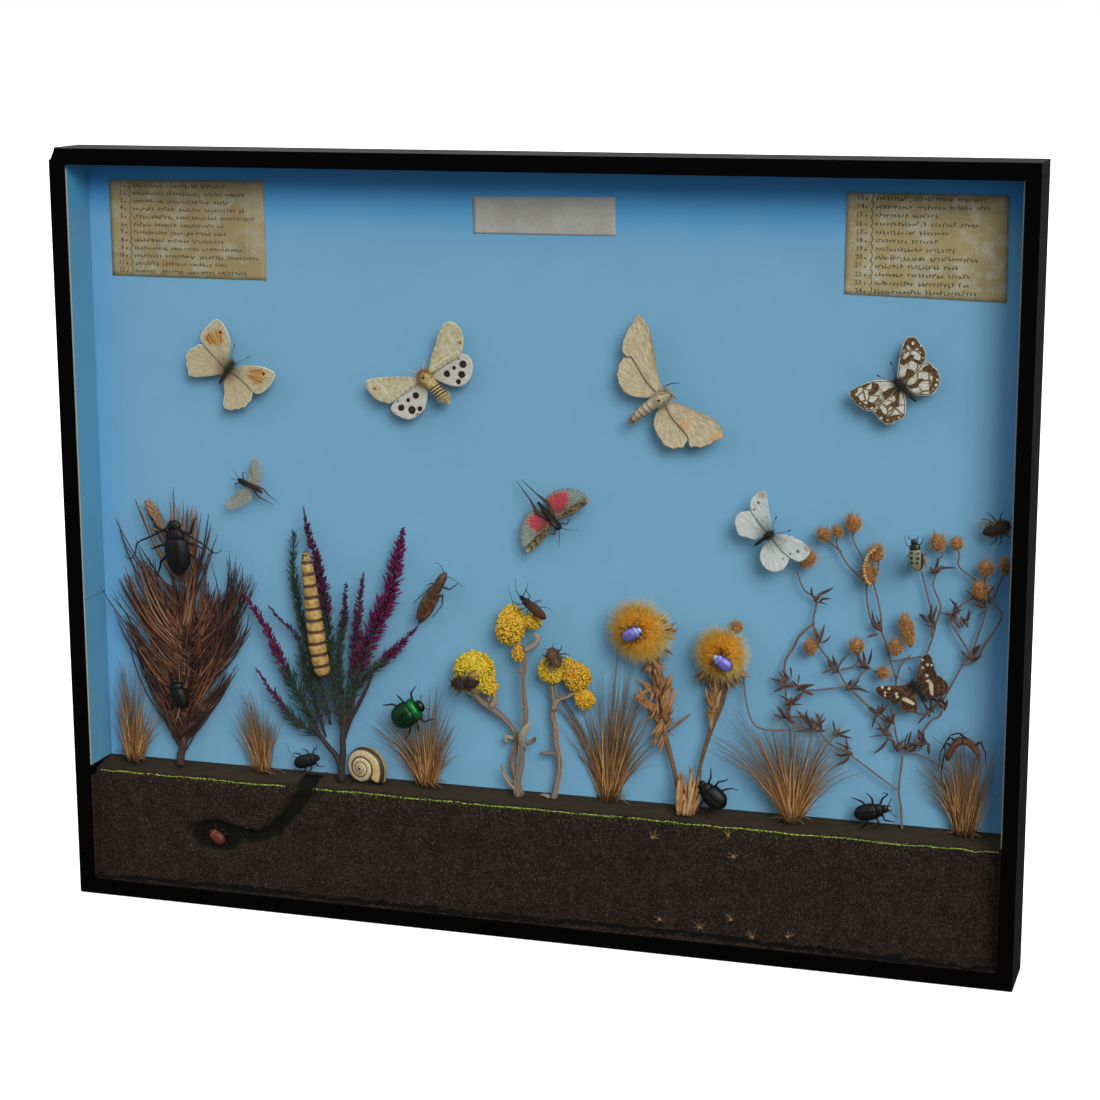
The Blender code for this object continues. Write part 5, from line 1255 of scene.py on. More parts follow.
def pinned(heap, y=1.3, top=4.6, foot=-8.0):
    """The pin: a black steel wire with a small round head."""
    rod(heap, ((0, y, foot), (0, y, 0), (0, y, top)), 0.24, 8, 3, tint=1.6)
    beads(heap, np.array([(0, y, top)]), np.array([(0, 0, 1.0)]), [0.6], 1.6, sides=10)


def hairy(name, dark, pale, third):
    """An insect's body: tint 0 takes the dark colour, 0.5 the pale one, 1 the third, and 1.6 is pin steel."""
    finish = Finish(name, shine=0.3)
    tint = finish.read("tint")
    shade = (finish.ramp(tint * 0.5, (0, *dark), (0.25, *pale), (0.5, *third), (0.72, *third), (0.78, 14, 14, 16))
        .coat(finish.noise(1.1, 4, 0.65).rise(0.45, 0.7) * 0.45, [c * 0.5 for c in dark]))
    finish.drive(Base_Color=shade, Roughness=0.75 - tint.rise(1.2, 1.5) * 0.45)
    return finish.bump(finish.noise(0.4, 3), 0.08)


def from_pin(finish, x, z, heading):
    """How far a point is towards the head from the pin of an insect that stands there, in mm."""
    sine, cosine = math.sin(math.radians(heading)), math.cos(math.radians(heading))
    return finish.axis(2) * cosine - finish.axis(0) * sine - (z * cosine - x * sine)


def left(outline):
    """An outline measured on the left side, whose x counts outward."""
    return [(-x, y) for x, y in outline]


# The meadow brown at the left: faded cream-beige wings, scalloped at the rear, an eyespot in each
# forewing, orange streaks, and a dark furry body.

WING_SHADE = dict(rough=0.85, shine=0.2, Sheen_Weight=0.25, Sheen_Roughness=0.4)
place = specimen(-163.2, 284.2, 8, -39)
wings = Wings(71, eyes=((-14.7, 14.3, 0.75), (16.3, 13.1, 0.75)),
    flush=((-14.6, 10.6, 3.9), (-16.6, 8.6, 3.2), (14.6, 9.8, 4.0), (12, 8.6, 2.6)))
wings.sheet(left([(7, 13.4), (15.2, 18.6), (18.5, 19.0), (20.8, 17.8), (22.3, 10.4), (21.6, 4.9), (18.1, 3.1),
            (8, 1.6), (3.2, 1)]), (-0.8, 1.6), 0.7, 0.8)
wings.sheet([(2.1, 4.2), (6.2, 9.9), (12.8, 15), (18, 17.2), (21.6, 17.2), (22.8, 10.1), (21.3, 3.9), (18, 1.7),
        (10.7, 2.1)], (0.8, 1.6), 0.7, 0.8)
wings.sheet(left([(8, 3.0), (14.8, 3.3), (20.5, -.4), (22.9, -6.6), (20.2, -11.1), (14.8, -15.4), (9.5, -12.1),
            (1.2, -3.5)]), (-0.6, 0.2), -0.1, 0.7, 1.0, scallop=0.7)
wings.sheet([(11, 1.7), (16.1, 1.4), (19.1, -1.5), (19, -7.9), (12.8, -15.5), (8.8, -14.8), (6.3, -10.7),
        (-.2, -3.9)], (0.6, 0.2), -0.1, 0.7, 1.0, scallop=0.7)
brown = Finish("meadow_brown_wing", **WING_SHADE)
edge, vein, along, tint = brown.read("edge", "vein", "along", "tint")
streak = brown.on_wing(3.4, 26)
shade = (brown.mix(brown.on_wing(3, 2.2).rise(0.3, 0.7), (152, 143, 112), (182, 174, 142))
    .coat(tint * 0.25, 172, 158, 128)
    .coat(along.rise(0.8, 0.1) * streak.rise(0.48, 0.62) * 0.4, 176, 116, 60)
    .coat(along.rise(0.4, 0.05) * 0.8, 84, 70, 46)
    .coat(vein.rise(0.3, 0.1) * 0.4, 116, 98, 72)
    .coat(brown.read("flush").rise(1.6, -2.4) * 0.6, 172, 128, 46)
    .coat(brown.read("flush").rise(0.8, -0.8) * streak.rise(0.44, 0.54) * 0.9, 146, 82, 2)
    .coat(brown.read("eyes").rise(0.8, 0.45), 196, 128, 60)
    .coat(brown.read("eyes").rise(0.15, -0.05), 40, 30, 24)
    .coat(brown.read("eyes").rise(-0.5, -0.62), 200, 192, 176))
shade = shade.coat(edge.rise(0.6, 0.3) * along.rise(0.5, 0.7) * 0.75, 206, 200, 182)
brown.drive(Base_Color=shade).bump(brown.noise(0.35, 2), 0.04)
wings.build("meadow_brown_wings", brown, "cream_scales", "brown_butterfly", place=place)
body = Heap(72)
path = rod(body, ((0, 6.2, 0.9), (0, 4.2, 1.0), (0, 2, 1.1), (0.2, -1.5, 0.8), (0.5, -5, 0.6), (0.6, -7.6, 0.5)),
    (0.6, 0.9, 1.0, 0.8, 0.7, 0.4), 12, 0.8)
fur(body, path, 0.0, 0.5, 420, 1.8, 0.7, tint=0.3)
fur(body, path, 0.45, 1.0, 180, 1.1, 1.0, tint=0.3)
feelers(body, (0, 6, 0.9), ((-5, 15), (5, 15)), True, 0.4)
pinned(body)
body.build("meadow_brown_body", hairy("meadow_brown_fur", (38, 34, 24), (110, 98, 66), (60, 44, 34)), "fur",
    place=place)


# The garden tiger: greenish cream forewings faintly marked with white lines, pale hindwings with
# dark round spots, an orange-brown chest and an orange abdomen barred with black.

place = specimen(-53, 285.2, 8, 37)
wings = Wings(73, spotted=((19.6, -4.9, 1.85), (15.8, -8.7, 1.85), (9.5, -3.8, 1.65), (14.5, -3.6, 1.0),
        (12.1, -10.5, 1.3), (19.2, -1.4, 0.5),
        (-21, -3.6, 1.65), (-17.1, -7.8, 2.0), (-10.9, -3.1, 1.7), (-15.6, -2.7, 1.05),
        (-13.2, -9.7, 1.2), (-20.6, -0.1, 0.5),
        ((-17.6, -11.3), (-15.9, -11.5), (-14.6, -10.9), (-15.9, -10.6))),
    dots=((-26.4, 12, 0.6), (25.2, 4.4, 0.6)),
    bands=(((4.8, 3.5), (14.4, 3.0), (18.5, 1.7), (24.9, 2.5), (24.9, 1.8), (18.5, 0.9), (14.4, 2.2),
            (4.8, 2.7)),
        ((19.4, 8.5), (18.2, 4.8), (19.1, 1.5), (18.3, 1.5), (17.4, 4.8), (18.6, 8.5)),
        ((-5.3, 3.5), (-10.6, 3.4), (-20.4, 1.7), (-20.4, 0.9), (-10.6, 2.6), (-5.3, 2.8)),
        (7.3, 7.5, 0.5), (11.7, 9.8, 0.6), (16.8, 13.2, 0.6), (21.9, 14.9, 0.6), (-7.8, 6.5, 0.5),
        (-13.7, 10.9, 0.6), (-18.7, 13.3, 0.6), (-21.5, 15.2, 0.6),
        ((-24, 15.4), (-22.6, 9), (-23.3, 3), (-22.5, 3), (-21.8, 9), (-23.2, 15.4)),
        ((24.4, 12.4), (22.5, 9.5), (23.1, 5.5), (22.3, 5.4), (21.7, 9.5), (23.6, 12.9))),
    sallow=((20.5, 10.5, 3.6), (12, 6.2, 3.0), (-17.5, 9.2, 3.6), (-10.5, 6, 2.6), (26.5, 9.5, 1.8),
        (-26.2, 7.5, 2.0)))
wings.sheet([(7.8, 7.5), (13.3, 11), (18.7, 14.6), (23.5, 16.8), (27.2, 16), (29.2, 13.4), (29.5, 9.2), (27.9, 5.1),
        (24.8, 1.8), (21.2, -.3), (15.7, -.3), (5.2, .7)], (1.2, 1.6), 0.8, 0.9)
wings.sheet(left([(5.4, 4.4), (12.2, 9.7), (20.9, 15.1), (26.1, 17.7), (28.5, 17.3), (29.7, 14.4), (29.3, 7.9),
            (25.9, 3), (23.4, 1.3), (16.4, 1.1), (9.6, .8)]), (-1.2, 1.6), 0.8, 0.9)
wings.sheet([(11, -.2), (17, -.1), (22.4, -1.4), (24.6, -4.2), (23.2, -8.7), (19.4, -12.2), (15.1, -13.5),
        (11.5, -12.9), (8, -10.5), (5, -6.6)], (1.2, -0.4), -0.1, 0.7, 1.0)
wings.sheet(left([(12, .4), (24.7, -.3), (26.1, -3), (24.7, -6.4), (22.1, -10.1), (19.1, -11.5), (15.2, -11.7),
            (10.4, -10.7), (3, -4.7)]), (-1.2, -0.4), -0.1, 0.7, 1.0)
tiger = Finish("tiger_wing", **WING_SHADE)
edge, vein, along, tint = tiger.read("edge", "vein", "along", "tint")
fore = (tiger.mix(tiger.on_wing(5, 3).rise(0.3, 0.7), (156, 152, 122), (186, 180, 148))
    .coat(tiger.read("sallow").rise(1.4, -2.0) * tiger.noise(2.4, 3).rise(0.35, 0.6) * 0.4, 180, 158, 96))
lattice = abs(tiger.grains(4.4) + (tiger.noise(1.5, 3) - 0.5) * 0.3 - 0.52).rise(0.09, 0.02)
fore = (fore
    .coat(lattice * 0.12, 204, 202, 182)
    .coat(tiger.read("bands").rise(0.25, -0.1) * 0.28, 212, 212, 196))
dash = (tiger.read("reach") + tiger.noise(2) * 1.5).wave(3.1).rise(0.1, 0.6)
dash = dash * edge.rise(2.6, 1.2) * along.rise(0.12, 0.25)
fore = fore.coat(dash * 0.55, 150, 112, 62)
rear = (tiger.mix(tiger.on_wing(4, 3).rise(0.3, 0.7), (164, 166, 158), (192, 190, 180))
    .coat(along.rise(0.45, 0.05) * 0.6, 160, 142, 104))
shade = (tiger.mix(tint, fore, rear)
    .coat(vein.rise(0.3, 0.08) * 0.35, 132, 122, 92))
rough_spot = tiger.read("spotted") + (tiger.noise(1.2, 3) - 0.5) * 1.0
shade = (shade
    .coat(rough_spot.rise(0.3, -0.15), 30, 22, 18)
    .coat(rough_spot.rise(-0.9, -1.6) * 0.5, 84, 60, 50)
    .coat(tiger.read("dots").rise(1.3, 0.2) * 0.6, 190, 130, 60)
    .coat(tiger.read("dots").rise(0.15, -0.1), 60, 46, 34))
shade = shade.coat(edge.rise(0.6, 0.25) * along.rise(0.5, 0.7) * 0.5, 206, 200, 172)
tiger.drive(Base_Color=shade).bump(tiger.noise(0.35, 2), 0.04)
wings.build("tiger_moth_wings", tiger, "patterned_scales", "tiger_moth", place=place)
body = Heap(74)
path = rod(body, ((-0.5, 4.6, 1.2), (-0.7, 2.6, 1.4), (-0.6, 0.2, 1.5), (0, -3.6, 1.4), (0.7, -8.6, 1.2),
        (1.3, -12.2, 1.0), (1.7, -16.6, 0.7)), (1.3, 2.6, 3.3, 2.7, 2.5, 2.1, 0.8), 14, 0.8, tint=0.5)
fur(body, path, 0.0, 0.34, 900, 2.2, 0.25, tint=0.0)
fur(body, path, 0.0, 0.16, 420, 2.2, 0.2, tint=1.0)
fur(body, path, 0.34, 0.86, 700, 1.1, 1.0, tint=0.5)
fur(body, path, 0.84, 1.0, 260, 2.6, 0.9, tint=0.75)
feelers(body, (-0.5, 4.4, 1.2), ((-6, 9.5), (5, 9.5)), False, 0.8)
pinned(body, 1.2, 5.6)
fuzz = Finish("tiger_fur", shine=0.25, rough=0.9)
tint = fuzz.read("tint")
shade = (fuzz.ramp(tint * 0.5, (0, 176, 148, 92), (0.06, 190, 162, 106), (0.2, 190, 166, 112), (0.3, 196, 178, 128),
        (0.38, 208, 192, 150), (0.5, 186, 112, 34), (0.72, 112, 46, 26), (0.78, 14, 14, 16))
    .coat(fuzz.noise(1.5, 4, 0.65).rise(0.5, 0.66) * 0.6, 70, 42, 22))
ahead_of_pin = from_pin(fuzz, -53, 285.2, 37)
bar = (ahead_of_pin + 6.0).wave(1.6).rise(0.1, 0.5) * ahead_of_pin.rise(-4.8, -5.4) * ahead_of_pin.rise(-12.2, -11.6)
fuzz.drive(Base_Color=fuzz.mix(bar, shade, (26, 20, 18))).bump(fuzz.noise(0.4, 3), 0.08)
body.build("tiger_moth_body", fuzz, "fur", place=place)


# The hawk-moth: long narrow forewings and scalloped hindwings, all one faded beige with fine
# darker veins, a brown front edge and tips, a woolly cream chest and a tapered banded abdomen.

place = specimen(67.5, 279.3, 9, -50)
wings = Wings(75, smoke=(((-39.4, 18.4), (-32.2, 18.6), (-25.1, 16.6), (-10.8, 7.6), (-10.8, 6.0), (-25.1, 14.8),
            (-32.2, 17.0), (-38.5, 16.0)),
        ((4.8, 5.8), (16.4, 13.0), (25.5, 16.6), (33.5, 15.6), (33.2, 14.2), (25.5, 14.8),
            (16.4, 11.2), (4.8, 4.2)), (-38, 16.4, 1.6)),
    blush=((30, 10.2, 2.6), (31.6, 12.2, 1.8), (17, 2.4, 2.6)))
wings.sheet(left([(7.4, 5.8), (15.1, 10.2), (20.1, 13.4), (25.8, 16.5), (31, 18.9), (35.8, 19.5), (39.8, 18.5),
            (38.4, 14.5), (36.7, 8.8), (34.4, 4.6), (30.8, .5), (27, .9), (24.9, 2.4), (12, 0.6)]), (-1.2, 1.2), 0.9,
    1.0,
    count=9, cell=0.45, scallop=0.7)
wings.sheet([(3.6, 3.9), (8.1, 7.3), (17.3, 12.8), (23.5, 16.1), (29, 16.4), (33.7, 14.8), (32.7, 8.6), (31.8, 3.4),
        (29.1, -.2), (26.9, -2.3), (21.6, 0), (10, -0.6)], (1.2, 1.2), 0.9, 1.0, count=9, cell=0.45, scallop=0.7)
wings.sheet(left([(6, 3.2), (14, 4.0), (22, 3.2), (27.7, -1), (26, -6.2), (23.6, -9.2), (18.9, -11.6), (14.2, -11.9),
            (10.5, -10.4), (6.5, -6.6)]), (-1.0, 0.6), -0.1, 0.8, 1.0, scallop=0.8)
wings.sheet([(6, 2.6), (14, 3.4), (21, 0.8), (25.3, -4.4), (22.7, -10.3), (19.6, -12.6), (14.7, -12.5), (10, -11.9),
        (5.6, -8.9), (2.3, -4.2)], (1.0, 0.6), -0.1, 0.8, 1.0, scallop=0.8)
beige = Finish("hawk_moth_wing", **WING_SHADE)
edge, vein, along = beige.read("edge", "vein", "along")
line = along + beige.noise(5) * 0.1
shade = (beige.mix(beige.on_wing(2, 3.5).rise(0.3, 0.7), (164, 151, 120), (196, 184, 154))
    .coat(beige.noise(2.2, 4).rise(0.55, 0.7) * 0.3, 138, 118, 84)
    .coat(vein.rise(0.34, 0.1) * 0.55, 132, 112, 84)
    .coat(line.rise(0.66, 0.69) * line.rise(0.76, 0.73) * 0.15, 140, 118, 92)
    .coat(beige.read("blush").rise(1.2, -1.4) * 0.5, 192, 136, 84)
    .coat(beige.read("smoke").rise(0.3, -0.3) * 0.3, 104, 82, 60))
shade = shade.coat(edge.rise(0.4, 0.15) * 0.6, 96, 78, 52)
beige.drive(Base_Color=shade).bump(beige.noise(0.35, 2), 0.04)
wings.build("hawk_moth_wings", beige, "cream_scales", "hawk_moth", place=place)
body = Heap(76)
path = rod(body, ((0, 6.4, 1.6), (0, 4.4, 1.9), (-0.2, 1, 2.0), (-0.8, -3.6, 1.6), (-1.2, -9, 1.3), (-1.3, -14, 1.1),
        (-0.8, -20, 0.8)), (1.4, 2.4, 3.3, 2.9, 2.6, 1.9, 0.5), 14, 0.8, tint=0.5)
fur(body, path, 0.0, 0.36, 1000, 2.3, 0.5, tint=0.5)
fur(body, path, 0.36, 0.93, 620, 0.9, 1.1, tint=0.0)
fur(body, path, 0.9, 1.0, 120, 2.0, 1.0, tint=0.2)
rod(body, ((-1, 5.4, 1.8), (-3.6, 6.4, 1.8), (-2.6, 10.6, 1.8), (-0.4, 13.6, 1.6)), (0.3, 0.3, 0.25, 0.12), 6, 0.7,
    tint=1.0)
rod(body, ((0.6, 6, 1.8), (2.6, 7.2, 1.8), (4.8, 7.4, 1.6)), (0.32, 0.28, 0.12), 6, 0.7, tint=1.0)
pinned(body, 1.2, 6.0)
wool = Finish("hawk_moth_fur", shine=0.25, rough=0.9)
tint = wool.read("tint")
shade = wool.ramp(tint * 0.5, (0, 134, 108, 54), (0.25, 186, 174, 146), (0.5, 46, 36, 28), (0.72, 52, 40, 32),
    (0.78, 14, 14, 16))
ahead_of_pin = from_pin(wool, 67.5, 279.3, -50)
band = (ahead_of_pin + 0.4).wave(2.9).rise(0.55, 0.9) * ahead_of_pin.rise(-3.6, -4.4)
shade = shade.coat(band * 0.75, 78, 58, 30)
shade = shade.coat(wool.noise(1.4, 4).rise(0.5, 0.7) * 0.4, 118, 96, 64)
wool.drive(Base_Color=shade).bump(wool.noise(0.4, 3), 0.08)
body.build("hawk_moth_body", wool, "fur", place=place)


# The marbled white at the right: cream cells enclosed by brown bands, with a row of cream
# spots along the dark margins, a thin pale fringe and a black body.

BANDS = (
    ((14.2, 13), (18.5, 14.6), (21.1, 12.6), (21.6, 8), (20.4, 4.2), (17.7, 1.7), (15.3, .9), (15.7, 3.1), (18.2, 5),
        (18.6, 7.6), (16.3, 9), (16.1, 10.8), (13.7, 11)),
    ((9, 9.8), (10.2, 8.2), (13.4, 8.1), (15.2, 6.6), (13.6, 5.6), (10.1, 5.8), (7.3, 7), (7.2, 8.6)),
    ((13.5, 5.7), (14.9, 2.9), (15.3, .9), (13.7, .9), (12.8, 3.3)),
    ((7.7, 4.4), (9.2, 2.6), (9.4, .4), (7.5, -.8), (5.4, 0), (2.2, -.7), (1.1, 1.7), (2.9, 4.4), (3, 2.7),
        (5.3, 2.6)),
    ((1.6, -.5), (3.2, -2.3), (5.6, -3.2), (8.1, -3), (10.1, -4.4), (9.2, -5.3), (7.3, -4.9), (4.9, -5.7),
        (1.8, -3.7)),
    ((12.8, -.7), (15.9, -1.2), (17.6, -3.8), (17.2, -7.9), (15.3, -10.7), (12.6, -12.2), (8.8, -12.3), (7.8, -10.1),
        (10.6, -9.5), (12.9, -8.3), (14.7, -5.6), (13.6, -3.5), (12.4, -2.3)),
    ((.5, -1.5), (1.4, -4), (-.3, -4.5), (-.7, -2.8)),
    ((-20.2, 14.5), (-15.9, 15), (-11.7, 13.3), (-8.7, 11), (-12.7, 11.1), (-14.2, 13.4), (-17.6, 12.5), (-18.7, 9.3),
        (-18.2, 5.5), (-16.2, 2.8), (-17.9, 2.8), (-20.5, 5.2), (-21, 10.7)),
    ((-8.7, 11), (-6.8, 8.4), (-8.5, 6.3), (-11.3, 6), (-14.1, 7.5), (-14.3, 8.8), (-11.8, 8.5)),
    ((-16.2, 6.1), (-14.9, 1.5), (-16.6, 1.9), (-17.7, 5.1)),
    ((-9.1, 4.4), (-4.8, 3.2), (-1.8, 1.6), (-2, -.8), (-5.5, -4.1), (-8.1, -6.1), (-10.7, -3.6), (-9.9, -2.4),
        (-7.1, -2.9), (-5.4, -.8), (-8, 0), (-10.2, 1.2)),
    ((-16.6, .7), (-14.6, -.8), (-15.7, -3.5), (-14.3, -6.4), (-11.7, -7.7), (-9.7, -9.4), (-10, -10.6), (-13.6, -10),
        (-17.3, -8.6), (-18.4, -5.5), (-18.3, -1.9)),
    ((-10.3, -2.8), (-6.2, -4.2), (-7.5, -6.3), (-10.1, -4.7)),
)
place = specimen(185.6, 290.9, 8, 46)
wings = Wings(77, bands=BANDS, beads=(
        (18.5, 10.8, .75), (15.6, 11.4, .6), (20.3, 7.4, .5), (17, 2.6, .5), (12.1, 10.2, .6), (14.6, -9.3, .7),
        (12.3, -10.9, .7), (10, -11, .6), (16.3, -7.6, .6),
        (-18.3, 11.8, .75), (-19.9, 8, .5), (-19.5, 5.1, .5), (-15.5, 12.9, .6), (-17.7, -4.2, .6), (-16.3, -7.3, .7),
        (-14.1, -9.2, .7), (-11.5, -9.9, .5)))
wings.sheet([(1.3, 4), (5.7, 7.8), (9.3, 10.5), (14.4, 13.6), (17.8, 14.7), (20.2, 13.8), (21.5, 11.7), (20.9, 7.3),
        (20.2, 4), (17.8, 1.5), (15.4, .1), (8, -.6)], (0.6, 1.2), 0.7, 0.8, scallop=0.35)
wings.sheet(left([(0.6, 3.7), (3.4, 7.4), (7.9, 11.3), (14.2, 14.2), (18.8, 15.5), (20.5, 15.1), (21.3, 13),
            (21.6, 7.9), (20.8, 4.2), (18.3, 1.3), (9, 0)]), (-0.6, 1.2), 0.7, 0.8, scallop=0.35)
wings.sheet([(8, 0.6), (16.3, -1), (17.9, -2.8), (17.8, -6.8), (16.1, -10.1), (12.7, -12.5), (9.1, -13.1),
        (5.2, -11.4), (2, -7.8), (.4, -3.7)], (0.5, -0.4), -0.1, 0.7, 1.0, scallop=0.6)
wings.sheet(left([(9, 1.0), (17.6, .6), (18.8, -1.3), (18.8, -5.4), (18, -8.3), (15.7, -10.2), (11.6, -11.1),
            (9.2, -11.4), (4.5, -7.7), (1.2, -3.8)]), (-0.5, -0.4), -0.1, 0.7, 1.0, scallop=0.6)
marbled = Finish("marbled_white_wing", **WING_SHADE)
edge, vein, along = marbled.read("edge", "vein", "along")
cream = marbled.mix(marbled.on_wing(4, 3).rise(0.3, 0.7), (172, 172, 158), (204, 202, 186))
umber = marbled.mix(marbled.on_wing(3, 2).rise(0.35, 0.65), (50, 34, 22), (104, 78, 40))
ragged_band = marbled.read("bands") + (marbled.noise(0.9, 3) - 0.5) * 0.7
dark = ragged_band.rise(0.2, -0.15).most(vein.rise(0.28, 0.1) * 0.5).most(edge.rise(1.0, 0.7) * edge.rise(0.3, 0.5))
dark = dark * marbled.read("beads").rise(-0.05, 0.2)
shade = marbled.mix(dark, cream, umber)
cells = marbled.grains(4.4, feature="DISTANCE_TO_EDGE")
shade = (shade
    .coat((cells + (marbled.noise(1.2) - 0.5) * 0.12).rise(0.13, 0.06) * along.rise(0.3, 0.5) * 0.85, umber)
    .coat(along.rise(0.3, 0.05) * 0.6, 66, 60, 52))
shade = shade.coat(edge.rise(0.35, 0.15) * 0.7, 206, 200, 180)
marbled.drive(Base_Color=shade).bump(marbled.noise(0.35, 2), 0.04)
wings.build("marbled_white_wings", marbled, "patterned_scales", "marbled_white", place=place)
body = Heap(78)
path = rod(body, ((0, 4.2, 1), (0, 2.8, 1.1), (0, 0.8, 1.2), (0, -2.6, 0.9), (0, -6.4, 0.7), (0, -10, 0.5)),
    (0.8, 1.3, 1.6, 1.1, 1.0, 0.4), 12, 0.7)
fur(body, path, 0.0, 0.5, 380, 1.5, 0.5, tint=0.1)
fur(body, path, 0.4, 1.0, 160, 1.0, 1.0, tint=0.35)
feelers(body, (0, 4, 1), ((-4.6, 12), (4.6, 12)), True, 0.0)
pinned(body)
dark_fur = hairy("dark_fur", (26, 22, 20), (118, 108, 94), (58, 42, 32))
body.build("marbled_white_body", dark_fur, "fur", place=place)


# The small white: thin grey-white wings dusted darker at the root, with tan tips, a few small
# dark spots and a slender black body with clubbed feelers.

place = specimen(123, 215.6, 12, -50)
wings = Wings(79, dots=((-15.6, 6.7, .75), (-14.2, 2.7, .6), (14.8, 7.1, .85), (13.5, 3.2, .65), (13.2, -1.3, .5),
        (6.3, 8.2, .5)),
    tips=((-17.6, 10.9, 2.0), (-14.8, 12.0, 1.0), (16.4, 12.0, 1.8), (13.9, 12.3, 1.0)))
wings.sheet(left([(2.4, 3.6), (6, 6.4), (11.3, 9.5), (15.6, 12.2), (17.9, 12.9), (19.3, 11.4), (19.5, 9), (19.1, 5.8),
            (17.5, 2.8), (14.5, 1), (10.9, .7), (6, .2)]), (-0.6, 1), 0.6, 0.8)
wings.sheet([(1.6, 3), (3.3, 5.5), (6.5, 8.8), (9.8, 10.6), (13.5, 12.2), (17, 12.6), (18.8, 11.8), (19.9, 7.7),
        (19.1, 4.4), (16.5, 2.6), (13.1, 1.5), (8, 0.4)], (0.6, 1), 0.6, 0.8)
wings.sheet(left([(7, 1.4), (12.7, .8), (14.7, -1.5), (17.1, -3.4), (17.2, -6), (15.4, -8.8), (11.8, -10.8),
            (8.4, -11.3), (5.5, -9), (2.5, -6.8), (1.6, -3.4)]), (-0.5, -0.4), -0.1, 0.7, 1.0)
wings.sheet([(7.1, 1.3), (11, 1.2), (14.8, -.6), (17.3, -3.2), (17.1, -6.4), (15.3, -9.5), (11.9, -11.3),
        (7.6, -11.1), (4.7, -9.1), (2.6, -5.1), (1.7, -1.9)], (0.5, -0.4), -0.1, 0.7, 1.0)
white = Finish("small_white_wing", **WING_SHADE)
vein, along = white.read("vein", "along")
shade = (white.mix(white.on_wing(5, 4).rise(0.3, 0.7), (170, 176, 174), (194, 198, 194))
    .coat((along + white.on_wing(2.2, 6) * 0.3).rise(0.66, 0.2) * 0.8, 88, 90, 90)
    .coat(vein.rise(0.3, 0.08) * (0.2 + along.rise(0.7, 0.1) * 0.5), 110, 110, 104)
    .coat(white.read("tips").rise(0.7, -0.6) * 0.7, 150, 128, 98)
    .coat((white.read("dots") + (white.noise(0.8) - 0.5) * 0.5).rise(0.2, -0.15) * 0.9, 84, 66, 52))
white.drive(Base_Color=shade).bump(white.noise(0.35, 2), 0.04)
wings.build("small_white_wings", white, "white_scales", "small_white", place=place)
body = Heap(80)
path = rod(body, ((0, 3.2, 1), (0, 2, 1.1), (0, 0, 1.1), (-0.1, -3, 0.9), (-0.2, -6, 0.7), (-0.3, -8.7, 0.5)),
    (0.8, 1.2, 1.5, 1.0, 0.9, 0.3), 12, 0.7)
fur(body, path, 0.0, 0.5, 300, 1.3, 0.5, tint=0.14)
feelers(body, (0, 3, 1), ((-4.8, 9.6), (4.6, 11)), True, 0.0)
pinned(body, 1.2, 4.4, -12)
body.build("small_white_body", dark_fur, "fur", place=place)


# The map butterfly over the clover: dark brown, with rows of cream spots that make a band
# across the wings, rusty lines inside the margin and a cream fringe.

place = specimen(196.6, 144.6, 8, 40)
wings = Wings(81, cream=(
        (10.7, 8.6, .75), (11.3, 5.3, .75), (12.9, 3.9, .6), (8.4, 5.4, .6), ((6.9, 2.2), (8.3, 1.4), (8.1, 0.1),
            (6.8, 0.6)),
        ((5.6, -.6), (7.4, -1), (7.1, -4.2), (5.4, -6.3), (3.6, -8.6), (2.9, -7.6), (4.3, -4.9), (5.5, -3)),
        (-13.7, 9.3, .75), (-11.5, 6.7, .8), (-14.3, 6.3, .55), (-15.4, 5.2, .5), (-10.2, 2.7, .7), (-10.8, 1.2, .7),
        ((-8.3, -.6), (-10, -1.2), (-8.7, -4.2), (-7.2, -6.9), (-5.9, -6.3), (-7.0, -3.6))),
    rust=(((9.6, -5.6), (8.7, -7.7), (6.5, -9.6), (6.0, -8.9), (7.8, -7.2), (8.8, -5.4)), ((12.4, -5.4), (11.2, -8.6),
            (8.0, -10.5), (7.9, -9.9), (10.6, -8.2), (11.8, -5.2)),
        ((-12.2, -2.4), (-12.5, -5.4), (-10.2, -7.5), (-7.1, -9.1), (-7.5, -9.8), (-10.8, -8.3), (-13.3, -5.6),
            (-12.9, -2.4)),
        ((4, 2.6), (7, 4.4), (9.4, 7), (8.9, 7.5), (6.4, 5.1), (3.8, 3.3)), ((-4, 2.8), (-7.4, 4), (-10.4, 7.6),
            (-10.9, 7.2), (-8, 3.6), (-4.2, 2.1)),
        ((12.1, 7.8), (12.9, 6.2), (12.4, 6.0), (11.6, 7.6)), ((-14.9, 8.6), (-13, 4.4), (-12.4, 4.6),
            (-14.2, 8.9))))
wings.sheet([(1.2, 2.3), (4.9, 5.3), (9.2, 8.4), (13.1, 10.1), (15.0, 9.2), (15.5, 8.3), (14.5, 4.7), (12.7, .9),
        (11, -2.9), (5, -1.6)], (0.4, 0.9), 0.6, 0.7, scallop=0.5)
wings.sheet(left([(1.5, 2.9), (5.4, 4.5), (9.4, 7.4), (13.7, 10.1), (16.2, 11), (17.8, 8.9), (17.3, 5.5), (15.4, 1.5),
            (13.5, -1.7), (6, -1.4)]), (-0.4, 0.9), 0.6, 0.7, scallop=0.5)
wings.sheet([(6, -0.8), (11.7, -3.4), (13.4, -7.1), (11.6, -10.8), (7.3, -11.5), (1.8, -8.9), (0, -4.9)], (0.3, -0.6),
    -0.1, 0.6, 1.0, scallop=0.7)
wings.sheet(left([(7, -0.8), (13.2, -3.8), (12.8, -7.3), (10.5, -9.2), (7.9, -10.4), (5.3, -7.5), (2.1, -3.5)]),
    (-0.3, -0.6), -0.1, 0.6, 1.0, scallop=0.7)
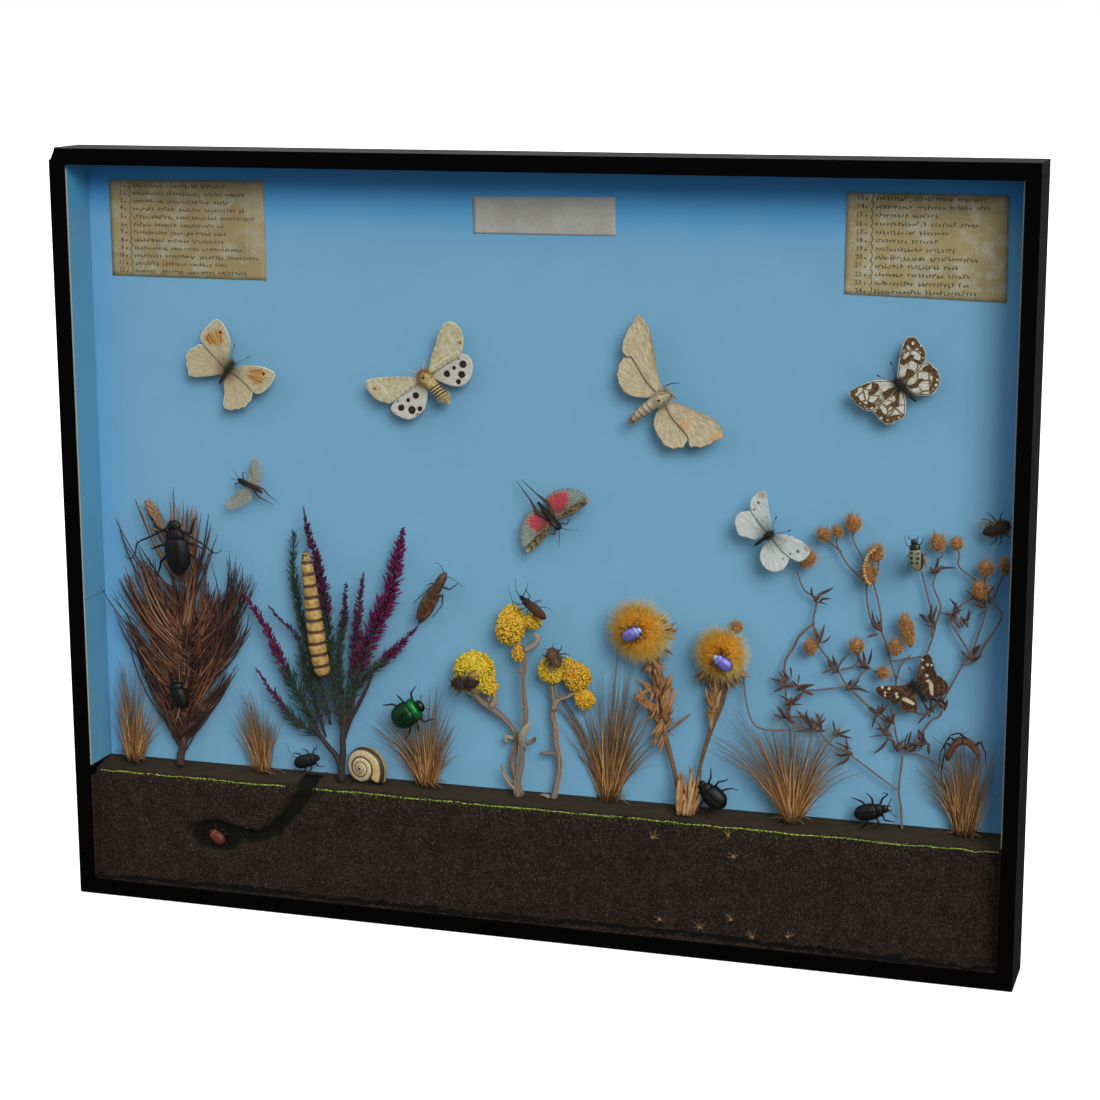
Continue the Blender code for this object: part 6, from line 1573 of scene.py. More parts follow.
map_wing = Finish("map_butterfly_wing", **WING_SHADE)
edge, vein = map_wing.read("edge", "vein")
shade = (map_wing.mix(map_wing.on_wing(5, 2.5).rise(0.35, 0.65), (34, 25, 19), (66, 46, 30))
    .coat((map_wing.read("rust") + (map_wing.noise(0.9) - 0.5) * 0.4).rise(0.25, -0.15) * 0.55, 118, 74, 38)
    .coat(vein.rise(0.28, 0.1) * 0.5, 120, 88, 58)
    .coat((map_wing.read("cream") + (map_wing.noise(1.0) - 0.5) * 1.0).rise(0.2, -0.15) * 0.9, 196, 184, 150))
shade = shade.coat(edge.rise(0.4, 0.2) * 0.35, 150, 136, 108)
map_wing.drive(Base_Color=shade).bump(map_wing.noise(0.35, 2), 0.04)
wings.build("map_wings", map_wing, "patterned_scales", "map_butterfly", place=place)
body = Heap(82)
path = rod(body, ((-0.6, 3.2, 1), (-0.4, 2, 1.1), (-0.1, 0, 1.2), (-0.4, -3, 0.9), (-0.7, -6, 0.7), (-1, -9.2, 0.5)),
    (0.8, 1.2, 1.5, 1.1, 0.9, 0.3), 12, 0.7)
fur(body, path, 0.0, 0.5, 300, 1.2, 0.5, tint=0.1)
fur(body, path, 0.4, 1.0, 150, 0.9, 1.0, tint=1.0)
feelers(body, (-0.6, 3, 1), ((-4.8, 10), (3.2, 10)), True, 0.2)
pinned(body)
body.build("map_body", dark_fur, "fur", place=place)


# The grasshoppers: one with cream wings over the heather, one with red hindwings in the middle,
# and one brown one with closed wings that climbs the heather. All are dried and pinned or stuck.


def legs(heap, pairs, tint=0.0, radii=(0.42, 0.36, 0.24, 0.12), sides=7):
    """Jointed legs through these points, each given as x, y and perhaps z."""
    for path in pairs:
        points = [(p[0], p[1], p[2] if len(p) > 2 else 0.2) for p in path]
        fine = []
        for a, b in zip(points[:-1], points[1:]):
            fine += [np.array(a) + (np.array(b) - a) * k for k in (0, 0.2, 0.5, 0.8)]
        fine.append(np.array(points[-1]))
        width = np.interp(np.linspace(0, 1, len(fine)), np.linspace(0, 1, len(radii)), radii)
        rod(heap, np.array(fine), width, sides, 0.8, tint=tint)


def both_sides(paths):
    """These paths on the right, and the same on the left."""
    return list(paths) + [[(-p[0], *p[1:]) for p in path] for path in paths]


def eyes(heap, x, y, z, size, upward=0.3, tint=0.0):
    """Two round eyes, x to each side of a head."""
    beads(heap, np.array([(x, y, z), (-x, y, z)]), np.array([(1, 0, upward), (-1, 0, upward)]), (size, size), tint,
        sides=8)


membrane = Finish("dry_membrane", rough=0.4, shine=0.4)
vein = membrane.read("vein")
net = membrane.grains(1.3, feature="DISTANCE_TO_EDGE").rise(0.09, 0.03)
shade = (membrane.mix(membrane.on_wing(4, 3).rise(0.3, 0.7), (150, 136, 108), (196, 186, 158))
    .coat(membrane.read("glow").rise(0.4, -0.8) * 0.8, 176, 172, 84)
    .coat(vein.rise(0.35, 0.12).most(net * 0.6) * 0.6, 96, 80, 60)
    .coat((membrane.read("dark") + (membrane.noise(0.8) - 0.5) * 0.6).rise(0.25, -0.2) * 0.9, 46, 36, 30))
membrane.drive(Base_Color=shade, Alpha=0.3 + vein.rise(0.35, 0.12) * 0.4).bump(membrane.noise(0.5), 0.05)

dry = hairy("dry_insect", (20, 15, 13), (128, 104, 76), (96, 52, 30))

place = specimen(-154.3, 225.7, 7, 57)
wings = Wings(91, dark=((8.6, 2.8, .55), (4.6, 1.8, .5), (12.4, 3.4, .4), (-4.8, 2, .55), (-8.3, 3.2, .6),
        (-9.5, 1.3, .4), (-13, 3.4, .4)),
    glow=(((3.3, 2.2), (11.4, 1.9), (11.4, 0.9), (3.3, 1.0)), ((-3.0, 1.4), (-10, 1.6), (-10, 0.9),
            (-3.0, 0.6))))
wings.sheet([(2.9, .9), (6.9, 2.2), (10.8, 3.6), (15, 4), (15.7, 2), (15.2, .2), (12.1, -3.7), (7.7, -5.9),
        (3.7, -5.8)], (0.8, 0), 0.6, 0.9, count=9, scallop=0.3)
wings.sheet(left([(2.5, .4), (6.9, 1.9), (12.2, 3.7), (16.5, 4.1), (17.1, .8), (14.2, -2.5), (9, -5.5), (3.9, -6.4)]),
    (-0.8, 0), 0.6, 0.9, count=9, scallop=0.3)
wings.build("pale_grasshopper_wings", membrane, "cream_scales", "pale_grasshopper", place=place)
body = Heap(92)
rod(body, ((-0.2, 4.9, 1.0), (-0.1, 3.4, 1.2), (0.2, 1.4, 1.5), (0.7, -2.4, 1.2), (1.1, -6, 1.0), (1.6, -9.6, 0.8)),
    (0.9, 1.6, 1.8, 1.6, 1.3, 0.7), 12, 0.7, 0.8)
rod(body, ((0.6, 1.6, 2.6), (0.9, -2, 2.3), (1.4, -8.2, 1.6)), (0.5, 0.5, 0.3), 8, 0.7, 0.6, tint=0.5)
rod(body, ((-0.6, 1.6, 2.4), (-0.4, -2, 2.2), (0.4, -7.4, 1.6)), (0.35, 0.35, 0.2), 8, 0.7, 0.6, tint=0.6)
legs(body, (((1.4, -2, 0.2), (3.4, -9.4, 0.8), (2.2, -14, 0.4), (2.1, -19.3, 0)), ((0.4, -2, 0.2), (-1.6, -9.6, 0.8),
            (-0.9, -14, 0.4), (-0.7, -17.5, 0))), 0.15, (0.9, 0.5, 0.26, 0.12))
legs(body, (((1, 2.6, 0.4), (3.6, 5, 0.4), (5, 3.2, 0)), ((-1, 2.6, 0.4), (-3.6, 5.4, 0.4), (-5.4, 4, 0))), 0.1,
    (0.34, 0.28, 0.12))
legs(body, (((0.3, 5, 1), (1.6, 8, 1.2), (2.4, 10, 0.8)), ((-0.5, 5, 1), (-2, 7.8, 1.2), (-3.4, 9.4, 0.8))), 0.1,
    (0.16, 0.14, 0.06))
pinned(body, 0.8, 4.2, -6)
body.build("pale_grasshopper_body", dry, "dry_insect", place=place)

place = specimen(11.9, 216.4, 7, -138)
wings = Wings(93, red=(((10.1, -8.1), (4.4, -8.7), (1.6, -1.4), (3.1, .6), (10.5, -.4), (11.9, -5.2)),
        ((-3.1, -9.2), (-9, -9.6), (-14.8, -5.6), (-13.3, -2.6), (-8.9, -.4), (-3.4, -1),
            (-3.1, -4.8))))
wings.sheet([(6, 0.6), (14, 0.9), (21.5, 1.6), (21.3, -1), (19, -5), (14.4, -8.7), (8.7, -10.7), (3.5, -9.5),
        (1.4, -5)], (0.8, -0.6), 0, 0.8, 1.0, count=12, cell=0.25, scallop=0.5)
wings.sheet([(-6, 0.6), (-14, 0.9), (-21.5, 1.6), (-21.3, -1), (-19, -5), (-14.4, -8.7), (-8.7, -10.7), (-3.5, -9.5),
        (-1.4, -5)], (-0.8, -0.6), 0, 0.8, 1.0, count=12, cell=0.25, scallop=0.5)
red_wing = Finish("red_wing", rough=0.5, shine=0.35)
edge, vein = red_wing.read("edge", "vein")
stain = (red_wing.read("red") + (red_wing.noise(2.4, 3) - 0.5) * 1.8).rise(1.6, -1.0)
shade = (red_wing.mix(red_wing.on_wing(3, 3).rise(0.3, 0.7), (132, 142, 126), (164, 172, 150))
    .coat(stain, red_wing.mix(red_wing.on_wing(3, 2).rise(0.3, 0.7), (168, 44, 58), (200, 76, 88)))
    .coat(vein.rise(0.4, 0.12) * 0.7, 74, 52, 44)
    .coat(edge.rise(1.4, 0.4) * 0.5, 90, 84, 70))
red_wing.drive(Base_Color=shade, Alpha=0.56 + stain * 0.4 + vein.rise(0.4, 0.12) * 0.2)
red_wing.bump(red_wing.on_wing(2.5, 30), 0.25)
wings.build("red_grasshopper_wings", red_wing, "red_wing", "red_grasshopper", place=place)
wings = Wings(94, dark=((7, 1.6, .7), (10.5, 2.8, .8), (14.4, 2.4, .7), (18, 3.8, .8), (-7, 1.6, .7),
        (-10.5, 2.8, .8), (-14.4, 2.4, .7), (-18, 3.8, .8)),
    glow=((20.5, 3.6, 1.0), (-21.5, 4, 1.0)))
wings.sheet([(2.9, .2), (7.8, .4), (14, 1.2), (19.9, 2), (22.5, 3.6), (20, 5), (12, 5), (4, 2.7)], (1.0, 0.9), 0.9,
    0.9, count=7)
wings.sheet([(-2.9, .2), (-7.8, .6), (-14, 1.6), (-19.9, 2.2), (-22.7, 3.7), (-20, 5.2), (-12, 5), (-4, 2.7)],
    (-1.0, 0.9), 0.9, 0.9, count=7)
amber = Finish("wing_case", rough=0.45, shine=0.4)
vein = amber.read("vein")
shade = (amber.mix(amber.noise(1.5, 4).rise(0.35, 0.65), (66, 54, 38), (128, 112, 78))
    .coat((amber.read("dark") + (amber.noise(1.0) - 0.5)).rise(0.4, -0.3) * 0.8, 34, 25, 22)
    .coat(amber.read("glow").rise(0.8, -0.4) * 0.6, 176, 160, 126)
    .coat(vein.rise(0.25, 0.08) * 0.5, 46, 34, 28))
amber.drive(Base_Color=shade).bump(amber.noise(0.6, 3), 0.1)
wings.build("red_grasshopper_cases", amber, "red_wing", place=place)
body = Heap(95)
rod(body, ((0, 6.2, 1.0), (0, 4.6, 1.2), (0, 2.4, 1.6), (0, -1, 1.6), (0, -5, 1.3), (0, -11.5, 1.0)),
    (1.1, 1.9, 2.2, 2.0, 1.6, 0.7), 12, 0.7, 0.85)
rod(body, ((0, 4.4, 3.0), (0, 2, 3.4), (0, -1, 3.0)), (0.5, 0.7, 0.4), 8, 0.6, 0.6, tint=0.35)
eyes(body, 1.3, 5.2, 1.6, 0.55)
legs(body, (((1.2, -1, 0.4), (3.6, -8, 1.4), (2.3, -15.4, 0.8), (2.1, -21, 0.4), (1.9, -26.6, 0)),
        ((-1.2, -1, 0.4), (-3.8, -8, 1.4), (-2.4, -14.5, 0.8), (-1.4, -20, 0.4), (-.6, -25.5, 0))), 0.1,
    (1.2, 1.0, 0.4, 0.28, 0.12))
legs(body, (((1, 3.4, 0.4), (4.4, 6.2, 0.4), (6.2, 4.6, 0), (7.4, 4.8, 0)), ((-1, 3.4, 0.4), (-4.2, 6.4, 0.4),
            (-6.4, 5.4, 0), (-7.6, 5.8, 0))), 0.1, (0.4, 0.34, 0.22, 0.1))
legs(body, (((0.6, 6, 1), (3.6, 9.6, 1.4), (7, 12.5, 0.8)), ((-0.6, 6, 1), (-3.4, 9.4, 1.4), (-7, 12.5, 0.8))), 0.05,
    (0.2, 0.17, 0.08))
pinned(body, 1.4, 5, -6)
body.build("red_grasshopper_body", dry, "dry_insect", place=place)


def between(tail, head, lift):
    """An insect that lies from tail to head, both x and z in the case."""
    return specimen((tail[0] + head[0]) / 2, (tail[1] + head[1]) / 2, lift,
        math.degrees(math.atan2(tail[0] - head[0], head[1] - tail[1])))


def seen(place, points, heights=(0.2,)):
    """Points given as x and z in the case, in the insect's own place."""
    back = place.inverted()
    found = []
    for k, (x, z) in enumerate(points):
        local = back @ Vector((x, place.translation.y, z))
        found.append((local.x, local.y, heights[min(k, len(heights) - 1)]))
    return found


place = between((-59.7, 159.1), (-44.1, 186.4), 9)
body = Heap(96)
rod(body, ((0, 15.4, 1.6), (0, 13, 1.8), (0, 9, 2.0), (0, 3, 1.8), (0, -6, 1.4), (0, -12, 1.0), (0.2, -15.4, 0.8)),
    (1.2, 2.4, 2.9, 3.2, 3.1, 2.2, 0.6), 14, 0.8, 0.85, tint=0.8)
for side in (-1, 1):
    t = np.linspace(0, 1, 14)
    path = np.column_stack([side * (1.0 + 1.6 * np.sin(np.pi * t * 0.9)), 7.6 - 22.5 * t, 4.1 - 2.4 * t])
    strands(body, path[None], np.sin(np.pi * np.clip(0.08 + 0.9 * t, 0, 1)) ** 0.6 * 1.9, 10, 0.2,
        np.array((side * 0.55, 0, 0.85)), tint=0.62 if side < 0 else 0.9)
eyes(body, 1.7, 13.2, 2.4, 0.6)
legs(body, (seen(place, ((-49, 171), (-48.4, 176), (-52.2, 178.4), (-62.7, 168.6)), (1, 1, 1.6, 0)),
        seen(place, ((-50.5, 172.5), (-46, 174.4), (-46.4, 169), (-52.1, 161.8)), (1, 1.4, 1.6, 0)),
        seen(place, ((-48.5, 179), (-42.4, 177.4), (-37.5, 181.2)), (1, 0.8, 0)),
        seen(place, ((-48.4, 177), (-52, 180), (-54.6, 179)), (1, 0.8, 0))), 0.0, (0.8, 0.5, 0.3, 0.15))
legs(body, (seen(place, ((-44.2, 183), (-43.6, 184.1), (-40.8, 183.5), (-38.1, 181.4), (-34.5, 178.1)),
            (1.6, 1.6, 1.6, 1.2, 0.8)),
        seen(place, ((-45.8, 184), (-45.4, 186.5), (-46.5, 189.4), (-49.2, 191.2), (-51.4, 190)),
            (1.6, 1.6, 1.4, 1.2, 0.8))), 0.0, (0.22, 0.2, 0.17, 0.12, 0.08))
t = np.linspace(0, 1, 6)[:, None]
tailpiece = np.array((0.2, -12.5, 1.2)) + t * (0.4, -5.2, -0.8)
strands(body, tailpiece[None], (0.9, 1.3, 1.2, 0.9, 0.6, 0.2), 8, 0.5, tint=0.1)
finish = Finish("brown_grasshopper", rough=0.5, shine=0.4)
tint, along = finish.read("tint", "along")
shade = (finish.ramp(tint, (0, 34, 26, 24), (0.3, 48, 30, 32), (0.6, 104, 88, 56), (0.8, 94, 60, 36),
        (1, 112, 82, 50))
    .coat(finish.noise(1.3, 4, 0.6, (1, 1, 1.6)).rise(0.46, 0.54) * 0.85, 46, 28, 18)
    .coat(along.wave(0.075).rise(0.2, 0.8) * tint.rise(0.75, 0.79) * tint.rise(0.86, 0.82) * along.rise(0.02, 0.1)
        * along.rise(0.55, 0.4) * 0.5, 44, 26, 20))
finish.drive(Base_Color=shade).bump(finish.noise(0.6, 3), 0.12)
body.build("brown_grasshopper", finish, "dry_insect", "brown_grasshopper", place=place)


# The beetles: real dried beetles with hard shells. Each has a head, a chest shield and two wing
# cases that meet in a seam, on six jointed legs, and is glued on by its belly.


def shell(heap, stations, thick=0.7, seam=0.0, grooves=0, tint=0.0, sides=40, z=0.0):
    """A hard shell. stations run from rear to front as y and half width, thick is its height's
    share of its width, and seam is the depth of the line down its back."""
    path = smooth([(y, w, z) for y, w in stations], max(12, int(4 + 26 * len(stations) / 6)))
    turn = np.arange(sides) * 2 * np.pi / sides
    x, height = np.cos(turn), np.sin(turn)
    top = np.exp(-(x / 0.045) ** 2) * (height > 0)
    dent = 1 - seam * top
    if grooves:
        dent = dent - 0.022 * (1 + np.cos(np.arcsin(np.clip(x, -1, 1)) * grooves * 2)) * (height > 0.1)
    width = np.clip(path[:, 1], 0.03, None)[:, None]
    domed = width * height * dent * np.where(height > 0, thick, 0.45 * thick)
    points = np.stack([width * x * dent, path[:, 0:1] + 0 * width * x, path[:, 2:3] + domed], axis=2)
    shares = np.repeat(np.linspace(0, 1, len(path)), sides)
    heap.add(points.reshape(-1, 3), tube(len(path), sides)[:, ::-1], shares, tint)


BEETLE_LEGS = (  # shares of the half width and of the length: hip, knee, foot and toe
    ((0.5, 0.27), (1.35, 0.36), (1.75, 0.5), (2.0, 0.56)),
    ((0.55, 0.08), (1.5, 0.07), (2.1, -0.02), (2.4, -0.08)),
    ((0.55, -0.08), (1.45, -0.2), (1.9, -0.38), (2.15, -0.48)),
)


WING_CASES = ((-0.5, 0.08), (-0.46, 0.42), (-0.34, 0.84), (-0.12, 1), (0.06, 0.96), (0.15, 0.8), (0.17, 0.5))
SHIELD = ((0.13, 0.55), (0.16, 1), (0.24, 1.04), (0.32, 0.84), (0.35, 0.4))
HEAD = ((0.32, 0.34), (0.37, 0.5), (0.43, 0.46), (0.49, 0.26), (0.5, 0.06))


def shelled(heap, length, width, thick=0.72, chest=0.8, seam=0.16, grooves=7, tints=(0, 0, 0), reach=1.0,
    slim=1.0, leg=0.34, chance_seed=0):
    """A beetle with its head at +y. chest is the shield's share of the width, slim is the head's,
    reach is how far the legs stand out, and tints are for the wing cases, the shield and the head."""
    half = width / 2
    shell(heap, [(y * length, w * half) for y, w in WING_CASES], thick, seam, grooves, tints[0], z=0.3)
    shell(heap, [(y * length, w * chest * half) for y, w in SHIELD], thick * 0.86, 0.03, 0, tints[1], z=0.3)
    cheeks = [(y * length, w * half * (slim if 0.32 < y < 0.5 else 1)) for y, w in HEAD]
    shell(heap, cheeks, thick * 0.8, 0.0, 0, tints[2], z=0.1)
    chance = np.random.default_rng(chance_seed)
    for side in (-1, 1):
        for hip, *joints in BEETLE_LEGS:
            path = [(side * hip[0] * half, hip[1] * length, -0.2)]
            path += [(side * (1 + (out - 1) * reach) * half, (y + shift) * length, z)
                for (out, y), shift, z in zip(joints, chance.normal(0, 0.05, 4), (0.5, -0.3, -0.8))]
            legs(heap, [path], 0.02, (leg * 1.25, leg * 1.1, leg * 0.7, leg * 0.35))


def horns(heap, length, width, spread=0.9, run=0.28, radius=0.17):
    """A beetle's feelers, spread half widths apart at their tips and run lengths long."""
    half = width / 2
    legs(heap, both_sides([[(0.25 * half, 0.47 * length, 0.4), (0.6 * half, 0.55 * length, 0.9),
                (spread * half, (0.47 + run) * length, 0.6)]]), 0.02, (radius, radius, radius * 0.8))


def lacquer(name, base, high, metallic=0.0, rough=0.28, belly=(16, 14, 16), pits=0.5, coat=0.3):
    """A shell's finish. tint 0 is black, 0.5 the shell's colour and 1 a brighter one."""
    finish = Finish(name, shine=0.24, Coat_Weight=coat, Coat_Roughness=0.25)
    tint = finish.read("tint")
    shade = (finish.ramp(tint, (0, *belly), (0.2, *belly), (0.5, *base), (1, *high))
        .coat(finish.noise(1.6, 4).rise(0.4, 0.7) * 0.35, [c * 0.55 for c in base]))
    finish.drive(Base_Color=shade, Roughness=rough + finish.noise(1.2, 3) * 0.2, Metallic=tint.rise(0.2, 0.5)
        * metallic)
    return finish.bump(finish.noise(0.28, 3) + finish.noise(0.9, 3), 0.06 * pits)


jet = lacquer("black_shell", (6, 6, 6), (11, 10, 11), rough=0.36, belly=(5, 5, 5), pits=2.0, coat=0.05)

place = between((-190, 177), (-193, 206), 15)
beetle = Heap(101)
shelled(beetle, 29, 14.2, 0.6, 0.74, 0.12, 3, (0.5, 0.5, 0.5), 0.85, 1.15, 0.6)
eyes(beetle, 2.1, 10.6, 2.0, 0.7, 0.4, 0.5)
for run in (((-193, 203), (-197, 201.4), (-205, 197), (-213, 193), (-215, 187), (-218, 184), (-221, 185)),
    ((-191.8, 202.6), (-184, 199), (-176, 195), (-171, 191), (-168, 190), (-165.6, 192))):
    path = np.array(seen(place, run, (2.2, 2.6, 2.6, 2.0, 1.6, 1.4, 1.2)))
    fine = rod(beetle, path, np.linspace(0.55, 0.2, len(path)), 8, 0.7, tint=0.3)
    beads(beetle, fine[4::4, :3], np.gradient(fine[:, :3], axis=0)[4::4] * 1.4, fine[4::4, 3] * 1.45, 0.3, sides=7)
beetle.build("longhorn_beetle", jet, "black_shell", "longhorn_beetle", place=place)

place = between((-191, 103), (-198, 120), 12.5)
beetle = Heap(102)
shelled(beetle, 17, 9, 0.7, 0.85, 0.12, 5, (0.5, 0.5, 0.5), 0.9, leg=0.4)
horns(beetle, 17, 9)
beetle.build("branch_beetle", lacquer("green_black_shell", (12, 20, 16), (20, 40, 28), 0.4, 0.4, (8, 9, 8), 2.0, 0.1),
    "black_shell", "branch_beetle", place=place)

place = between((-74, 105), (-56, 117), 12.4)
beetle = Heap(103)
shelled(beetle, 20, 13.4, 0.76, 0.9, 0.12, 8, (0.62, 1.0, 0.42), 0.5, leg=0.5)
horns(beetle, 20, 12.6, 0.7, 0.16)
beetle.build("green_chafer", lacquer("green_shell", (7, 24, 15), (20, 112, 48), 0.8, 0.32, (8, 10, 9), 2.4),
    "green_shell", "green_chafer", place=place)

place = between((11, 167), (-3, 178), 16)
beetle = Heap(104)
shelled(beetle, 17.6, 5.2, 0.7, 0.8, 0.1, 4, (0.5, 0.9, 0.2), 1.0, leg=0.22)
legs(beetle, (seen(place, ((2, 173), (-5, 170), (-7, 176), (-9, 182)), (0.2, 1, 0.4, 0)),
        seen(place, ((-2.6, 177.6), (-4.6, 181), (-5, 187)), (0.4, 0.8, 0.4)),
        seen(place, ((-1.4, 178), (1, 182), (1.6, 185.5)), (0.4, 0.8, 0.4)),
        seen(place, ((4, 172.6), (6.6, 175.4), (9, 176)), (0.2, 0.8, 0))), 0.1, (0.24, 0.2, 0.12, 0.08))
beetle.build("slim_beetle", lacquer("slim_shell", (70, 42, 27), (26, 19, 16), rough=0.55, pits=2.6, coat=0.0),
    "black_shell", "slim_beetle", place=place)

violet = lacquer("blue_shell", (122, 116, 200), (176, 206, 234), 0.5, 0.24, (14, 10, 18), 2.6, 0.4)
for name, node, tail, front in (("blue_beetle_one", "blue_beetle_left", (52.4, 161.4), (61.6, 166.4)),
    ("blue_beetle_two", "blue_beetle_right", (108.4, 149.2), (97.8, 156))):
    place = between(tail, front, 21.6)
    beetle = Heap(105)
    shelled(beetle, 10.6, 6.2, 0.58, 0.86, 0.1, 6, (0.5, 0.62, 0.85), 0.8, leg=0.24)
    shell(beetle, ((-5.6, 0.3), (-4.9, 1.9), (-3, 3.0), (0, 3.4), (2.6, 3.1), (4.2, 2.2), (4.8, 0.6)), 0.18, 0, 0,
        0.0, z=-0.25)
    beetle.build(name, violet, "blue_shell", node, place=place)

for name, node, tail, front, lift, width, seed in (
    ("ground_beetle_one", "black_beetle_left", (103, 75.6), (89, 87), 11.4, 11, 3),
    ("ground_beetle_two", "black_beetle_right", (167.5, 76.6), (184.6, 81.4), 8.4, 8.6, 6)):
    place = between(tail, front, lift)
    length = math.dist(tail, front)
    beetle = Heap(106)
    shelled(beetle, length, width, 0.7, 0.74, 0.14, 8, (0.5, 0.5, 0.5), 0.85, leg=0.45, chance_seed=seed)
    horns(beetle, length, width, 1.2, 0.2, 0.2)
    legs(beetle, both_sides([[(0.8, 0.48 * length, 0.3), (1.5, 0.55 * length, 0.5), (0.5, 0.6 * length, 0.3)]]), 0.1,
        (0.5, 0.4, 0.1))
    beetle.build(name, jet, "black_shell", node, place=place)

place = between((-131.6, 76.4), (-117, 81.4), 7)
beetle = Heap(107)
shelled(beetle, 15.4, 7.2, 0.66, 0.9, 0.1, 0, (0.5, 0.5, 0.6), 0.6, leg=0.34, chance_seed=2)
legs(beetle, (seen(place, ((-130, 79), (-133.4, 83), (-135.6, 88)), (0.6, 1.4, 0.4)),
        seen(place, ((-120, 82), (-118, 85), (-121, 87)), (0.6, 1.2, 0.4))), 0.1, (0.16, 0.14, 0.08))
beetle.build("dark_bug", lacquer("bug_shell", (12, 11, 13), (26, 22, 26), rough=0.42, pits=2.5, coat=0.1),
    "black_shell", "dark_bug", place=place)

place = between((197.4, 204.2), (195.2, 219.6), 19.2)
beetle = Heap(108)
shelled(beetle, 15.6, 7.0, 0.62, 0.72, 0.1, 0, (1.0, 0.2, 0.1), 0.3, leg=0.2, chance_seed=4)
horns(beetle, 15.6, 8.0, 0.6, 0.14, 0.2)
finish = Finish("bee_beetle_shell", rough=0.4, shine=0.45)
tint = finish.read("tint")
up, side = finish.axis(2) - 212.5, finish.axis(0) - 196.1
blot = None
for x, z, radius in ((-1.5, 0.6, 0.62), (1.5, 0.6, 0.62), (-1.55, -1.9, 0.7), (1.55, -1.9, 0.7), (-1.2, -4.2, 0.6),
    (1.2, -4.2, 0.6)):
    dx, dz = side - x, up - z
    ring = (radius + 0.12) - (dx * dx + dz * dz).math("SQRT")
    blot = ring if blot is None else blot.most(ring)
shade = (finish.mix(tint.rise(0.4, 0.8), (14, 12, 14), (116, 116, 90))
    .coat(blot.rise(-0.05, 0.12) * tint.rise(0.4, 0.8), 30, 26, 26)
    .coat(abs(side).rise(2.7, 3.2) * tint.rise(0.4, 0.8), 36, 30, 28))
finish.drive(Base_Color=shade).bump(finish.noise(0.4, 3), 0.06)
beetle.build("bee_beetle", finish, "black_shell", "bee_beetle", place=place)

place = between((-170.6, 31.6), (-178.2, 37.2), 13.9)
beetle = Heap(109)
shelled(beetle, 10.5, 6.6, 0.7, 0.8, 0.12, 0, (0.5, 0.9, 0.2), 0.6, leg=0.3, chance_seed=5)
horns(beetle, 10.5, 6.6, 0.9, 0.2)
beetle.build("burrow_beetle", lacquer("orange_shell", (92, 40, 24), (120, 60, 36), rough=0.45, belly=(34, 18, 14),
        pits=2.2, coat=0.1), "orange_shell", "burrow_beetle", place=place)

place = between((228, 114), (214, 114), 13)
cricket = Heap(110)
hump = np.array(seen(place, ((228.6, 110.6), (227.6, 115), (224, 119.4), (219.4, 120), (216, 117), (214.6, 113)),
        (0.4,)))
rod(cricket, hump, (0.5, 1.5, 2.1, 2.4, 2.0, 1.0), 14, 0.7, 0.85, tint=0.6)
rod(cricket, seen(place, ((215.6, 116), (213.8, 112.4), (213.6, 109.8)), (0.6,)), (1.6, 2.0, 0.8), 12, 0.7, 0.9,
    tint=0.45)
legs(cricket, (seen(place, ((218, 119), (214.8, 122), (212.4, 119), (211.4, 110)), (1, 1.6, 0.6, 0)),
        seen(place, ((217, 117), (212.6, 119), (210, 113.8), (209, 104)), (1, 1.6, 0.6, 0)),
        seen(place, ((223, 121), (219, 124.6), (214.6, 123), (212.6, 119.8)), (1, 2.2, 1.4, 0.4)),
        seen(place, ((226, 118), (229.4, 121), (231.6, 115), (232, 108)), (1, 1.6, 0.6, 0)),
        seen(place, ((215.7, 113), (211.9, 112.5), (210.6, 104), (211, 97)), (1, 1.8, 0.6, 0))), 0.0,
    (0.62, 0.45, 0.28, 0.14))
legs(cricket, (seen(place, ((214.6, 112), (211, 118), (205, 122)), (1, 1.4, 1)),
        seen(place, ((215, 113), (217, 121.6), (224, 126)), (1, 2.4, 1))), 0.0, (0.2, 0.16, 0.07))
finish = lacquer("cricket_shell", (84, 52, 36), (120, 82, 58), rough=0.6, belly=(30, 22, 18), pits=4.0, coat=0.0)
cricket.build("hanging_cricket", finish, "orange_shell", "hanging_cricket", place=place)


# The bees: furry bodies with clear veined wings, dried on the flower heads, and a bumblebee
# half hidden by the case's right edge.


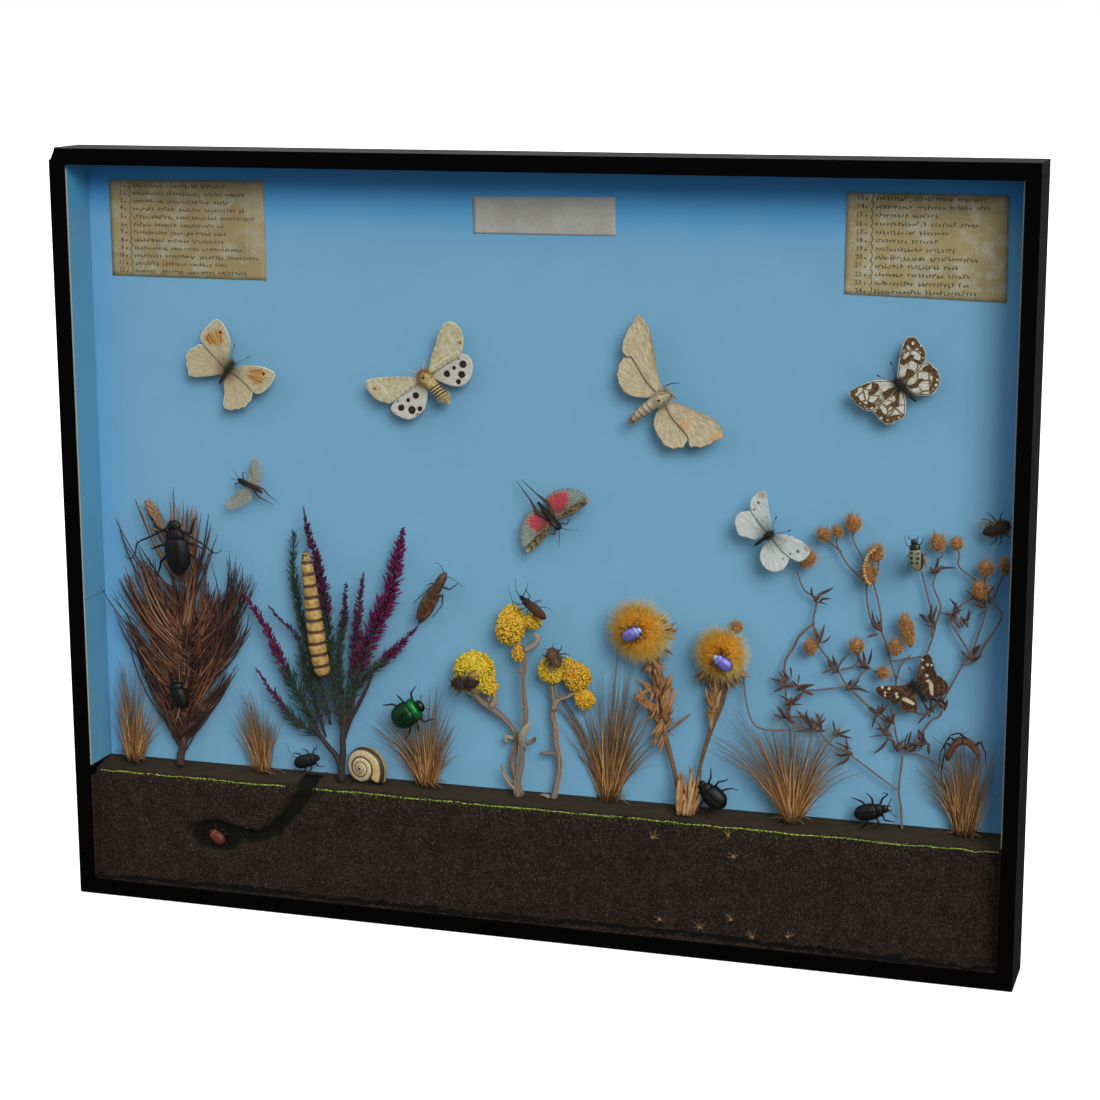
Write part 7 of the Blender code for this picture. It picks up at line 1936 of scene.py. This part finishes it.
def bee(name, node, tail, front, lift, width, wings, tints, seed):
    place = between(tail, front, lift)
    length = math.dist(tail, front)
    heap = Heap(seed)
    half = width / 2
    path = rod(heap, ((0, 0.5 * length, 0), (0, 0.4 * length, 0.3), (0, 0.18 * length, 0.6), (0, 0, 0.4),
            (0, -0.25 * length, 0.3), (0, -0.5 * length, 0)),
        (0.3 * half, 0.62 * half, 0.92 * half, 0.72 * half, 0.8 * half, 0.2 * half), 14, 0.7, 0.85,
        tint=tints[0])
    fur(heap, path, 0.0, 0.22, 260, 0.9, 0.2, tint=tints[0])
    fur(heap, path, 0.2, 0.52, 700, 1.3, 0.25, tint=tints[1])
    fur(heap, path, 0.5, 0.86, 420, 1.0, 0.9, tint=tints[2])
    fur(heap, path, 0.86, 1.0, 160, 1.4, 0.8, tint=tints[3])
    legs(heap, both_sides([[(0.5 * half, 0.2 * length, -0.4), (1.3 * half, 0.28 * length, -0.6),
                (1.6 * half, 0.45 * length, -1.4)],
                [(0.5 * half, 0.08 * length, -0.4), (1.5 * half, 0, -0.6), (1.9 * half, -0.16 * length,
                -1.4)],
                [(0.5 * half, 0, -0.4), (1.3 * half, -0.2 * length, -0.6), (1.5 * half, -0.42 * length,
                -1.4)]]), 0.0, (0.36, 0.3, 0.14))
    legs(heap, both_sides([[(0.25 * half, 0.5 * length, 0.4), (0.5 * half, 0.6 * length, 0.8),
                (0.9 * half, 0.66 * length, 0.4)]]), 0.0, (0.16, 0.15, 0.12))
    heap.build(name, bee_fur, "fur", node, place=place)
    clear = Wings(seed + 1, none=())
    for side in wings:
        outline = [(side * 0.4 * half, 0.12 * length), (side * 1.0 * half, 0.06 * length),
            (side * 1.5 * half, -0.2 * length), (side * 1.4 * half, -0.5 * length),
            (side * 0.9 * half, -0.58 * length), (side * 0.5 * half, -0.36 * length)]
        clear.sheet(outline, (side * 0.3 * half, 0.14 * length), 2.0, -0.4, count=5, thick=0.08)
    clear.build(name + "_wings", clear_wing, "fur", place=place)


bee_fur = hairy("bee_fur", (34, 24, 20), (150, 124, 84), (84, 54, 32))
clear_wing = Finish("clear_wing", rough=0.25, shine=0.5)
vein = clear_wing.read("vein")
clear_wing.drive(Base_Color=clear_wing.mix(vein.rise(0.22, 0.08), (122, 108, 84), (44, 32, 24)), Alpha=0.24
    + vein.rise(0.22, 0.08) * 0.6)
bee("bee_one", "bee_left", (-23.9, 132), (-38, 131), 19.6, 8.4, (-1, 1), (0.0, 0.18, 0.05, 0.1), 121)
bee("bee_two", "bee_right", (18, 142.8), (13.4, 152), 17, 7.6, (-1, 1), (0.9, 0.95, 0.9, 0.4), 123)
bee("bumble", "bumblebee", (226.4, 222), (239.0, 227.0), 8.4, 8.6, (-1,), (0.0, 0.3, 0.12, 0.45), 125)


# The banded grub: a plump dried larva stood against the heather, tan with one thin dark
# band at each joint, short hairs, and a small dark head at the top.

GRUB = ((-118.2, 194), (-117.6, 188), (-116.8, 181), (-115.4, 168), (-114, 156), (-112.6, 144), (-110.4, 132),
    (-109.6, 128.4))
grub = Heap(131)
path = smooth(np.column_stack([on_paper(GRUB, 17), (1.4, 2.8, 3.4, 4.0, 4.4, 4.6, 4.1, 2.2)]), 150)
share = np.linspace(0, 1, 150)
RINGS = 11
swell = 1 - 0.08 * abs(np.cos(np.pi * share * RINGS)) ** 7
sides = 26
strands(grub, path[None, :, :3], (path[:, 3] * swell)[None], sides, 0.92, tint=0.0)
points = grub.points[-1]
points += (0.16 * uneven(points, 2.2, 9))[:, None] * np.array((1, 1, 0.2))
fur(grub, path, 0.02, 0.98, 420, 1.1, 0.0, 0.045, tint=1.0)
for side in (-1, 1):
    root = on_paper(((-117.9 + side * 0.8, 192.4), (-117.8 + side * 1.3, 190.6)), 18.9)
    beads(grub, root, np.array([(side * 0.4, -1, 0.2)] * 2), (0.6, 0.45), 1.6)
finish = Finish("grub_skin", rough=0.5, shine=0.4)
along, tint = finish.read("along", "tint")
wobble = along * RINGS + (finish.noise(3, 3) - 0.5) * 0.16
beat = wobble.math("FRACT")
shade = finish.mix(finish.noise(2.6, 4).rise(0.35, 0.65), (142, 108, 56), (178, 146, 84))
band = beat.rise(0.74, 0.84).most(beat.rise(0.12, 0.04))
shade = (shade
    .coat(band * finish.noise(1.6, 2).rise(0.2, 0.36) * 0.9, 58, 26, 18)
    .coat(along.rise(0.05, 0.0) * 0.6, 116, 84, 44)
    .coat(tint.rise(0.5, 0.9), 190, 164, 110))
finish.drive(Base_Color=shade.coat(tint.rise(1.2, 1.5), 40, 24, 18))
finish.bump(finish.noise(0.8, 4) + finish.noise(2.4, 2), 0.25)
grub.build("moth_grub", finish, "grub_skin", "moth_grub")


# The snail shell: a banded snail's, cream, wound in a flat spiral of five whorls that widen to
# the mouth at the lower right, with fine growth lines, a dark seam that is partly its own colour and
# partly painted shade where the whorls meet, a dark band at the rim, and painted shade deep in the mouth.

SHELL_TILT = Matrix.Rotation(math.radians(-12), 4, "Y")
WHORLS, GROWTH = 4.4, 1.75  # turns, and how much larger each is than the one before
SHELL_R, MOUTH_R, SPIRE = 8.3, 4.944, 6.4  # the spiral's radius, the mouth's, and the spire's height
MOUTH_ANGLE = -36  # degrees
RIBS = 26  # growth ribs in a turn
LIP = 0.012  # the share of the tube that flares at the mouth
snail = Heap(132)
sides = 26
turn = np.linspace(0, 1, 280)  # 0 at the tip of the spire, 1 at the mouth
back_turns = (1 - turn) * WHORLS
scale = GROWTH ** -back_turns
angle = np.radians(MOUTH_ANGLE) + back_turns * 2 * np.pi
out = np.stack([np.cos(angle), np.sin(angle), 0 * angle], axis=1)
centre = (SHELL_R * scale)[:, None] * out + np.outer(SPIRE * (1 - scale) - 2.0, (0, 0, 1))
growth = 1 + 0.012 * np.sin(back_turns * 2 * np.pi * RIBS)
lip = 1 + 0.1 * np.clip((turn - (1 - LIP)) / LIP, 0, 1)
ring = np.arange(sides) * 2 * np.pi / sides
round_it = out[:, None] * np.cos(ring)[:, None] + np.outer(np.sin(ring), (0, 0, 0.95))
points = centre[:, None] + (MOUTH_R * scale * growth * lip)[:, None, None] * round_it
inner_lip = centre[-1] + (points[-1] - centre[-1]) * 0.82
# The throat closes the tube a little inside the mouth; its tint of 2 is painted nearly black there, as shade deep in
# the mouth.
throat = centre[-14] + (points[-14] - centre[-14]) * 0.7
snail.add(np.concatenate([points.reshape(-1, 3), inner_lip, throat]), tube(len(turn) + 2, sides),
    np.repeat([*turn, 1, 1], sides),
    np.concatenate([np.tile(ring / (2 * np.pi), len(turn)), np.repeat((0.0, 2.0), sides)]))
finish = Finish("snail_shell", rough=0.35, shine=0.45)
along, tint = finish.read("along", "tint")
shade = (finish.mix(along.wave(0.0092).rise(-0.4, 0.8) * 0.22 + finish.noise(1.5, 4).rise(0.4, 0.6) * 0.3,
        (192, 176, 138), (128, 108, 76))
    .coat(along.rise(0.9, 0.97) * 0.45, 176, 150, 70)
    .coat(abs(tint - 0.078).rise(0.062, 0.04) * along.rise(0.72, 0.8) * 0.95, 36, 25, 21)
    # The seam where the whorls meet: partly the shell's own dark line, partly painted shade in the crease.
    .coat(tint.rise(0.24, 0.28) * tint.rise(0.56, 0.5) * 0.95, 42, 30, 23))
# Painted shade: the throat deep in the mouth, tint 2, is painted nearly black.
finish.drive(Base_Color=shade.coat(tint.rise(1.5, 1.9), 46, 34, 26))
finish.bump(along.wave(0.0046) * 0.2 + finish.noise(0.8, 3), 0.06)
snail.build("snail_shell", finish, "snail_shell", "snail_shell", place=Matrix.Translation((-92, BACKING_Y0 - 8, 78.5))
    @ Matrix.Rotation(math.pi / 2, 4, "X") @ SHELL_TILT)


# The hare's-foot clover: a branching dried plant. Thin grey-brown stems carry whorls of three
# narrow folded leaves and soft orange-brown flower heads whose hairs catch the light.

CLOVER_STEMS = (  # points in x and z, and a lift where it isn't 5
    ((191, 70), (190.4, 80), (189, 91), (190, 108), (188, 114), (186, 121), (185, 133), (186, 145), (183, 155)),
    ((186, 145), (188, 153), (193, 159)),
    ((185, 124), (180, 126), (163, 141), (157, 149), (147, 161), (145, 172), (146, 183), (140, 188), (136, 197)),
    ((145, 172), (138, 165), (135, 159), (131, 151), (131, 141), (132, 129), (134, 122), (141, 119), (149, 117),
        (154, 111), (164, 106), (188, 90)),
    ((163, 141), (167, 145), (172, 150), (177, 149)),
    ((163, 141), (146, 138), (139, 138), (132, 142)),
    ((147, 161), (145.4, 158), (144.6, 155)),
    ((159, 149), (166, 152), (167, 157), (167, 160)),
    ((183, 155), (181, 162), (178, 170), (175, 172), (172, 180), (170, 190), (171, 197)),
    ((178, 170), (178, 179), (175, 189), (173, 196)),
    ((174, 193), (176, 202), (175.4, 208)),
    ((170, 195), (168, 204), (163, 215), (164, 221)),
    ((169, 194), (167, 196), (161, 203), (156, 212), (156, 217)),
    ((158, 208), (152, 212), (150, 214)),
    ((200, 159), (202, 163), (204, 173), (203, 180), (200, 189), (197, 201)),
    ((183, 155), (192, 157), (200, 159)),
    ((204, 173), (207, 183), (206, 187), (203, 194), (204, 201), (201, 203)),
    ((204, 201), (205, 207), (207, 210), (205, 214)),
    ((192, 110), (196, 115), (204, 127), (207, 129), (209, 133), (210, 137), (218, 156), (222, 162)),
    ((222, 162), (220, 164), (212, 177), (213, 180), (217, 186), (223, 190), (226, 194)),
    ((224, 191), (227, 198), (228, 203)),
    ((225, 197), (215, 204), (215, 210), (214, 214)),
    ((222, 162), (223, 165), (229, 184), (228, 191)),
    ((218, 156), (225, 159), (228, 166), (236, 181), (232, 188), (236, 201), (237, 204)),
    ((192, 110), (200, 108), (211, 103)),
    ((141, 119, 5), (135, 118, 9), (126, 118, 14), (117, 120, 12), (112, 130, 7), (109.4, 142, 3), (106.6, 162, 4)),
)
CLOVER_HEADS = (  # x, z, half width, half length, lean in degrees, tone
    (191.5, 172, 3.9, 10.2, 14, 0.3), (186, 163, 4.2, 4.6, 0, 0.35), (142, 204, 4.0, 5.6, -40, 0.45),
    (144, 160, 3.6, 4.4, 10, 0.6), (167, 162, 4.1, 4.4, 0, 0.35),
    (180, 150, 3.6, 3.4, -80, 0.5), (175.4, 209, 4.4, 5.0, 0, 0.3), (172, 198.5, 4.3, 6.8, 8, 0.4),
    (164, 223, 4.4, 5.4, 0, 0.3), (156.4, 218.6, 3.0, 3.4, 10, 0.4), (149.8, 216.6, 3.9, 4.0, 30, 0.45),
    (196, 205.6, 4.0, 4.6, 0, 0.5), (205, 216, 4.3, 4.9, 0, 0.35), (226, 194, 4.6, 5.2, 10, 0.5),
    # The last head stands against the right wall: its dark tone is painted shade from the wall.
    (228.4, 204.6, 4.2, 4.4, 0, 0.45), (214, 216, 3.4, 3.6, 0, 0.35), (237.2, 206.6, 2.8, 5.6, 6, 0.85),
)
CLOVER_LEAVES = (
    (185, 124), (179, 129), (163, 141), (157, 149), (147, 161), (146, 183), (133, 130), (134, 122), (143, 121),
    (146, 119), (164, 107), (138, 138), (132, 142), (178, 171), (172, 152),
    (203, 176), (204, 201), (213, 180), (228, 186), (222, 160), (193, 112), (201, 116), (203, 130), (209, 135),
    (188, 112), (150, 119), (183, 118), (156, 116), (227, 189), (219, 176),
)


def clover_head(heap, x, z, lift, half, long, lean, tone):
    """A soft flower head: an egg of small florets, half and long are its half sizes, with hairs through them."""
    chance = heap.chance
    way = np.array((-math.sin(math.radians(lean)), 0, math.cos(math.radians(lean))))
    middle = np.array((x, BACKING_Y0 - lift, z))
    t = np.linspace(-1, 1, 12)
    bulge = np.sqrt(np.clip(1 - t * t, 0.03, 1))
    strands(heap, (middle + np.outer(t * long * 0.85, way))[None], bulge * half * 0.66, 12, 0.9, tint=tone)
    count = int(23 * long)
    ways = scatter(heap, count)
    reach = np.array((half, half * 0.85, long))
    side = np.array((way[2], 0, -way[0]))
    root = middle + (ways[:, 0:1] * side * reach[0] + ways[:, 1:2] * np.array((0, 1, 0)) * reach[1] + ways[:, 2:3]
        * way * reach[2]) * 0.62
    out = ways[:, 0:1] * side + ways[:, 1:2] * np.array((0, 1, 0)) + ways[:, 2:3] * way + way * 0.4
    out /= np.linalg.norm(out, axis=1)[:, None]
    beads(heap, kept_in(root), out, chance.uniform(0.45, 0.75, count), tone + chance.uniform(-0.15, 0.15, count), 1.5,
        4)
    count = int(45 * long)
    ways = scatter(heap, count)
    root = middle + (ways[:, 0:1] * side * reach[0] + ways[:, 1:2] * np.array((0, 1, 0)) * reach[1] + ways[:, 2:3]
        * way * reach[2]) * 0.66
    out = ways[:, 0:1] * side + ways[:, 1:2] * np.array((0, 1, 0)) + ways[:, 2:3] * way + way * 0.45 + chance.normal(
        size=(count, 3)) * 0.2
    long_hair = half * chance.uniform(0.42, 0.62, count)[:, None]
    strands(heap, kept_in(np.stack([root, root + out * long_hair], axis=1)), (0.12, 0.04), 3, tint=1.25)


clover = Heap(141)
chance = clover.chance
for stem in CLOVER_STEMS[:-1]:
    points = on_paper(stem, 5)
    points[1:-1] += chance.normal(size=(len(points) - 2, 3)) * (0.25, 0.5, 0.25)
    rod(clover, points, np.linspace(0.62 if len(stem) > 6 else 0.48, 0.42, len(stem)), 7, 1.5, tint=2.0)
twig = Heap(142)
rod(twig, on_paper(CLOVER_STEMS[-1], 18), 0.45, 7, 1.5, tint=2.0)
for x, z, half, long, lean, tone in CLOVER_HEADS:
    clover_head(clover, x, z, 8.2, half, long, lean, tone)
clover_head(twig, 106.4, 167, 6, 3.4, 3.3, 0, 0.62)
curve = smooth(on_paper(((174.6, 211.4), (172.2, 208.8), (170.7, 204.6), (170.4, 200.5), (171.7, 196.5),
            (173.7, 194.1)), 12.2), 26)
beads(clover, curve[::2], np.tile((0.3, -1, 0.2), (13, 1)) + chance.normal(0, 0.3, (13, 3)),
    chance.uniform(0.85, 1.2, 13), 1.25)
for x, z in CLOVER_LEAVES:
    turn = chance.uniform(-15, 110)
    for k in range(chance.integers(4, 8)):
        angle = math.radians(turn + k * chance.uniform(14, 40))
        reach = chance.uniform(4.5, 10)
        root = np.array((x, BACKING_Y0 - 5.4, z)) + chance.normal(size=3) * (1.2, 0.5, 1.2)
        tip = root + reach * np.array((math.cos(angle), chance.uniform(-0.45, 0.1), math.sin(angle)))
        t = np.linspace(0, 1, 7)[:, None]
        path = root + (tip - root) * t + np.sin(np.pi * t) * chance.normal(size=3) * (0.45, 0.4, 0.45)
        profile = np.sin(np.pi * np.clip(0.1 + 0.87 * t[:, 0], 0, 1)) ** 0.8 * chance.uniform(0.4, 0.9)
        facing = np.array((chance.uniform(-0.6, 0.6), 1, chance.uniform(-0.5, 0.5)))
        strands(clover, kept_in(path)[None], profile, 5, 0.3, facing, chance.uniform(2.4, 3.0))
    sheath = np.array((x, BACKING_Y0 - 5.6, z)) + np.array((math.cos(math.radians(turn + 50)), 0,
            math.sin(math.radians(turn + 50)))) * np.array((-1, 1, 3.4))[:, None]
    strands(clover, sheath + chance.normal(size=(2, 1, 3)) * (0.6, 0.3, 0.6), (0.4, 1.0, 0.3), 6, 0.7, tint=2.45)
finish = Finish("clover", rough=0.8, shine=0.25)
tint, along = finish.read("tint", "along")
shade = finish.ramp(tint * (1 / 3), (0, 156, 108, 56), (0.2, 132, 88, 48), (0.32, 96, 64, 42), (0.4, 176, 138, 88),
    (0.52, 206, 178, 128),
    (0.62, 108, 92, 82), (0.72, 104, 88, 80), (0.84, 92, 68, 58), (1, 56, 44, 44))
shade = (shade
    .coat(along.rise(0.6, 1) * tint.rise(1.1, 0.9) * 0.5, 196, 140, 84)
    .coat(finish.noise(2.4, 4).rise(0.5, 0.7) * 0.4, 60, 42, 34))
finish.drive(Base_Color=shade).bump(finish.noise(0.7, 3), 0.1)
clover.build("clover", finish, "dry_twigs", "clover_main")
twig.build("clover_twig", finish, "dry_twigs", "clover_side")
